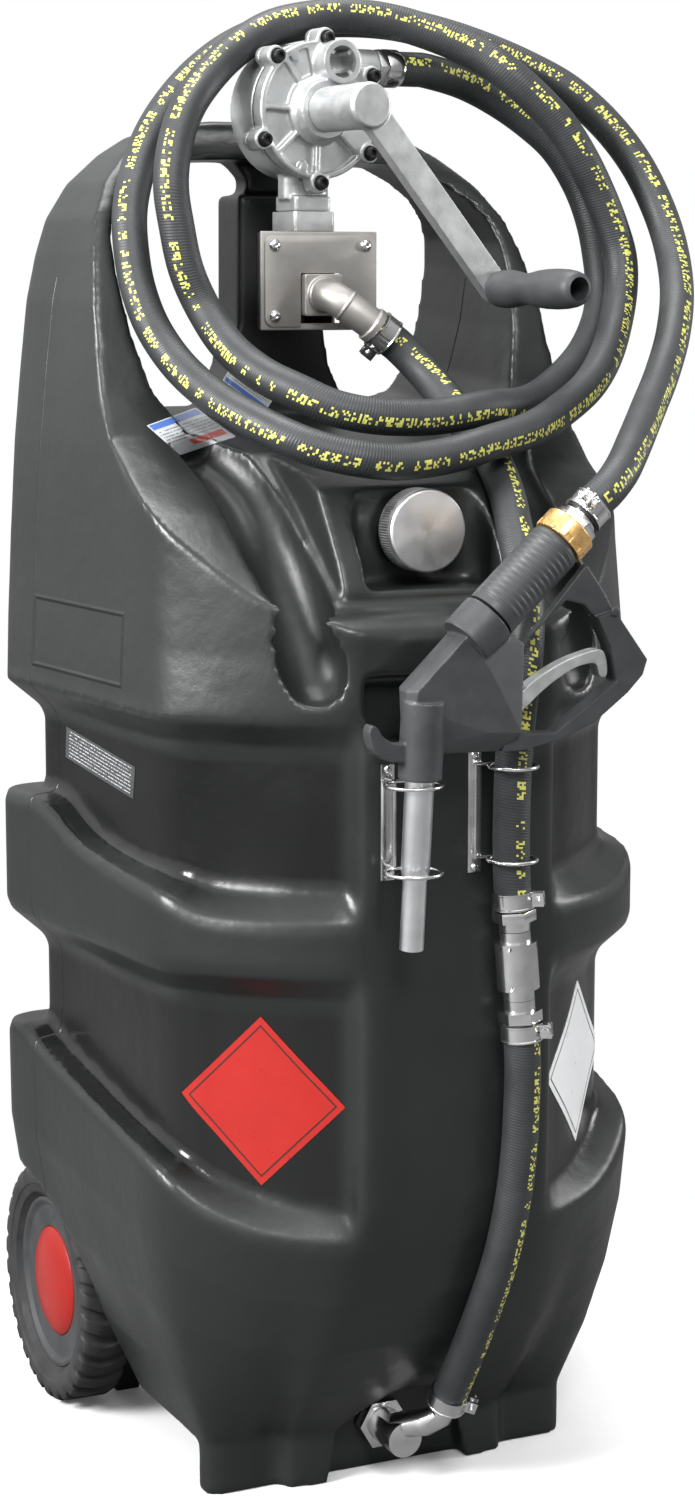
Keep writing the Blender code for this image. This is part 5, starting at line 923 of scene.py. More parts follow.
# %% Tools of the tank
OUTLET_WALL = TANK_FRONT + BASE_SHARES[0][1] * TANK_DEPTH + NOTCH_DEPTH
ROOF_SHARES = (
    (0, 0), (0.015, 0.026), (0.044, 0.045), (0.078, 0.055), (0.137, 0.090), (0.225, 0.162), (0.311, 0.231),
    (0.422, 0.302), (0.507, 0.369), (0.564, 0.452), (0.598, 0.540), (0.632, 0.633), (0.674, 0.726),
    (0.728, 0.817), (0.794, 0.898), (0.843, 0.950), (0.882, 0.988), (0.89, 1.06))
BOWL_SHARES = (
    (0, 0), (0.55, 0), (0.78, 0.05), (0.90, 0.18), (0.965, 0.38), (1, 0.58), (1, 0.69), (0.97, 0.78),
    (0.90, 0.86), (0.78, 0.93), (0.62, 0.99), (0.3, 1))
BOWL_TAPER_SHARES = ((0, 1), (0.3, 0.995), (0.66, 0.955), (0.92, 0.91), (1, 0.90))
COLUMN_FLARE_SHARES = ((2.1, -0.02), (1.55, 0.07), (1.2, 0.22), (1.03, 0.42), (1, 0.98), (0.94, 1))
CHANNEL_SHARES = (
    (0.57, 0.52, 1.365, 0.9), (0.50, 0.40, 1.300, 1), (0.485, 0.262, 1.190, 1.04),
    (0.465, 0.132, 1.040, 1.04), (0.462, 0.062, 0.968, 0.95), (0.458, 0.035, 0.935, 0.6))


def roof_tool():
    """Everything in front of and above the sloping shoulders."""
    line = [(TANK_FRONT + a * TANK_DEPTH, SPINE_TOP + b * SHOULDER_HEIGHT) for a, b in ROOF_SHARES]
    line += [(TANK_FRONT - OVERRUN, line[-1][1]), (TANK_FRONT - OVERRUN, SPINE_TOP)]
    return sideways(prism(line, -TANK_HALF_WIDTH - OVERRUN, TANK_HALF_WIDTH + OVERRUN))


def bowl_tool():
    """Hollow between the wings, and the two openings beside the column."""
    run = TANK_REAR + OVERRUN - BOWL_FRONT
    rings = []
    for share, taper in BOWL_TAPER_SHARES:
        y = BOWL_FRONT + share * run
        floor = BOWL_FLOOR_FRONT + (
            BOWL_FLOOR_REAR - BOWL_FLOOR_FRONT) * (y - NOSE_BACK) / (HANDLE_FRONT - NOSE_BACK)
        right = [
            (a * taper * BOWL_HALF_WIDTH, y, floor + b * (BAR_UNDERSIDE - floor)) for a, b in BOWL_SHARES]
        left = [(-x, y, z) for x, y, z in right[1:]]
        rings.append(right + left[::-1])
    return skin(rings)


def nose():
    """Raised block behind the filler cap, up to the floor of the bowl."""
    line = [
        (NOSE_FRONT, SPINE_TOP - OVERRUN), (NOSE_FRONT, ALCOVE_FLOOR),
        (NOSE_FRONT + RIDGE_FILLET, ALCOVE_FLOOR + SHELF_RISE), (NOSE_BACK, BOWL_FLOOR_FRONT - RIDGE_FILLET),
        (NOSE_BACK + SHELF_RISE, BOWL_FLOOR_FRONT), (HANDLE_FRONT, BOWL_FLOOR_REAR),
        (HANDLE_FRONT, SPINE_TOP - OVERRUN)]
    return sideways(prism(line, -NOSE_HALF_WIDTH, NOSE_HALF_WIDTH))


def column():
    """Post up the middle of the handle opening, with a flared foot and a narrower neck."""
    rise = COLUMN_TOP - BOWL_FLOOR_REAR
    right = [(a * COLUMN_HALF_WIDTH, BOWL_FLOOR_REAR + b * rise) for a, b in COLUMN_FLARE_SHARES]
    outline = right + [(-x, z) for x, z in right[::-1]]
    rear = TANK_REAR - RIDGE_FILLET
    post = moved(prism(outline, -rear, -COLUMN_FRONT), Matrix.Rotation(math.radians(90), 4, "X"))
    top = BAR_UNDERSIDE + RIDGE_FILLET
    neck_line = [
        (NECK_HALF_WIDTH, COLUMN_TOP - OVERRUN), (NECK_HALF_WIDTH, (COLUMN_TOP + BAR_UNDERSIDE) / 2),
        (NECK_HALF_WIDTH * 2, top), (-NECK_HALF_WIDTH * 2, top),
        (-NECK_HALF_WIDTH, (COLUMN_TOP + BAR_UNDERSIDE) / 2), (-NECK_HALF_WIDTH, COLUMN_TOP - OVERRUN)]
    neck = moved(
        prism(neck_line, -rear + SHEET, -COLUMN_FRONT - RIDGE_FILLET * 2),
        Matrix.Rotation(math.radians(90), 4, "X"))
    return post, neck


print("roof, bowl, nose and post ready")

# %% [markdown]
# These tools hollow the tank's sides, foot and rear: the drain channel, the wheel arch, the slot for
# the axle, the room behind the front foot and the alcove of the outlet.

# %% Channels, wells and reliefs
def channel_tool():
    """Diagonal drain channel, with a smooth line and a round end."""
    knots = [
        Vector((-a * TANK_HALF_WIDTH, TANK_FRONT + b * TANK_DEPTH, height_of(c))) for a, b, c,
        _ in CHANNEL_SHARES]
    table = sorted((height_of(c), d * CHANNEL_RADIUS) for _, _, c, d in CHANNEL_SHARES)
    line, _ = even_steps(knots, 0.006)
    radii = []
    for point in line:
        left = min((point - line[-1]).length, CHANNEL_RADIUS)
        round_end = math.sqrt(max(0.02, 1 - (1 - left / CHANNEL_RADIUS) ** 2)) * CHANNEL_RADIUS
        radii.append(min(between(table, point.z), round_end))
    return sweep(line, radii, 48)


def well_tool():
    """Wheel arch on the right."""
    radius = WHEEL_RADIUS + WELL_CLEARANCE
    arc = [
        (
            WHEEL_Y - radius * math.cos(math.radians(angle)),
            WHEEL_RADIUS + radius * math.sin(math.radians(angle)))
        for angle in range(0, 181, 20)]
    line = [(arc[0][0], -OVERRUN)] + arc + [(arc[-1][0], -OVERRUN)]
    return sideways(prism(line, WELL_INNER_X, TANK_HALF_WIDTH + OVERRUN))


def axle_channel():
    """Slot across the rear that the axle is pushed into."""
    radius = AXLE_RADIUS + GAP
    arc = [
        (
            WHEEL_Y - radius * math.sin(math.radians(angle)),
            WHEEL_RADIUS + radius * math.cos(math.radians(angle)))
        for angle in range(0, 181, 20)]
    line = arc + [(TANK_REAR + OVERRUN, WHEEL_RADIUS - radius), (TANK_REAR + OVERRUN, WHEEL_RADIUS + radius)]
    return sideways(prism(line, -TANK_HALF_WIDTH, TANK_HALF_WIDTH))


def relief_tools():
    """Room under the tank behind the front foot, between the keel and the legs."""
    rear = TANK_REAR + OVERRUN
    side = block((KEEL_HALF_WIDTH, FOOT_REAR, -OVERRUN), (TANK_HALF_WIDTH, LEG_FRONT, SIDE_UNDERSIDE))
    behind = block((KEEL_HALF_WIDTH, LEG_FRONT - GAP, -OVERRUN), (LEG_INNER_X, rear, SIDE_UNDERSIDE))
    return mirrored(side), side, mirrored(behind), behind


def notch_tool():
    """Arched alcove at the foot of the tank, in front of the outlet."""
    line = [(-NOTCH_HALF_WIDTH, -OVERRUN), (-NOTCH_HALF_WIDTH, 0)]
    for angle in range(150, 29, -20):
        a = math.radians(angle)
        line.append((NOTCH_HALF_WIDTH * math.cos(a), NOTCH_TOP * math.sin(a)))
    line += [(NOTCH_HALF_WIDTH, 0), (NOTCH_HALF_WIDTH, -OVERRUN)]
    return frontways(prism(line, -OUTLET_WALL, -TANK_FRONT + OVERRUN))


print("tools of the tank ready")

# %% [markdown]
# Black polyethylene is satin where the mould was blasted. The recessed panels were left smooth in the
# mould, for the stickers, so they mirror more; their darker colour is painted shade in the recesses. A
# number on each point of the skin says how far it lies inside a panel, and the finish reads that number.

# %% Finish of the tank
FRAME_Y = 0.029
FRAME_Z = 0.720
FRAME_HALF_LENGTH = 0.085
FRAME_HALF_HEIGHT = 0.029
FRAME_LINE = 0.0024
PARTING_Y = 0.1165
polyethylene = finish("tank_plastic", (0.0135, 0.0145, 0.0145), 0.34, Specular_IOR_Level=0.42)
panel = made(polyethylene, "Attribute", attribute_name="panel").outputs["Fac"]
plain = blended(
    polyethylene, cloudy(polyethylene, 0.22, 5.0), (0.0110, 0.0120, 0.0120), (0.0165, 0.0178, 0.0178))
# Inside the panels the colour turns darker: painted shade in the recesses, over the random tone.
tone_and_panel_shade = made(polyethylene, "MixRGB", {0: panel, 1: plain, 2: (0.0052, 0.0056, 0.0054, 1)})
feed(polyethylene, "Base Color", tone_and_panel_shade.outputs[0])
satin = spread(polyethylene, cloudy(polyethylene, 0.09, 4.0), 0.28, 0.42)
feed(
    polyethylene, "Roughness",
    arithmetic(polyethylene, "SUBTRACT", satin, arithmetic(polyethylene, "MULTIPLY", panel, 0.14)))
relief(polyethylene, cloudy(polyethylene, 0.022, 2.0), 0.0006)
relief(polyethylene, cloudy(polyethylene, 0.0022, 2.0), 0.00007)
x_at, y_at, z_at = made(polyethylene, "SeparateXYZ", {0: place_on(polyethylene)}).outputs


def nearness(material, value, centre, reach):
    """1 at a value, falling to 0 at a reach away from it."""
    gap = arithmetic(material, "ABSOLUTE", arithmetic(material, "SUBTRACT", value, centre))
    return spread(material, gap, 1.0, 0.0, 0.0, reach)


parting = arithmetic(
    polyethylene, "MULTIPLY", nearness(polyethylene, y_at, PARTING_Y, 0.0016),
    arithmetic(polyethylene, "LESS_THAN", z_at, 1.02))
relief(polyethylene, parting, 0.0008)
frame_gap = arithmetic(
    polyethylene, "MAXIMUM",
    arithmetic(
        polyethylene, "SUBTRACT",
        arithmetic(polyethylene, "ABSOLUTE", arithmetic(polyethylene, "SUBTRACT", y_at, FRAME_Y)),
        FRAME_HALF_LENGTH - FRAME_HALF_HEIGHT),
    arithmetic(polyethylene, "ABSOLUTE", arithmetic(polyethylene, "SUBTRACT", z_at, FRAME_Z)))
frame_line = arithmetic(
    polyethylene, "MULTIPLY", nearness(polyethylene, frame_gap, FRAME_HALF_HEIGHT, FRAME_LINE),
    arithmetic(polyethylene, "LESS_THAN", x_at, -0.20))
relief(polyethylene, frame_line, 0.0026)
print("tank finish ready")

# %% [markdown]
# The cuts and joins are made on the sharp shape, and small cubes with smoothing then round the whole
# skin at once. A subdivision surface would need clean quads, which the cuts don't leave. The holes of
# the neck and the outlet come last, so that their edges stay crisp.

# %% Tank
def tank_body():
    body = skin(tank_rings())
    body = cut(body, roof_tool())
    body = fuse(body, nose())
    body = cut(body, bowl_tool())
    body = fuse(body, *column())
    alcove = prism(
        rounded(ALCOVE_HALF_WIDTH, ALCOVE_HALF_WIDTH, SHELF_RISE, 6), ALCOVE_FLOOR, BOWL_FLOOR_REAR + OVERRUN)
    body = cut(body, shifted(alcove, y=NOSE_BACK - ALCOVE_HALF_WIDTH))
    channel = channel_tool()
    body = cut(body, mirrored(channel), channel)
    well = well_tool()
    body = cut(body, *relief_tools(), mirrored(well), well, axle_channel(), notch_tool())
    body = cut(
        body,
        block(
            (POCKET_LEFT, TANK_FRONT - OVERRUN, POCKET_LOW),
            (POCKET_RIGHT, TANK_FRONT + POCKET_DEPTH, POCKET_HIGH)))
    line, _ = even_steps(SUCTION_ROUTE, 0.012)
    body = cut(body, sweep(line[8:-12], HOSE_RADIUS + 0.0012, 24))
    body = moulded(body, 0.0032, 4)
    neck_hole = shifted(frontways(disc(NECK_RADIUS + 0.0004, -NOSE_BACK - 0.05, -NOSE_BACK + 0.02)), z=CAP_Z)
    outlet_hole = shifted(
        frontways(disc(OUTLET_RADIUS + 0.0004, -OUTLET_WALL - 0.03, -OUTLET_WALL + 0.02)), x=OUTLET_X,
        z=OUTLET_Z)
    return cut(body, neck_hole, outlet_hole)


tank = add("tank_shell", tank_body(), polyethylene, "tank_body", sharp=60)


def rising(value, low, high):
    return min(1, max(0, (value - low) / (high - low)))


def panel_share(place):
    """How far a place lies inside a recessed panel, from 0 to 1."""
    across = abs(place.x) / TANK_HALF_WIDTH
    share = 0
    for base, rise, shares, band in (
            (LOWER_RIDGE_Z, LOWER_RIDGE_RISE, LOWER_RISE_SHARES, MIDDLE_BAND_Z),
            (UPPER_RIDGE_Z, UPPER_RIDGE_RISE, UPPER_RISE_SHARES, UPPER_BAND_Z)):
        column = [(BAND_SHARES[i][0], i) for i in range(13)]
        ridge = base + between([(x, shares[i]) for x, i in column], across) * rise
        shelf = between([(x, SHELF_SHARES[i]) for x, i in column], across) * SHELF_RISE
        share += rising(
            place.z, ridge + shelf * 0.5, ridge + shelf + 0.012) * rising(-place.z, -band, 0.015 - band)
    return share * rising(across, 0.335, 0.40)


marks = tank.data.attributes.new("panel", "FLOAT", "POINT")
marks.data.foreach_set("value", [panel_share(vertex.co) for vertex in tank.data.vertices])
print("tank", len(tank.data.polygons), "faces")

# %% [markdown]
# ## Finishes of the other pieces
# The caddy mixes cast, turned, brushed and plated metal with rubber and plastic. What tells them apart
# is the relief: a casting keeps the fine grain of its mould, a turned face has rings, brushing leaves
# long scratches, and plating is smooth with slow waves. Each finish below is a few nodes on that idea.

# %% Metals
def varied(name, colour, roughness, metallic, patches, tones, gloss, grain, **sockets):
    """A finish with three noises, each given by its size and detail: for its tones, gloss and grain."""
    material = finish(name, colour, roughness, metallic, **sockets)
    feed(material, "Base Color", blended(material, cloudy(material, *patches), *tones))
    feed(material, "Roughness", spread(material, cloudy(material, *gloss[0]), *gloss[1:]))
    relief(material, cloudy(material, *grain[0]), grain[1])
    return material


cast_aluminium = varied(
    "cast_aluminium", (0.50, 0.51, 0.51), 0.45, 0.85, (0.03, 5.0), ((0.40, 0.41, 0.41), (0.56, 0.57, 0.57)),
    ((0.012, 3.0), 0.38, 0.55), ((0.0016, 3.0), 0.00012))
turned_aluminium = varied(
    "turned_aluminium", (0.72, 0.73, 0.74), 0.28, 1.0, (0.02, 3.0), ((0.64, 0.65, 0.66), (0.76, 0.77, 0.78)),
    ((0.004, 2.0, "Object", (1, 1, 12)), 0.30, 0.38), ((0.006, 2.0, "Object", (1, 1, 12)), 0.00001))
brushed_stainless = varied(
    "brushed_stainless", (0.45, 0.43, 0.40), 0.45, 0.9, (0.03, 3.0),
    ((0.33, 0.318, 0.30), (0.42, 0.405, 0.385)), ((0.02, 3.0, "Object", (1, 1, 60)), 0.42, 0.58),
    ((0.02, 4.0, "Object", (0.5, 0.5, 60)), 0.00003))
bright_plate = varied(
    "bright_plate", (0.68, 0.68, 0.68), 0.14, 1.0, (0.015, 3.0), ((0.60, 0.60, 0.60), (0.74, 0.74, 0.74)),
    ((0.03, 1.0), 0.16, 0.24), ((0.02, 1.0), 0.00002))
brass = varied(
    "brass", (0.75, 0.50, 0.20), 0.34, 0.85, (0.01, 4.0), ((0.72, 0.42, 0.15), (0.88, 0.56, 0.24)),
    ((0.005, 3.0), 0.20, 0.36), ((0.003, 2.0), 0.00003))
grey_steel = varied(
    "grey_steel", (0.30, 0.30, 0.30), 0.4, 1.0, (0.01, 4.0), ((0.22, 0.22, 0.22), (0.36, 0.36, 0.36)),
    ((0.005, 3.0), 0.30, 0.48), ((0.002, 2.0), 0.00004))
black_steel = varied(
    "blackened_steel", (0.02, 0.02, 0.021), 0.35, 0.6, (0.006, 3.0),
    ((0.014, 0.014, 0.015), (0.03, 0.03, 0.032)), ((0.003, 2.0), 0.28, 0.42), ((0.0015, 2.0), 0.00003))
print("metals ready")

# %% [markdown]
# Rubber and plastic aren't metal, so they mirror little. The tyres are the roughest, the boot has a
# fine grain, and the red hub covers are smoother, with slow waves.

# %% Rubber and plastic
boot_plastic = varied(
    "nozzle_boot", (0.034, 0.036, 0.0375), 0.5, 0.0, (0.03, 4.0),
    ((0.027, 0.0287, 0.030), (0.042, 0.0445, 0.046)), ((0.01, 3.0), 0.42, 0.58), ((0.0012, 2.0), 0.00006),
    Specular_IOR_Level=0.45)
tyre_rubber = varied(
    "tyre_rubber", (0.020, 0.020, 0.021), 0.7, 0.0, (0.02, 4.0),
    ((0.014, 0.014, 0.015), (0.030, 0.030, 0.031)), ((0.01, 3.0), 0.58, 0.8), ((0.002, 3.0), 0.0002),
    Specular_IOR_Level=0.4)
seal_rubber = varied(
    "seal_rubber", (0.015, 0.015, 0.015), 0.65, 0.0, (0.005,), ((0.011, 0.011, 0.011), (0.02, 0.02, 0.02)),
    ((0.004,), 0.55, 0.75), ((0.001,), 0.00004))
red_gloss = varied(
    "red_gloss", (0.36, 0.016, 0.012), 0.36, 0.0, (0.05,), ((0.26, 0.011, 0.008), (0.31, 0.015, 0.011)),
    ((0.02, 3.0), 0.32, 0.42), ((0.012,), 0.0002), Specular_IOR_Level=0.25)
vane_plastic = varied(
    "vane_plastic", (0.5, 0.48, 0.4), 0.5, 0.0, (0.01,), ((0.44, 0.42, 0.35), (0.54, 0.52, 0.44)),
    ((0.006,), 0.4, 0.58), ((0.002,), 0.00003))
print("rubber and plastic ready")

# %% [markdown]
# ## Filler
# The cap is a turned aluminium cover with a knurled rim over a plastic plug. A knurl is rolled into the
# rim: here it is a relief from the angle round the cap's axis, only where the radius is near the rim.
# The rings of the lathe show on its face, so the face gets a relief from the radius.

# %% Finish of the cap
knurled = finish("knurled_cap", (0.70, 0.71, 0.72), 0.26, 1.0)
x_at, y_at, z_at = made(knurled, "SeparateXYZ", {0: place_on(knurled)}).outputs
up = arithmetic(knurled, "SUBTRACT", z_at, CAP_Z)
radius_at = arithmetic(
    knurled, "SQRT",
    arithmetic(
        knurled, "ADD", arithmetic(knurled, "MULTIPLY", x_at, x_at), arithmetic(knurled, "MULTIPLY", up, up)))
round_it = arithmetic(knurled, "ARCTAN2", up, x_at)
on_rim = arithmetic(
    knurled, "MULTIPLY", arithmetic(knurled, "GREATER_THAN", radius_at, CAP_RADIUS - 0.0012),
    nearness(knurled, y_at, NOSE_BACK - 0.0175, 0.0085))
teeth = arithmetic(
    knurled, "MULTIPLY", arithmetic(knurled, "SINE", arithmetic(knurled, "MULTIPLY", round_it, 96.0)),
    arithmetic(knurled, "GREATER_THAN", on_rim, 0.12))
relief(knurled, teeth, 0.0007)
relief(knurled, arithmetic(knurled, "SINE", arithmetic(knurled, "MULTIPLY", radius_at, 5200.0)), 0.000018)
relief(
    knurled,
    made(
        knurled, "TexNoise",
        {"Vector": made(knurled, "CombineXYZ", {0: radius_at}).outputs[0], "Scale": 1600.0}).outputs[0],
    0.00004)
feed(knurled, "Roughness", spread(knurled, cloudy(knurled, 0.01, 3.0), 0.34, 0.44))
# Painted highlight: the colour is lighter in two opposite fans round the cap's axis, standing in for the fan
# of light that a turned face mirrors.
fan_highlight = arithmetic(
    knurled, "SINE", arithmetic(knurled, "ADD", arithmetic(knurled, "MULTIPLY", round_it, 2.0), 0.9))
feed(knurled, "Base Color", blended(knurled, fan_highlight, (0.70, 0.705, 0.71), (0.86, 0.865, 0.87), 0.0, 1.0))
print("cap finish ready")

# %% [markdown]
# The neck is a plain tube with a flange against the skin. The cover sits over its end and holds a
# plug that closes the bore on a flat seal. All four are turned about one axis that points to the
# front, so they differ only in their profiles.

# %% Filler neck, plug and cap
def filler_parts():
    """Neck with a flange, its seal, the plug and the knurled cover."""
    place = Matrix.Translation((0, NOSE_BACK, CAP_Z))
    flange = 0.004
    wall = 0.016
    play = 0.001
    neck_front = 0.016
    neck = frontways(
        lathe([
            (NECK_BORE_RADIUS, -wall - SHELF_RISE / 2), (NECK_RADIUS, -wall - SHELF_RISE / 2),
            (NECK_RADIUS, GAP), (CAP_RADIUS - flange, GAP), (CAP_RADIUS - flange, GAP + flange),
            (NECK_RADIUS, GAP + flange), (NECK_RADIUS, neck_front), (NECK_BORE_RADIUS, neck_front)]))
    dress("filler_neck", neck, polyethylene, place)
    seat = neck_front + GAP
    seal = 0.002
    dress("cap_seal", frontways(ring(NECK_BORE_RADIUS, NECK_RADIUS, seat, seat + seal)), seal_rubber, place)
    plug_face = seat + seal + GAP
    plug_radius = NECK_BORE_RADIUS - play
    plug = frontways(
        lathe([
            (0, GAP), (plug_radius, GAP), (plug_radius, plug_face), (NECK_RADIUS, plug_face),
            (NECK_RADIUS, plug_face + seal), (0, plug_face + seal)]))
    dress("cap_plug", plug, boot_plastic, place)
    inner = NECK_RADIUS + GAP + flange / 4
    face = plug_face + seal + GAP
    rim = 0.0015
    cap = frontways(
        lathe([
            (0, face), (inner, face), (inner, GAP + flange * 2), (CAP_RADIUS, GAP + flange * 2),
            (CAP_RADIUS, GAP + flange * 2 + CAP_DEPTH - rim),
            (CAP_RADIUS - rim, GAP + flange * 2 + CAP_DEPTH), (0, GAP + flange * 2 + CAP_DEPTH)], 36))
    dress("filler_cap", cap, knurled, place)


filler_parts()
print("filler ready")

# %% [markdown]
# ## Wheels
# The tyre is a moulded rubber ring with chunky blocks, a plain side with a few steps and a black rim
# that carries a shallow red dome. The tyre is skinned over sections that stand at angles round the
# wheel: two high ones make the top of a block and two low ones the groove, and each point of a
# section is turned a little further towards the middle of the tread, which slants the blocks.

# %% Wheels
def treaded(rim_radius, inner, outer, blocks=30):
    """Tyre about Z, with slanted blocks."""
    middle, half = (inner + outer) / 2, (outer - inner) / 2
    side = [
        (rim_radius, -0.62), (rim_radius + 0.004, -0.80), (rim_radius + 0.0045, -0.86),
        (rim_radius + 0.012, -0.94), (rim_radius + 0.0125, -0.985), (WHEEL_RADIUS - 0.012, -1.0)]
    tread = [
        (WHEEL_RADIUS - 0.006, -0.985), (WHEEL_RADIUS - 0.002, -0.90), (WHEEL_RADIUS, -0.74),
        (WHEEL_RADIUS, -0.2)]
    profile = [(r, s, False) for r, s in side] + [(r, s, True) for r, s in tread]
    profile += [(r, -s, high) for r, s, high in profile[::-1]]
    rings = []
    for count in range(blocks):
        for part, low in ((0.0, False), (0.5, False), (0.6, True), (0.9, True)):
            turn = math.tau * (count + part) / blocks
            points = []
            for radius, share, high in profile:
                slant = 0.5 * math.tau / blocks * (1 - abs(share)) if high else 0
                radius -= 0.0042 if low and high else 0
                points.append((
                    radius * math.cos(turn + slant), radius * math.sin(turn + slant), middle + share * half))
            rings.append(points)
    return skin(rings, closed=True)


print("tyre section ready")

# %% [markdown]
# A rim is one turned profile with a web, and its domed cover sits in it with a small gap. The left
# wheel is the right one mirrored, so its blocks slant the other way.

# %% Rims, covers and axle
def wheels():
    """Headed axle with a push-on clip, and on each end a tyre, a rim and a domed cover."""
    rim_radius = 0.078
    shoulder = 0.008
    hub_radius = 0.020
    cover_radius = 0.050
    cover_rise = 0.016
    web = 0.008
    tyre_inner = WHEEL_OUTER_X - TYRE_WIDTH
    axle_end = WHEEL_OUTER_X - cover_rise
    hub_low = tyre_inner - SHEET
    hub_high = axle_end - cover_rise / 2
    clip_low = hub_high + GAP
    clip_high = clip_low + web / 4
    place = Matrix.Translation((0, WHEEL_Y, WHEEL_RADIUS))
    axle = fuse(disc(AXLE_RADIUS, -axle_end, axle_end, 16), disc(hub_radius, -clip_high, -clip_low, 20))
    dress("axle", sideways(axle), grey_steel, place)
    dress(
        "axle_clip", sideways(ring(AXLE_RADIUS + GAP, hub_radius, clip_low, clip_high, 20)), grey_steel,
        place)
    for name, side in (("right", 1), ("left", -1)):
        tyre = treaded(rim_radius + GAP, tyre_inner, WHEEL_OUTER_X)
        middle = tyre_inner + TYRE_WIDTH * 0.38
        face = WHEEL_OUTER_X - shoulder - web / 2
        rim = lathe([
            (AXLE_RADIUS + GAP, hub_low), (hub_radius, hub_low), (hub_radius, middle - web / 2),
            (rim_radius - web, middle - web / 2), (rim_radius - web, tyre_inner + shoulder),
            (rim_radius, tyre_inner + shoulder), (rim_radius, WHEEL_OUTER_X - shoulder),
            (rim_radius - web / 2, WHEEL_OUTER_X - shoulder), (rim_radius - web, face),
            (cover_radius + GAP, face), (cover_radius + GAP, middle + web / 2),
            (hub_radius, middle + web / 2), (hub_radius, hub_high),
            (AXLE_RADIUS + GAP, hub_high)], 36, math.radians(-90))
        cover_low = middle + web / 2 + GAP
        lip = face + GAP
        cover = lathe([
            (cover_radius - web / 2, cover_low), (cover_radius, cover_low), (cover_radius, lip),
            (cover_radius * 0.85, lip + cover_rise * 0.25), (cover_radius * 0.5, lip + cover_rise * 0.43),
            (0, lip + cover_rise * 0.5), (0, lip + cover_rise * 0.5 - web / 4),
            (cover_radius * 0.5, lip + cover_rise * 0.43 - web / 4),
            (cover_radius - web / 2, lip - web / 4)], 32)
        pieces = {"tyre": (tyre, tyre_rubber), "rim": (rim, boot_plastic), "hub_cover": (cover, red_gloss)}
        for piece, (shape, material) in pieces.items():
            shape = sideways(shape)
            if side < 0:
                shape = mirrored(shape)
            dress(piece + "_" + name, shape, material, place, ease=0.0008)


wheels()
print("wheels ready")

# %% [markdown]
# ## Pump and crank
# The pump is a fine sand casting: a round housing with a lug at each screw, a cover with a raised rim,
# ribs with pockets between them, a boss for the shaft and a socket with four small lugs. The
# cover is drawn sharp, then filled with small cubes and smoothed, which gives every edge the soft
# fillet of a casting. The screws are black and have a hexagon socket, so they are pieces of their own.

# %% Frame of the pump
EAR_ANGLES = tuple(math.radians(angle) for angle in (84, 134, 205, 270, 325, 30))
EAR_RADIUS = 0.009
EAR_REACH = PUMP_RADIUS + EAR_RADIUS / 3
SCREW_RADIUS = 0.0032
VANE_ANGLES = (20, 200)
HEAD_RADIUS = 0.0052
INLET_RADIUS = 0.0225
PORT_HEIGHT = 0.040
PORT_BORE = 0.0095
HOUSING_WALL = 0.008
CHAMBER_REAR = PUMP_REAR - HOUSING_WALL
PORT_END = 0.072
PORT_Y = 0.0065
INLET_Y = 0.003
INLET_HALF_DEPTH = 0.0125
FERRULE_END = 0.098
SOCKET_X = 0.012
FLANGE_DROP = 0.072
FLANGE_THICKNESS = 0.0125
FLANGE_HIGH = -FLANGE_DROP
FLANGE_SPLIT = FLANGE_HIGH - FLANGE_THICKNESS
FLANGE_LOW = BRACKET_HIGH + GAP - PUMP_Z
COVER_LOW = -PUMP_SPLIT + 0.001 + 2 * GAP
COVER_HIGH = -PUMP_FACE
BOSS_HIGH = COVER_HIGH + 0.014


def pump_frame():
    return Matrix.Translation((0, PUMP_Y, PUMP_Z)) @ Matrix.Rotation(PUMP_TURN, 4, "Z")


def stud(angle, radius, reach, low, high):
    """Round boss off the axis of a round body."""
    return shifted(disc(radius, low, high, 10), x=reach * math.cos(angle), y=reach * math.sin(angle))


def lobed(radius, angles, reach, lobe, steps=120):
    """Outline of a disc with a round lug at each angle."""
    points = []
    for step in range(steps):
        turn = math.tau * step / steps
        far = radius
        for angle in angles:
            beside = reach * math.sin(turn - angle)
            if abs(beside) < lobe and math.cos(turn - angle) > 0:
                far = max(far, reach * math.cos(turn - angle) + math.sqrt(lobe ** 2 - beside ** 2))
        points.append((far * math.cos(turn), far * math.sin(turn)))
    return points


print("frame of the pump ready, turned by", round(math.degrees(PUMP_TURN)), "degrees")

# %% [markdown]
# Both castings have a lug at each screw. The housing is cut by its chamber and its two ports, and the
# cover by pockets between its ribs.

# %% Housing and cover
def pump_housing():
    rib = 0.0022
    lugs = prism(
        lobed(PUMP_RADIUS - rib, EAR_ANGLES, EAR_REACH, EAR_RADIUS, 240), -PUMP_SPLIT - rib * 3, -PUMP_SPLIT)
    housing = frontways(fuse(disc(PUMP_RADIUS, -PUMP_REAR, -PUMP_SPLIT - rib / 2), lugs))
    foot = shifted(
        prism(
            rounded(INLET_RADIUS, INLET_HALF_DEPTH, INLET_HALF_DEPTH * 0.9), FLANGE_HIGH - SHEET,
            -PUMP_RADIUS / 2),
        y=INLET_Y)
    plate = shifted(
        prism(rounded(INLET_RADIUS * 0.8, INLET_RADIUS * 0.8, SHEET), FLANGE_SPLIT, FLANGE_HIGH), y=INLET_Y)
    port = shifted(sideways(disc(PORT_BORE * 1.65, 0, PORT_END)), y=PORT_Y, z=PORT_HEIGHT)
    housing = moulded(fuse(housing, foot, plate, port), 0.0012, 3)
    chamber = shifted(
        frontways(disc(CHAMBER_RADIUS, -CHAMBER_REAR, -PUMP_SPLIT + OVERRUN)), z=-CHAMBER_OFFSET)
    suction = shifted(disc(PORT_BORE, FLANGE_SPLIT - OVERRUN, -CHAMBER_RADIUS / 2), y=INLET_Y)
    pressure = shifted(
        sideways(disc(PORT_BORE, CHAMBER_RADIUS * 0.3, PORT_END + OVERRUN)), y=PORT_Y, z=PORT_HEIGHT)
    return cut(housing, chamber, suction, pressure)


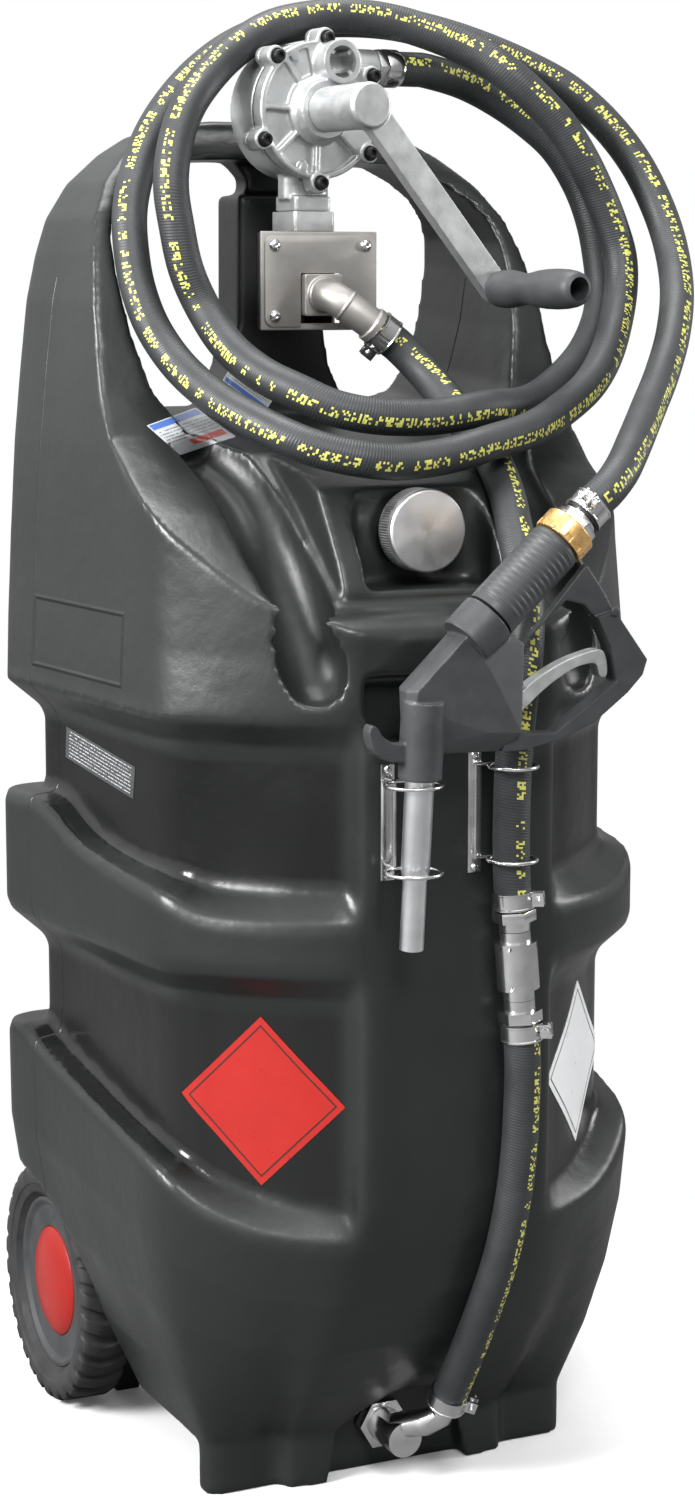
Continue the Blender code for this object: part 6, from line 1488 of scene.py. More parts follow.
def pump_cover():
    rib = 0.0024
    rim = PUMP_RADIUS - 0.0035
    outline = lobed(PUMP_RADIUS, EAR_ANGLES, EAR_REACH, EAR_RADIUS, 300)
    cover = prism(outline, COVER_LOW, COVER_HIGH + 0.0018)
    pocket = ring(INLET_RADIUS * 1.22, rim - 0.0015, COVER_HIGH - 0.0030, COVER_HIGH + OVERRUN)
    for angle in (128, 178, 222, 268, 318, 20):
        bar = block(
            (INLET_RADIUS, -rib, COVER_HIGH - OVERRUN), (PUMP_RADIUS * 1.1, rib, COVER_HIGH + 2 * OVERRUN))
        pocket = cut(pocket, moved(bar, Matrix.Rotation(math.radians(angle), 4, "Z")))
    quarter = [(0, 0)] + [
        (PUMP_RADIUS * 1.1 * math.cos(math.radians(a)), PUMP_RADIUS * 1.1 * math.sin(math.radians(a)))
        for a in range(-38, 112, 10)]
    pocket = cut(pocket, prism(quarter, COVER_HIGH - OVERRUN, COVER_HIGH + 2 * OVERRUN))
    cover = cut(cover, pocket)
    boss = lathe([
        (0, COVER_LOW + rib), (INLET_RADIUS * 1.36, COVER_LOW + rib),
        (INLET_RADIUS * 1.30, COVER_HIGH + 0.002), (INLET_RADIUS * 1.16, COVER_HIGH + 0.005),
        (INLET_RADIUS * 1.08, BOSS_HIGH), (0, BOSS_HIGH)])
    socket = shifted(disc(0.0185, COVER_HIGH - rib, BOSS_HIGH + rib * 2.6), x=SOCKET_X, y=PORT_HEIGHT)
    cover = fuse(cover, boss, socket)
    for angle in EAR_ANGLES:
        cover = fuse(cover, stud(angle, EAR_RADIUS * 0.95, EAR_REACH, COVER_HIGH - rib, COVER_HIGH + 0.0028))
    for angle, reach in ((118, 0.050), (252, 0.050), (8, 0.051)):
        cover = fuse(cover, stud(math.radians(angle), 0.0042, reach, COVER_HIGH - 0.004, COVER_HIGH + 0.0022))
    cover = moulded(cover, 0.0010, 3)
    cup = shifted(
        lathe([
            (0, COVER_HIGH - 0.002), (0.0125, COVER_HIGH - 0.002), (0.0140, BOSS_HIGH + OVERRUN),
            (0, BOSS_HIGH + OVERRUN)]),
        x=SOCKET_X, y=PORT_HEIGHT)
    lugs = [
        moved(
            block((0.0098, -0.0017, 0), (0.02, 0.0017, BOSS_HIGH + rib * 1.4)),
            Matrix.Rotation(math.radians(a), 4, "Z"))
        for a in (45, 135, 225, 315)]
    for lug in lugs:
        cup = cut(cup, shifted(lug, x=SOCKET_X, y=PORT_HEIGHT))
    return cut(cover, cup, disc(SHAFT_RADIUS + 0.0053, COVER_LOW - OVERRUN, BOSS_HIGH + OVERRUN))


pump_place = pump_frame()
dress("pump_housing", pump_housing(), cast_aluminium, pump_place, ease=0)
dress("pump_cover", frontways(pump_cover()), cast_aluminium, pump_place, ease=0)
print("housing and cover ready")

# %% [markdown]
# A screw has a round head with a hexagon socket, on a washer. The CAD model has no solid for a screw,
# so each one rides with the cover and stands for nothing.

# %% Screws of the pump
for count, angle in enumerate(EAR_ANGLES):
    head = lathe([
        (0, 0), (HEAD_RADIUS, 0), (HEAD_RADIUS, 0.0052), (HEAD_RADIUS - 0.0007, 0.0059), (0, 0.0059)])
    head = cut(head, moved(disc(0.0030, 0.0026, OVERRUN, 6), Matrix.Rotation(angle * 3, 4, "Z")))
    washer = disc(HEAD_RADIUS + 0.0014, -0.0006, 0.0007)
    head = fuse(head, washer)
    spot = Vector((EAR_REACH * math.cos(angle), EAR_REACH * math.sin(angle), COVER_HIGH + 0.0030))
    screw = frontways(shifted(eased(head, 0.0003), *spot))
    screw.transform(pump_place)
    add("cover_screw_" + str(count + 1), screw, black_steel, "pump_cover", False, 40)
print(len(EAR_ANGLES), "screws")

# %% [markdown]
# The rotor turns off the middle of its chamber, so the two vanes sweep fuel from one port to the
# other. None of this shows while the pump is whole, but each piece has its own shape and finish, for
# a view without the cover. The flange and the outlet's ferrule do show.

# %% Inner pieces of the pump, and its fittings
def pump_inside():
    bearing_radius = SHAFT_RADIUS + 0.005
    gasket_low = -PUMP_SPLIT + GAP
    seal = ring(CHAMBER_RADIUS + CHAMBER_OFFSET + GAP, PUMP_RADIUS - GAP, gasket_low, gasket_low + 0.001)
    dress("pump_gasket", frontways(seal), seal_rubber, pump_place, ease=0)
    rotor_low = -CHAMBER_REAR + GAP
    rotor_high = -PUMP_SPLIT
    vane = 0.0015
    slots = [
        moved(
            block(
                (ROTOR_RADIUS * 0.55, -vane - GAP, rotor_low - OVERRUN),
                (CHAMBER_RADIUS, vane + GAP, rotor_high + OVERRUN)),
            Matrix.Rotation(math.radians(angle), 4, "Z"))
        for angle in VANE_ANGLES]
    rotor = cut(ring(SHAFT_RADIUS + GAP, ROTOR_RADIUS, rotor_low, rotor_high), *slots)
    dress("pump_rotor", frontways(rotor), grey_steel, pump_place)
    for name, angle in zip(("vane_one", "vane_two"), VANE_ANGLES):
        blade = moved(
            block((ROTOR_RADIUS * 0.62, -vane, rotor_low), (VANE_REACH, vane, rotor_high)),
            Matrix.Rotation(math.radians(angle), 4, "Z"))
        dress(name, frontways(blade), vane_plastic, pump_place)
    shaft = disc(SHAFT_RADIUS, -CHAMBER_REAR - HOUSING_WALL / 2, -HUB_FRONT - CRANK_THICKNESS)
    dress("pump_shaft", frontways(shaft), grey_steel, pump_place)
    dress(
        "shaft_bearing", frontways(ring(SHAFT_RADIUS + GAP, bearing_radius, COVER_LOW, COVER_HIGH)),
        grey_steel, pump_place)
    lip = ring(SHAFT_RADIUS + GAP, bearing_radius, COVER_HIGH + GAP, BOSS_HIGH - SHEET)
    dress("shaft_seal", frontways(lip), seal_rubber, pump_place)
    nut = eased(hexagon(PORT_BORE * 3.75, PORT_END + GAP, PORT_END + SHEET * 3.2, PORT_BORE), 0.0008)
    barrel = lathe([
        (PORT_BORE, PORT_END + SHEET * 3), (HOSE_RADIUS * 1.02, PORT_END + SHEET * 3),
        (HOSE_RADIUS * 1.10, PORT_END + SHEET * 3.6), (HOSE_RADIUS * 1.10, FERRULE_END - 0.003),
        (HOSE_RADIUS * 1.02, FERRULE_END), (PORT_BORE, FERRULE_END)])
    fitting = shifted(sideways(fuse(nut, barrel)), y=PORT_Y, z=PORT_HEIGHT)
    dress("outlet_ferrule", fitting, bright_plate, pump_place, ease=0)
    square = prism(rounded(INLET_RADIUS * 0.9, INLET_RADIUS * 0.9, SHEET), FLANGE_LOW, FLANGE_SPLIT - GAP)
    square = cut(square, disc(PORT_BORE, FLANGE_LOW - OVERRUN, FLANGE_HIGH))
    dress("inlet_flange", shifted(square, y=INLET_Y), cast_aluminium, pump_place, ease=0.0012)


pump_inside()
print("inside of the pump ready")

# %% [markdown]
# The crank is a cast arm with a hub on the shaft, and a plastic grip turns on a pin at its end. The
# arm is softened as a casting, and the grip is turned from a table of shares of its length and radius.

# %% Crank
def crank():
    turn = pump_place @ Matrix.Rotation(-CRANK_REST, 4, "Y")
    front = -HUB_FRONT
    hub = lathe([
        (SHAFT_RADIUS + GAP, BOSS_HIGH + GAP), (CRANK_HUB_RADIUS * 0.98, BOSS_HIGH + GAP),
        (CRANK_HUB_RADIUS * 0.98, front - CRANK_THICKNESS * 1.9),
        (CRANK_HUB_RADIUS, front - CRANK_THICKNESS * 1.8), (CRANK_HUB_RADIUS, front - 0.0035),
        (CRANK_HUB_RADIUS * 0.94, front - 0.0012), (CRANK_HUB_RADIUS * 0.90, front),
        (SHAFT_RADIUS + GAP, front)])
    hub = fuse(hub, disc(CRANK_HUB_RADIUS * 0.9, front - CRANK_THICKNESS + GAP, front))
    arm_high = front - CRANK_THICKNESS / 3
    arm = block((0, -CRANK_WIDTH / 2, arm_high - CRANK_THICKNESS), (CRANK_THROW, CRANK_WIDTH / 2, arm_high))
    end = shifted(disc(CRANK_WIDTH / 2, arm_high - CRANK_THICKNESS, arm_high), x=CRANK_THROW)
    pin_radius = 0.005
    whole = moulded(fuse(hub, arm, end), 0.0010, 2)
    pin_hole = shifted(
        disc(pin_radius + GAP, arm_high - CRANK_THICKNESS - OVERRUN, arm_high + OVERRUN), x=CRANK_THROW)
    whole = cut(whole, disc(SHAFT_RADIUS + GAP, 0, front - CRANK_THICKNESS + GAP), pin_hole)
    dress("crank_arm", frontways(whole), cast_aluminium, turn, ease=0)
    rivet = 0.0025
    grip_low = arm_high + GAP
    grip_high = grip_low + GRIP_LENGTH
    pin = lathe([
        (0, arm_high - CRANK_THICKNESS - rivet), (pin_radius * 1.6, arm_high - CRANK_THICKNESS - rivet),
        (pin_radius * 1.6, arm_high - CRANK_THICKNESS - GAP), (pin_radius, arm_high - CRANK_THICKNESS - GAP),
        (pin_radius, grip_high - GRIP_LENGTH / 4), (0, grip_high - GRIP_LENGTH / 4)])
    dress("grip_pin", frontways(shifted(pin, x=CRANK_THROW)), grey_steel, turn)
    bore = pin_radius + GAP
    outline = [
        (0.0, 0.90), (0.03, 0.95), (0.10, 0.985), (0.17, 0.98), (0.24, 0.91), (0.31, 0.83), (0.37, 0.81),
        (0.44, 0.86), (0.52, 0.95), (0.62, 1.01), (0.74, 1.03), (0.85, 1.0), (0.93, 0.93), (0.97, 0.86),
        (0.99, 0.76), (1.0, 0.6)]
    profile = [(bore, grip_low)] + [(GRIP_RADIUS * b, grip_low + GRIP_LENGTH * a) for a, b in outline]
    profile += [(GRIP_RADIUS * 0.55, grip_high - GRIP_LENGTH / 5), (bore, grip_high - GRIP_LENGTH / 5)]
    dress("crank_grip", frontways(shifted(lathe(profile), x=CRANK_THROW)), boot_plastic, turn, ease=0)


crank()
print("crank ready")

# %% [markdown]
# ## Bracket and elbow
# A folded stainless box is bolted to the column, and a cover plate with round corners hangs over its
# front like an upside-down U, so that the elbow of the suction line can come out below it. Domed
# screws hold the plate. The elbow is a stainless casting with a collar at its square block and
# another at the hose.

# %% Bracket, plate and riser
def bracket():
    depth = COLUMN_FRONT - GAP - BRACKET_FRONT
    window = BRACKET_HALF_WIDTH * 0.36
    arm_half = NECK_HALF_WIDTH
    front = block(
        (-BRACKET_HALF_WIDTH, BRACKET_FRONT, BRACKET_LOW),
        (BRACKET_HALF_WIDTH, BRACKET_FRONT + SHEET, BRACKET_HIGH))
    arm = block(
        (-arm_half, BRACKET_FRONT + SHEET / 2, BRACKET_LOW), (arm_half, BRACKET_FRONT + depth, BRACKET_HIGH))
    inside = block(
        (SHEET - arm_half, BRACKET_FRONT + SHEET, BRACKET_LOW + SHEET),
        (arm_half - SHEET, BRACKET_FRONT + depth - SHEET, BRACKET_HIGH - SHEET))
    riser_radius = 0.013
    opening = block(
        (-window, BRACKET_FRONT - OVERRUN, BRACKET_LOW + SHEET * 2),
        (BRACKET_HALF_WIDTH - SHEET * 2, BRACKET_FRONT + OVERRUN, BRACKET_HIGH - ELBOW_BLOCK * 2))
    riser_hole = shifted(
        disc(riser_radius + GAP, BRACKET_HIGH - OVERRUN / 2, BRACKET_HIGH + OVERRUN), y=PUMP_Y)
    box = eased(fuse(front, arm), 0.0012, 3)
    bolts = [
        shifted(frontways(hexagon(HEAD_RADIUS * 2.4, 0, HEAD_RADIUS)), x=x, y=COLUMN_FRONT - SHEET, z=z)
        for x in (-arm_half / 2, arm_half / 2) for z in (BRACKET_LOW + OVERRUN, BRACKET_HIGH - OVERRUN)]
    dress("bracket_box", fuse(cut(box, inside, opening, riser_hole), *bolts), brushed_stainless, ease=0.0003)
    high, low = BRACKET_HIGH - SHEET, BRACKET_LOW + SHEET
    half = BRACKET_HALF_WIDTH - SHEET
    face = SHEET * 0.7
    plate = frontways(
        prism(rounded(half, (high - low) / 2, 0.008), -BRACKET_FRONT + GAP, -BRACKET_FRONT + GAP + face))
    plate = shifted(plate, z=(high + low) / 2)
    slot = ELBOW_BLOCK + SHEET
    plate = cut(
        plate, block((-slot, -BRACKET_FRONT, low - OVERRUN), (slot, BRACKET_FRONT + OVERRUN, ELBOW_Z + slot)))
    dress("cover_plate", plate, brushed_stainless, ease=0.0005)
    inset = 0.009
    for count, (x, z) in enumerate((
            (-half + inset, low + inset), (-half + inset, high - inset), (half - inset, high - inset))):
        dome = lathe([
            (0, 0), (HEAD_RADIUS, 0), (HEAD_RADIUS, HEAD_RADIUS * 0.3),
            (HEAD_RADIUS * 0.93, HEAD_RADIUS * 0.52), (HEAD_RADIUS * 0.76, HEAD_RADIUS * 0.7),
            (HEAD_RADIUS * 0.5, HEAD_RADIUS * 0.82), (0.0019, HEAD_RADIUS * 0.87), (0, HEAD_RADIUS * 0.87)])
        dome = cut(dome, disc(0.0019, HEAD_RADIUS * 0.45, OVERRUN, 6))
        dome = shifted(frontways(dome), x=x, y=BRACKET_FRONT - GAP - face / 2, z=z)
        add("plate_screw_" + str(count + 1), dome, bright_plate, "cover_plate", False, 40)
    base = ELBOW_Z - ELBOW_BLOCK
    riser = fuse(
        shifted(disc(riser_radius, base, BRACKET_HIGH), y=PUMP_Y),
        shifted(frontways(disc(riser_radius, -PUMP_Y, -BRACKET_FRONT - SHEET)), z=ELBOW_Z))
    dress("riser_pipe", riser, brushed_stainless)


bracket()
print("bracket ready")

# %% [markdown]
# The elbow starts as a square block on the bracket and bends to the hose as a swept bar. Its collars
# and its seam are thin discs, set on the bar before all of it is softened together.

# %% Elbow
ELBOW_BEND_SHARES = ((0.028, 0.379, 0.036), (0.197, 0.69, 0.218), (0.449, 0.845, 0.473))
END_STEP = 0.001
END_LEAD = HOSE_RADIUS * 1.4


def hose_end(route, first):
    """One end of a hose, and the direction from there into it."""
    end = Vector(route[0] if first else route[-1])
    line, _ = even_steps(route, END_STEP)
    count = round(END_LEAD / END_STEP)
    other = line[count] if first else line[-1 - count]
    return end, (other - end).normalized()


def elbow():
    block_half = ELBOW_BLOCK
    square = frontways(
        prism(
            rounded(block_half * 1.15, block_half * 1.15, SHEET * 0.8, 4), -BRACKET_FRONT - SHEET + GAP,
            -ELBOW_FACE))
    square = shifted(square, z=ELBOW_Z)
    hose_start, axis = hose_end(SUCTION_ROUTE, True)
    start = Vector((0, ELBOW_FACE, ELBOW_Z))
    bends = [start + Vector(share) * (hose_start - start) for share in ELBOW_BEND_SHARES]
    path = [
        start + Vector((0, SHEET, 0)), start, *bends, hose_start - axis * block_half / 2,
        hose_start - axis * GAP]
    line, _ = even_steps(path, 0.002)
    bend = sweep(line, block_half * 0.90, 32)
    collar = moved(disc(block_half * 0.98, 0, 0.0045), along(start + Vector((0, 0.001, 0)), (0, -1, 0)))
    middle = len(line) // 2
    seam = moved(
        disc(block_half * 0.94, -0.0008, 0.0008), along(line[middle], line[middle + 1] - line[middle]))
    foot = moved(disc(block_half * 1.02, 0, 0.006), along(hose_start - axis * (0.006 + GAP), axis))
    whole = moulded(fuse(square, bend, collar, seam, foot), 0.0007, 2)
    dress("suction_elbow", whole, brushed_stainless, ease=0)


elbow()
print("elbow ready")

# %% [markdown]
# ## Clamps
# Each hose end is held by a bolted band: a strip of steel bent round the hose, with its two ends
# turned out as ears and a cross bolt through them. The strip has rolled edges, so it is turned from a
# profile with a lip on each side. The bolt has a round head, and its thread is a row of fine rings.

# %% Clamps
def clamp(origin, axis, ear_side):
    across = Vector(axis).cross(Vector(ear_side)).normalized()
    out = across.cross(axis).normalized()
    place = Matrix.Translation(origin) @ Matrix((out, across, axis)).transposed().to_4x4()
    inner = HOSE_RADIUS + GAP
    outer = inner + 0.0014
    half = CLAMP_LENGTH / 2
    band = lathe([
        (inner, -half), (outer + 0.0006, -half), (outer + 0.0006, -half + 0.0012), (outer, -half + 0.0018),
        (outer, half - 0.0018), (outer + 0.0006, half - 0.0012), (outer + 0.0006, half), (inner, half)])
    reach = outer + 0.0085
    ears = [
        block(
            (inner + 0.0006, side * 0.0034 - 0.0010, -half * 0.8),
            (reach, side * 0.0034 + 0.0010, half * 0.8))
        for side in (-1, 1)]
    saddle = block((inner + 0.0004, -0.0036, -half * 0.8), (outer + 0.0010, 0.0036, half * 0.8))
    bolt_radius = 0.0022
    profile = [(0, -0.0100), (0.0038, -0.0100), (0.0042, -0.0094), (0.0042, -0.0062), (bolt_radius, -0.0060)]
    profile += [(bolt_radius - (0.0004 if turn % 2 else 0), -0.0045 + turn * 0.0007) for turn in range(20)]
    profile += [(0, profile[-1][1])]
    bolt = moved(lathe(profile), Matrix.Rotation(math.radians(90), 4, "X"))
    nut = moved(disc(0.0042, -0.0052, -0.0024, 6), Matrix.Rotation(math.radians(90), 4, "X"))
    bolt_place = Matrix.Translation((reach - bolt_radius * 2.1, 0, 0))
    whole = fuse(band, saddle, *ears, moved(bolt, bolt_place), moved(nut, bolt_place))
    return moved(eased(whole, 0.00025), place)


def all_clamps():
    spots = (
        ("elbow_clamp", SUCTION_ROUTE, True, (-0.6, 0.3, -0.6)),
        ("valve_clamp_upper", SUCTION_ROUTE, False, (0.8, -0.6, 0)),
        ("valve_clamp_lower", OUTLET_ROUTE, True, (0.8, -0.6, 0)),
        ("outlet_clamp", OUTLET_ROUTE, False, (0.8, -0.5, 0)),
        ("nozzle_clamp", DELIVERY_ROUTE, False, (-0.5, -0.7, 0.4)))
    for name, route, first, ear_side in spots:
        end, axis = hose_end(route, first)
        dress(name, clamp(end + axis * CLAMP_LENGTH * 0.6, axis, ear_side), bright_plate, ease=0)


all_clamps()
print("clamps ready")

# %% [markdown]
# ## Check valve and outlet
# The check valve is a turned and plated body between two threaded inserts, with a brass poppet on a
# spring inside. The outlet is a bulkhead fitting through the foot of the tank with an elbow up to the
# lower hose. They are turned again here with many more steps and eased edges.

# %% Check valve
def check_valve():
    """Spring check valve between the two suction hoses, with a poppet that lifts to let fuel up."""
    upper, _ = hose_end(SUCTION_ROUTE, False)
    lower, _ = hose_end(OUTLET_ROUTE, True)
    low = GAP
    high = (upper - lower).length - GAP
    length = high - low
    collar = 0.009
    collar_across = 0.036
    body_across = 0.040
    bore = 0.0095
    wall = 0.0125
    body_low = low + length * 0.30
    body_high = high - length * 0.28
    place = along(lower, upper - lower)
    seat = body_low + length * 0.10
    chamber = body_across * 0.32
    body = lathe([
        (bore, body_low - collar), (wall, body_low - collar), (wall, body_low),
        (body_across * 0.43, body_low), (body_across * 0.43, body_high), (wall, body_high),
        (wall, body_high + collar), (bore, body_high + collar), (bore, body_high - collar / 2),
        (chamber, body_high - collar), (chamber, seat + collar / 3), (bore * 0.75, seat),
        (bore * 0.75, body_low + collar / 2), (bore, body_low + collar / 3)], 24)
    nut = hexagon(body_across, body_low + collar / 2, body_high - collar / 2, body_across * 0.40)
    dress("check_valve_body", fuse(body, eased(nut, 0.0009)), bright_plate, place, ease=0)
    for name, foot, head, flip in (
            ("valve_insert_upper", body_high + collar + GAP, high, True),
            ("valve_insert_lower", low, body_low - collar - GAP, False)):
        tube = ring(bore, wall, foot, head, 20)
        nut_low = head - collar if flip else foot
        nut = hexagon(collar_across, nut_low, nut_low + collar, (bore + wall) / 2)
        dress(name, fuse(tube, nut), bright_plate, place)
    poppet_radius = bore * 1.15
    top = seat + collar
    stem = 0.002
    poppet = lathe([
        (0, seat - GAP * 2), (bore * 0.7, seat + GAP), (poppet_radius, seat + collar / 3 + GAP),
        (poppet_radius, top), (stem, top), (stem, body_high - collar * 2), (0, body_high - collar * 2)], 18)
    dress("check_poppet", poppet, brass, place)
    solids["check_spring"].material_slots[0].material = grey_steel


check_valve()
print("check valve ready")

# %% [markdown]
# The outlet's hexagon holds a seal against the tank. The elbow is a short barrel joined to a bar that
# narrows up to the hose and ends in line with it.

# %% Outlet
OUTLET_BEND_SHARE = (0.575, 0.64, 0.33)


def outlet_parts():
    """Bulkhead fitting through the foot of the tank, its seal, and the elbow up to the hose."""
    place = Matrix.Translation((OUTLET_X, OUTLET_WALL, OUTLET_Z))
    bore = 0.008
    seal = 0.002
    nut = 0.011
    nut_across = 0.046
    shank = fuse(
        ring(bore, OUTLET_RADIUS, -OVERRUN, seal + GAP * 2 + nut, 20),
        hexagon(nut_across, seal + GAP * 2, seal + GAP * 2 + nut, (bore + OUTLET_RADIUS) / 2))
    dress("outlet_bulkhead", frontways(shank), bright_plate, place)
    dress(
        "outlet_seal", frontways(ring(OUTLET_RADIUS + GAP, nut_across * 0.42, GAP, GAP + seal, 20)),
        seal_rubber, place)
    face = seal + GAP * 3 + nut
    length = 0.040
    elbow_radius = 0.0155
    body = shifted(
        frontways(disc(elbow_radius, face, face + length, 20)), x=OUTLET_X, y=OUTLET_WALL, z=OUTLET_Z)
    end, axis = hose_end(OUTLET_ROUTE, False)
    start = Vector((OUTLET_X, OUTLET_WALL - face - length * 0.6, OUTLET_Z + bore))
    bend = start + Vector(OUTLET_BEND_SHARE) * (end - start)
    path = [start, bend, end - axis * bore * 1.4, end - axis * GAP]
    dress(
        "outlet_elbow",
        fuse(body, sweep(path, [elbow_radius * 0.75, elbow_radius * 0.75, bore * 1.3, bore * 1.3], 12)),
        bright_plate)


outlet_parts()
print("outlet ready")

# %% [markdown]
# ## Nozzle
# The nozzle is an aluminium valve in a moulded rubber boot. The boot has a flat facet in front that
# falls away to the sides along clear ridges, a ribbed grip, a web to a small pin, and a guard bar round
# the lever. The front facet is a smaller outline than the silhouette behind it, and a convex hull over
# both gives the ridges where the real boot has them.

# %% Tools of the nozzle
BODY_SHARES = (
    (-0.07, 0.03), (-0.08, 0.28), (0.15, 0.49), (0.27, 0.56), (0.44, 0.44), (0.35, 0.30), (0.33, 0.21),
    (0.37, 0.14), (0.33, 0.02), (0.07, 0.03))
GUARD_SHARES = (
    (0.45, 0.445), (0.72, 0.74), (0.80, 0.63), (0.87, 0.51), (0.99, 0.35), (0.97, 0.29), (0.90, 0.22),
    (0.75, 0.11), (0.59, 0.05), (0.43, 0.02), (0.335, 0.02), (0.375, 0.14), (0.44, 0.085), (0.57, 0.08),
    (0.74, 0.19), (0.85, 0.27), (0.82, 0.41), (0.76, 0.53), (0.71, 0.58), (0.63, 0.60))
LEVER_SHARES = (
    (0.36, 0.17), (0.385, 0.215), (0.48, 0.295), (0.62, 0.365), (0.75, 0.40), (0.79, 0.40), (0.81, 0.36),
    (0.815, 0.29), (0.78, 0.285), (0.77, 0.325), (0.755, 0.35), (0.66, 0.335), (0.53, 0.26), (0.42, 0.165))
HOOK_SHARES = (
    (-0.06, 0.00), (-0.16, 0.01), (-0.22, 0.05), (-0.24, 0.12), (-0.23, 0.16), (-0.20, 0.15), (-0.18, 0.11),
    (-0.13, 0.08), (-0.06, 0.075))
GRIP_START_SHARE = (0.30, 0.555)
GRIP_END_SHARE = (0.595, 0.826)
LEVER_PIVOT_SHARE = (0.385, 0.185)
STEM_SPOT_SHARE = (0.43, 0.262)
FACET_SHARES = (
    (0.155, 0.485), (-0.055, 0.285), (0.08, 0.165), (0.25, 0.105), (0.40, 0.095), (0.34, 0.19), (0.27, 0.33),
    (0.215, 0.41))
WEB_SHARES = (
    (0.45, 0.445), (0.72, 0.74), (0.80, 0.63), (0.88, 0.50), (0.85, 0.38), (0.80, 0.42), (0.76, 0.53),
    (0.71, 0.58), (0.63, 0.60))


def nozzle_outline(shares):
    return [(NOZZLE_X + a * NOZZLE_REACH, NOZZLE_Z + b * NOZZLE_REACH) for a, b in shares]


def slab(shares, thickness, middle=NOZZLE_Y):
    """Upright plate across the nozzle, from an outline in X and Z."""
    return frontways(prism(nozzle_outline(shares), -middle - thickness / 2, -middle + thickness / 2))


def nozzle_spot(share):
    (x, z), = nozzle_outline([share])
    return Vector((x, NOZZLE_Y, z))


def hull(points):
    """The smallest convex solid round points."""
    shape = bmesh.new()
    for point in points:
        shape.verts.new(point)
    made_of = bmesh.ops.convex_hull(shape, input=shape.verts)
    inner = made_of["geom_interior"] + made_of["geom_unused"]
    bmesh.ops.delete(
        shape, geom=[item for item in dict.fromkeys(inner) if isinstance(item, bmesh.types.BMVert)],
        context="VERTS")
    bmesh.ops.recalc_face_normals(shape, faces=shape.faces)
    return shape


def eased_outline(shares, passes=2):
    """An outline with its corners cut again and again, which rounds it."""
    for _ in range(passes):
        finer = []
        for (a, b), (c, d) in zip(shares, shares[1:] + shares[:1]):
            finer += [(a * 0.78 + c * 0.22, b * 0.78 + d * 0.22), (a * 0.22 + c * 0.78, b * 0.22 + d * 0.78)]
        shares = tuple(finer)
    return shares


spout_top = nozzle_spot((0, 0.03))
spout_tip = nozzle_spot((-0.01, -0.76)) + Vector((0, SPOUT_RADIUS, 0))
spout_down = (spout_tip - spout_top).normalized()
grip_low, grip_high = nozzle_spot(GRIP_START_SHARE), nozzle_spot(GRIP_END_SHARE)
grip_axis = (grip_high - grip_low).normalized()
grip_length = (grip_high - grip_low).length
pivot = nozzle_spot(LEVER_PIVOT_SHARE)
print("grip", round(grip_length, 3), "m long")

# %% [markdown]
# The grip is a sleeve with fine ribs on its left side. Ribs could be a relief of the finish, which
# costs no faces, but they show in the outline, so the rings of the sleeve carry them as a wave.

# %% Ribbed sleeve
SLEEVE_RADIUS = 0.0215
CORE_RADIUS = 0.014
RIB_STEP = 0.0006
RIB_PITCH = 0.0052
RIB_HEIGHT = 0.0011
LEVER_HALF = 0.0065
LEVER_PIN_RADIUS = 0.0025
STEM_RADIUS = 0.003
STEM_AXIS = Vector((-math.sin(math.radians(40)), 0, math.cos(math.radians(40))))


def ribbed(radius_at, low, high, place):
    """A sleeve whose left side carries fine ribs."""
    rings = []
    count = round((high - low) / RIB_STEP)
    for step in range(count + 1):
        share = step / count
        z = low + (high - low) * share
        points = []
        for side in range(64):
            turn = math.tau * side / 64
            place_turn = math.cos(turn - math.radians(150))
            rib = max(0, place_turn - 0.1) * (
                0.5 + 0.5 * math.cos(math.tau * z / RIB_PITCH)) if 0.08 < share < 0.92 else 0
            points.append((
                radius_at(share) * math.cos(turn) + RIB_HEIGHT * rib * math.cos(turn),
                radius_at(share) * math.sin(turn) + RIB_HEIGHT * rib * math.sin(turn), z))
        rings.append(points)
    return moved(skin(rings), place)


print("sleeve tool ready")

# %% [markdown]
# The boot is a hull over the nozzle's facets, softened and then cut for the lever, its pin and the
# stem. The guard is a slab with two sunk webs, and it keeps clear of the boot and the grip.

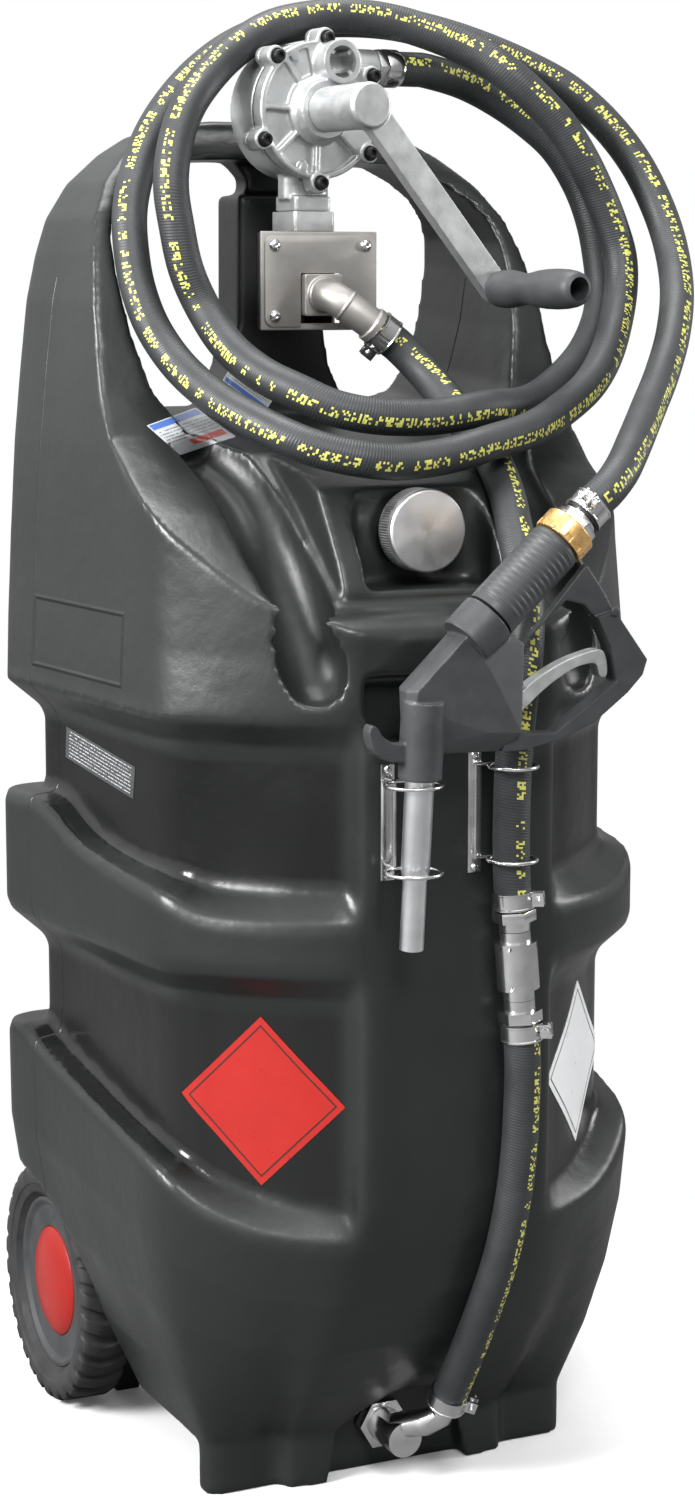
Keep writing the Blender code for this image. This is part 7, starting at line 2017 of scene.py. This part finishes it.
# %% Boot, grip and guard
def nozzle_boot():
    half = NOZZLE_THICKNESS / 2
    facet = nozzle_outline(FACET_SHARES)
    outline = nozzle_outline(BODY_SHARES[:5] + BODY_SHARES[7:])
    points = [(x, NOZZLE_Y + side * half * 1.1, z) for x, z in facet for side in (-1, 1)]
    points += [(x, NOZZLE_Y + side * half * 0.35, z) for x, z in outline for side in (-1, 1)]
    hook = slab(eased_outline(HOOK_SHARES, 1), GUARD_THICKNESS * 0.7)
    collar = moved(disc(SPOUT_RADIUS * 1.5, -0.042, 0.020), along(spout_top, spout_down))
    root = moved(disc(0.0225, -0.030, -0.002), along(grip_low, grip_axis))
    boot = moulded(fuse(hull(points), hook, collar, root), 0.0009, 3)
    seat = moved(disc(SPOUT_RADIUS + GAP, 0.014, OVERRUN * 2), along(spout_top, spout_down))
    grip_room = moved(disc(SLEEVE_RADIUS + GAP, 0, grip_length + OVERRUN), along(grip_low, grip_axis))
    stem_place = along(nozzle_spot(STEM_SPOT_SHARE), STEM_AXIS)
    stem_hole = moved(disc(STEM_RADIUS + GAP, -OVERRUN, 0.030), stem_place.copy())
    boot = cut(boot, seat, grip_room, stem_hole)
    boot = fuse(boot, moved(disc(CORE_RADIUS, -0.021, grip_length), along(grip_low, grip_axis)))
    jaw = shifted(frontways(disc(0.012, -LEVER_HALF - 2 * GAP, LEVER_HALF + 2 * GAP)), *pivot)
    pin_hole = shifted(
        frontways(disc(LEVER_PIN_RADIUS + GAP, -NOZZLE_THICKNESS / 3, NOZZLE_THICKNESS / 3)), *pivot)
    boot = cut(boot, jaw, pin_hole, slab(LEVER_SHARES, LEVER_HALF * 2 + 8 * GAP))
    dress("nozzle_body", boot, boot_plastic, ease=0)

    def radius_at(share):
        return SLEEVE_RADIUS if share < 0.93 else SLEEVE_RADIUS - 0.0022 * ((share - 0.93) / 0.07) ** 2

    sleeve = ribbed(radius_at, GAP, grip_length - GAP, along(grip_low, grip_axis))
    sleeve = cut(
        sleeve, moved(disc(CORE_RADIUS + GAP, -OVERRUN, grip_length + OVERRUN), along(grip_low, grip_axis)))
    dress("nozzle_grip", sleeve, boot_plastic, ease=0)


def hand_guard():
    guard = slab(GUARD_SHARES, GUARD_THICKNESS)
    web_room = slab(
        WEB_SHARES[:1] + ((0.72, 0.745), (0.83, 0.66), (0.84, 0.55)) + WEB_SHARES[6:], GUARD_THICKNESS,
        NOZZLE_Y - GUARD_THICKNESS * 0.72)
    other_room = shifted(web_room.copy(), y=GUARD_THICKNESS * 1.44)
    body_room = slab(BODY_SHARES, NOZZLE_THICKNESS * 2)
    grip_core = moved(disc(SLEEVE_RADIUS + GAP, -OVERRUN, grip_length + OVERRUN), along(grip_low, grip_axis))
    guard = moulded(cut(guard, web_room, other_room), 0.0008, 3)
    button = shifted(
        frontways(lathe([(0, 0), (0.0042, 0), (0.0042, 0.0012), (0.0030, 0.0022), (0, 0.0024)])),
        *(nozzle_spot((0.835, 0.55)) + Vector((0, -GUARD_THICKNESS * 0.5, 0))))
    guard = fuse(guard, eased(button, 0.0004))
    dress(
        "nozzle_guard", cut(guard, grip_core, shifted(body_room.copy(), x=GAP * 2), body_room), boot_plastic,
        ease=0)


nozzle_boot()
hand_guard()
print("boot, grip and guard ready")

# %% [markdown]
# The lever is a flat casting on a pin, over the stem that it pushes. The swivel's nut is turned brass
# with twelve teeth along one edge, and the spout is a thin turned tube that narrows in a short cone.

# %% Lever, swivel and spout
def nozzle_metal():
    blade = slab(eased_outline(LEVER_SHARES, 2), LEVER_HALF * 2)
    foot = slab(((0.355, 0.165), (0.385, 0.225), (0.45, 0.262), (0.47, 0.225), (0.42, 0.160)), LEVER_HALF * 2)
    eye = shifted(frontways(disc(0.0072, -LEVER_HALF, LEVER_HALF)), *pivot)
    lever = moulded(fuse(blade, foot, eye), 0.0006, 3)
    lever = cut(lever, shifted(frontways(disc(LEVER_PIN_RADIUS + GAP, -OVERRUN, OVERRUN)), *pivot))
    dress("nozzle_lever", lever, cast_aluminium, ease=0)
    pin = frontways(disc(LEVER_PIN_RADIUS, -NOZZLE_THICKNESS / 3 + GAP, NOZZLE_THICKNESS / 3 - GAP))
    dress("lever_pin", pin, grey_steel, Matrix.Translation(pivot))
    dress(
        "valve_stem", disc(STEM_RADIUS, GAP, 0.020), grey_steel,
        along(nozzle_spot(STEM_SPOT_SHARE), STEM_AXIS))
    low = grip_length + GAP
    nut = lathe([
        (0.0095, low), (SLEEVE_RADIUS, low), (0.0225, low + 0.001), (0.0225, low + 0.016),
        (SLEEVE_RADIUS, low + 0.017), (0.0095, low + 0.017)], 72)
    notch = lathe([
        (0.0218, low - 0.001), (0.03, low - 0.001), (0.03, low + 0.0052), (0.0218, low + 0.0052)], 72)
    for turn in range(12):
        wedge = block((0.0, -0.0030, low - 0.002), (0.04, 0.0030, low + 0.006))
        notch = cut(notch, moved(wedge, Matrix.Rotation(math.tau * turn / 12, 4, "Z")))
    dress("swivel_nut", cut(nut, notch), brass, along(grip_low, grip_axis), ease=0.0003)
    hose_tip, _ = hose_end(DELIVERY_ROUTE, False)
    foot_place = grip_low + grip_axis * (low + 0.017 + GAP)
    reach = (hose_tip - foot_place).length - GAP
    tail = fuse(eased(disc(0.019, 0, 0.0075, 6), 0.0008), disc(0.0150, 0, 0.0095), disc(0.0124, 0, reach))
    dress("swivel_tail", tail, bright_plate, along(foot_place, hose_tip - foot_place), ease=0)
    wall, step, taper, outer, small = 0.0014, 0.092, 0.010, SPOUT_RADIUS, SPOUT_RADIUS * 0.84
    long = (spout_tip - spout_top).length
    tube_profile = [
        (outer - wall, 0.0143), (outer, 0.0143), (outer, step), (outer - 0.0003, step + 0.002),
        (small + 0.0003, step + taper - 0.002), (small, step + taper), (small, long - 0.0006),
        (small - 0.0006, long), (small - wall, long), (small - wall, step + taper), (outer - wall, step)]
    dress("spout", lathe(tube_profile), turned_aluminium, along(spout_top, spout_down), ease=0)


nozzle_metal()
print("nozzle ready")

# %% [markdown]
# ## Wire holders
# The spout and the hose stand in two bent wires: two rings joined by an upright, welded to a strip that
# is screwed to the tank. The rings are swept as closed loops, and a small screw holds each strip end.

# %% Wire holders
def wire_holder(name, x, centre_y, strip_x, low, high, ring_radius):
    wire = HOLDER_WIRE
    shapes = []
    for z in (low, high):
        points = []
        for step in range(72):
            a = math.tau * step / 72
            points.append([
                Vector((
                    x + (ring_radius + wire * math.cos(b)) * math.cos(a),
                    centre_y + (ring_radius + wire * math.cos(b)) * math.sin(a), z + wire * math.sin(b)))
                for b in (math.tau * side / 16 for side in range(16))])
        shapes.append(skin(points, closed=True))
    rear = centre_y + ring_radius
    back = TANK_FRONT - GAP
    face = back - HOLDER_STRIP
    half = HOLDER_STRIP * 4
    strip = block((strip_x - half, face, low - half * 2), (strip_x + half, back, high + half * 2))
    shapes.append(eased(strip, 0.0005))
    shapes.append(sweep([(strip_x, rear, low), (strip_x, rear, high)], wire, 16))
    for z in (low, high):
        shapes.append(sweep([(strip_x, rear, z), (x, rear + wire * 0.4, z)], wire * 0.98, 16))
        shapes.append(sweep([(strip_x, rear, z), (strip_x, (face + back) / 2, z)], wire * 0.9, 16))
    for z in (low - half * 1.3, high + half * 1.3):
        head = lathe([
            (0, 0), (SCREW_RADIUS, 0), (SCREW_RADIUS, SCREW_RADIUS * 0.4),
            (SCREW_RADIUS * 0.8, SCREW_RADIUS * 0.72), (SCREW_RADIUS * 0.4, SCREW_RADIUS * 0.88),
            (0, SCREW_RADIUS * 0.9)], 32)
        shapes.append(shifted(frontways(head), x=strip_x, y=(face + back) / 2, z=z))
    dress(name, fuse(*shapes), bright_plate, ease=0)


spout_rings = (HOLDER_LOW, HOLDER_HIGH - HOLDER_WIRE * 4)
wire_holder("spout_holder", SPOUT_RING_X, SPOUT_RING_Y, SPOUT_STRIP_X, *spout_rings, SPOUT_RING_RADIUS)
wire_holder("hose_holder", HOSE_RING_X, HOSE_RING_Y, HOSE_STRIP_X, HOLDER_LOW, HOLDER_HIGH, HOSE_RING_RADIUS)
print("holders ready")

# %% [markdown]
# ## Stickers and labels
# A sticker is a thin film that follows the panel. Rays from the front find the moulded skin, so each
# film is a small grid of points laid on what is really there, lifted by less than a millimetre. The
# grid also carries a map from its corner to its far corner, and borders and blocks are drawn in it.

# %% Finishes of the films
def film(name, colour, roughness=0.32):
    """A film and the two numbers of its map, which run from -1 to 1."""
    material = finish(name, colour, roughness, Coat_Weight=0.2)
    feed(
        material, "Roughness",
        spread(material, cloudy(material, 0.01, 3.0), roughness - 0.05, roughness + 0.06))
    relief(material, cloudy(material, 0.006, 2.0), 0.00006)
    u, v, _ = made(material, "SeparateXYZ", {0: made(material, "TexCoord").outputs["UV"]}).outputs
    return material, u, v


def size_of(material, value):
    return arithmetic(material, "ABSOLUTE", value)


def painted(material, under, mask, colour):
    """A colour over another where a mask is 1."""
    return made(material, "MixRGB", {0: mask, 1: under, 2: (*colour, 1)}).outputs[0]


def within(material, value, low, high):
    over = arithmetic(material, "GREATER_THAN", value, low)
    return arithmetic(material, "MULTIPLY", over, arithmetic(material, "LESS_THAN", value, high))


def boxed(material, u, v, low, high):
    """1 inside a rectangle of the map."""
    return arithmetic(
        material, "MULTIPLY", within(material, u, low[0], high[0]), within(material, v, low[1], high[1]))


diamond_films = {}
for node, colour, line_colour in (
        ("orange_sticker", (0.36, 0.010, 0.006), (0.04, 0.008, 0.007)),
        ("white_sticker", (0.84, 0.85, 0.86), (0.03, 0.03, 0.03))):
    material, u, v = film(node + "_film", colour)
    rim = arithmetic(material, "MAXIMUM", size_of(material, u), size_of(material, v))
    tone = blended(material, cloudy(material, 0.04), tuple(c * 0.94 for c in colour), colour)
    feed(material, "Base Color", painted(material, tone, within(material, rim, 0.875, 0.905), line_colour))
    diamond_films[node] = material

info_film, u, v = film("info_film", (0.50, 0.52, 0.53))
tone = blended(info_film, cloudy(info_film, 0.02), (0.44, 0.46, 0.47), (0.52, 0.54, 0.55))
rows = within(
    info_film, arithmetic(info_film, "FRACT", arithmetic(info_film, "MULTIPLY", v, 6.0)), 0.25, 0.62)
words = arithmetic(info_film, "GREATER_THAN", cloudy(info_film, 0.0030, 1.0, "UV", (0.05, 0.01, 1)), 0.42)
tone = painted(
    info_film, tone,
    arithmetic(
        info_film, "MULTIPLY", arithmetic(info_film, "MULTIPLY", rows, words),
        boxed(info_film, u, v, (-0.92, -0.55), (0.92, 0.36))),
    (0.16, 0.17, 0.18))
tone = painted(info_film, tone, boxed(info_film, u, v, (-0.95, -0.95), (0.95, -0.62)), (0.07, 0.15, 0.42))
feed(
    info_film, "Base Color",
    painted(info_film, tone, boxed(info_film, u, v, (-0.3, 0.40), (0.9, 0.72)), (0.55, 0.10, 0.08)))

small_film, u, v = film("small_film", (0.045, 0.047, 0.048), 0.4)
rows = within(
    small_film, arithmetic(small_film, "FRACT", arithmetic(small_film, "MULTIPLY", v, 4.5)), 0.3, 0.6)
words = arithmetic(small_film, "GREATER_THAN", cloudy(small_film, 0.0016, 1.0, "UV", (0.05, 0.01, 1)), 0.46)
ink = arithmetic(
    small_film, "MULTIPLY", arithmetic(small_film, "MULTIPLY", rows, words),
    boxed(small_film, u, v, (-0.9, -0.85), (0.9, 0.85)))
tone = blended(small_film, cloudy(small_film, 0.01), (0.040, 0.042, 0.043), (0.050, 0.052, 0.053))
feed(small_film, "Base Color", painted(small_film, tone, ink, (0.45, 0.46, 0.47)))
print("films ready")

# %% [markdown]
# A film has to follow the moulded skin. A search tree over the faces of the skin finds where a ray
# meets it, and the two diamonds are grids pushed straight into their panels until they touch.

# %% Films on the panels
from mathutils.bvhtree import BVHTree

FILM_GAP = 0.0001
skin_tree = BVHTree.FromPolygons(
    [tank.matrix_world @ v.co for v in tank.data.vertices], [p.vertices[:] for p in tank.data.polygons])


def woven(front, back, cells):
    """A thin closed film between two grids of places, with its map."""
    shape = bmesh.new()
    layer = shape.loops.layers.uv.new("film_map")
    front, back = ([shape.verts.new(place) for place in places] for places in (front, back))
    width = cells + 1
    for row in range(cells):
        for column in range(cells):
            quad = [
                row * width + column, row * width + column + 1, (row + 1) * width + column + 1,
                (row + 1) * width + column]
            face = shape.faces.new([front[i] for i in quad])
            for loop, i in zip(face.loops, quad):
                loop[layer].uv = (2 * (i % width) / cells - 1, 2 * (i // width) / cells - 1)
            shape.faces.new([back[i] for i in quad[::-1]])
    edge = [i for i in range(cells)] + [i * width + cells for i in range(cells)]
    edge += [cells * width + i for i in range(cells, 0, -1)] + [i * width for i in range(cells, 0, -1)]
    for i, j in zip(edge, edge[1:] + edge[:1]):
        face = shape.faces.new((back[i], back[j], front[j], front[i]))
        for loop in face.loops:
            loop[layer].uv = (0.99, 0.99)
    bmesh.ops.recalc_face_normals(shape, faces=shape.faces)
    return shape


def grid_spots(corners, cells):
    """Spots of a grid between four corners, row by row."""
    a, b, c, d = (Vector(corner) for corner in corners)
    shares = [step / cells for step in range(cells + 1)]
    return [a.lerp(b, across).lerp(d.lerp(c, across), up) for up in shares for across in shares]


def laid_film(name, corners, towards, material, node, lift=0.0007, cells=28):
    """A film on the tank: a grid between four corners, pushed along a direction until it meets the skin."""
    towards = Vector(towards).normalized()
    front, back = [], []
    for spot in grid_spots(corners, cells):
        place, normal, _, _ = skin_tree.ray_cast(spot - towards * 0.05, towards, 0.2)
        front.append(place + normal * lift)
        back.append(place + normal * FILM_GAP)
    return add(name, woven(front, back, cells), material, node, True, 40)


def panel_spot(column):
    line = [
        Vector(tank_point(index, MIDDLE_BAND_Z - RIDGE_FILLET, 0)[:2])
        for index in (column - 1, column, column + 1)]
    return line[1], (line[2] - line[0]).normalized()


centre, tangent = panel_spot(6)
half = DIAMOND_SIDE / math.sqrt(2)
for side, node in ((-1, "orange_sticker"), (1, "white_sticker")):
    middle = Vector((side * centre.x, centre.y, DIAMOND_Z))
    way = Vector((side * tangent.x, tangent.y, 0)) * half
    rise = Vector((0, 0, half))
    inward = Vector((-side * tangent.y, tangent.x, 0))
    corners = [middle - rise, middle + way, middle + rise, middle - way]
    laid_film(node + "_film", corners, inward, diamond_films[node], node)
print("stickers ready")

# %% [markdown]
# The two printed labels have no size that anyone could know, only a place in the picture. Each is laid
# by sight: rays from the camera through a grid of picture points find the skin, and the film is woven
# between the places where they meet it.

# %% Labels
PICTURE = Vector((347.5, 750.0))
PICTURE_DISTANCE = 2950.1


def sight(point):
    """The place on the skin that shows at a point of the picture, and the way that the camera looks there."""
    across, down = (Vector(point) - PICTURE) / PICTURE_DISTANCE
    way = (picture_right * across - picture_up * down - picture_back).normalized()
    return skin_tree.ray_cast(camera_place, way)[0], way


def laid_by_sight(name, corners, material, lift=0.0007, cells=20):
    front, back = [], []
    for spot in grid_spots(corners, cells):
        place, way = sight(spot)
        front.append(place - way * lift)
        back.append(place - way * FILM_GAP)
    return add(name, woven(front, back, cells), material, "tank_body", False, 40)


labels = (
    ("info_label_left", ((146.6, 425.5), (195.7, 407.6), (236.0, 436.5), (180.0, 455.0)), info_film),
    ("info_label_right", ((265.8, 410.8), (222.5, 380.2), (236.5, 357.2), (278.0, 391.7)), info_film),
    ("small_label", ((66.3, 726.2), (135.0, 767.0), (133.0, 799.0), (65.6, 757.0)), small_film))
for name, corners, material in labels:
    laid_by_sight(name, corners, material)
print(len(labels), "labels")
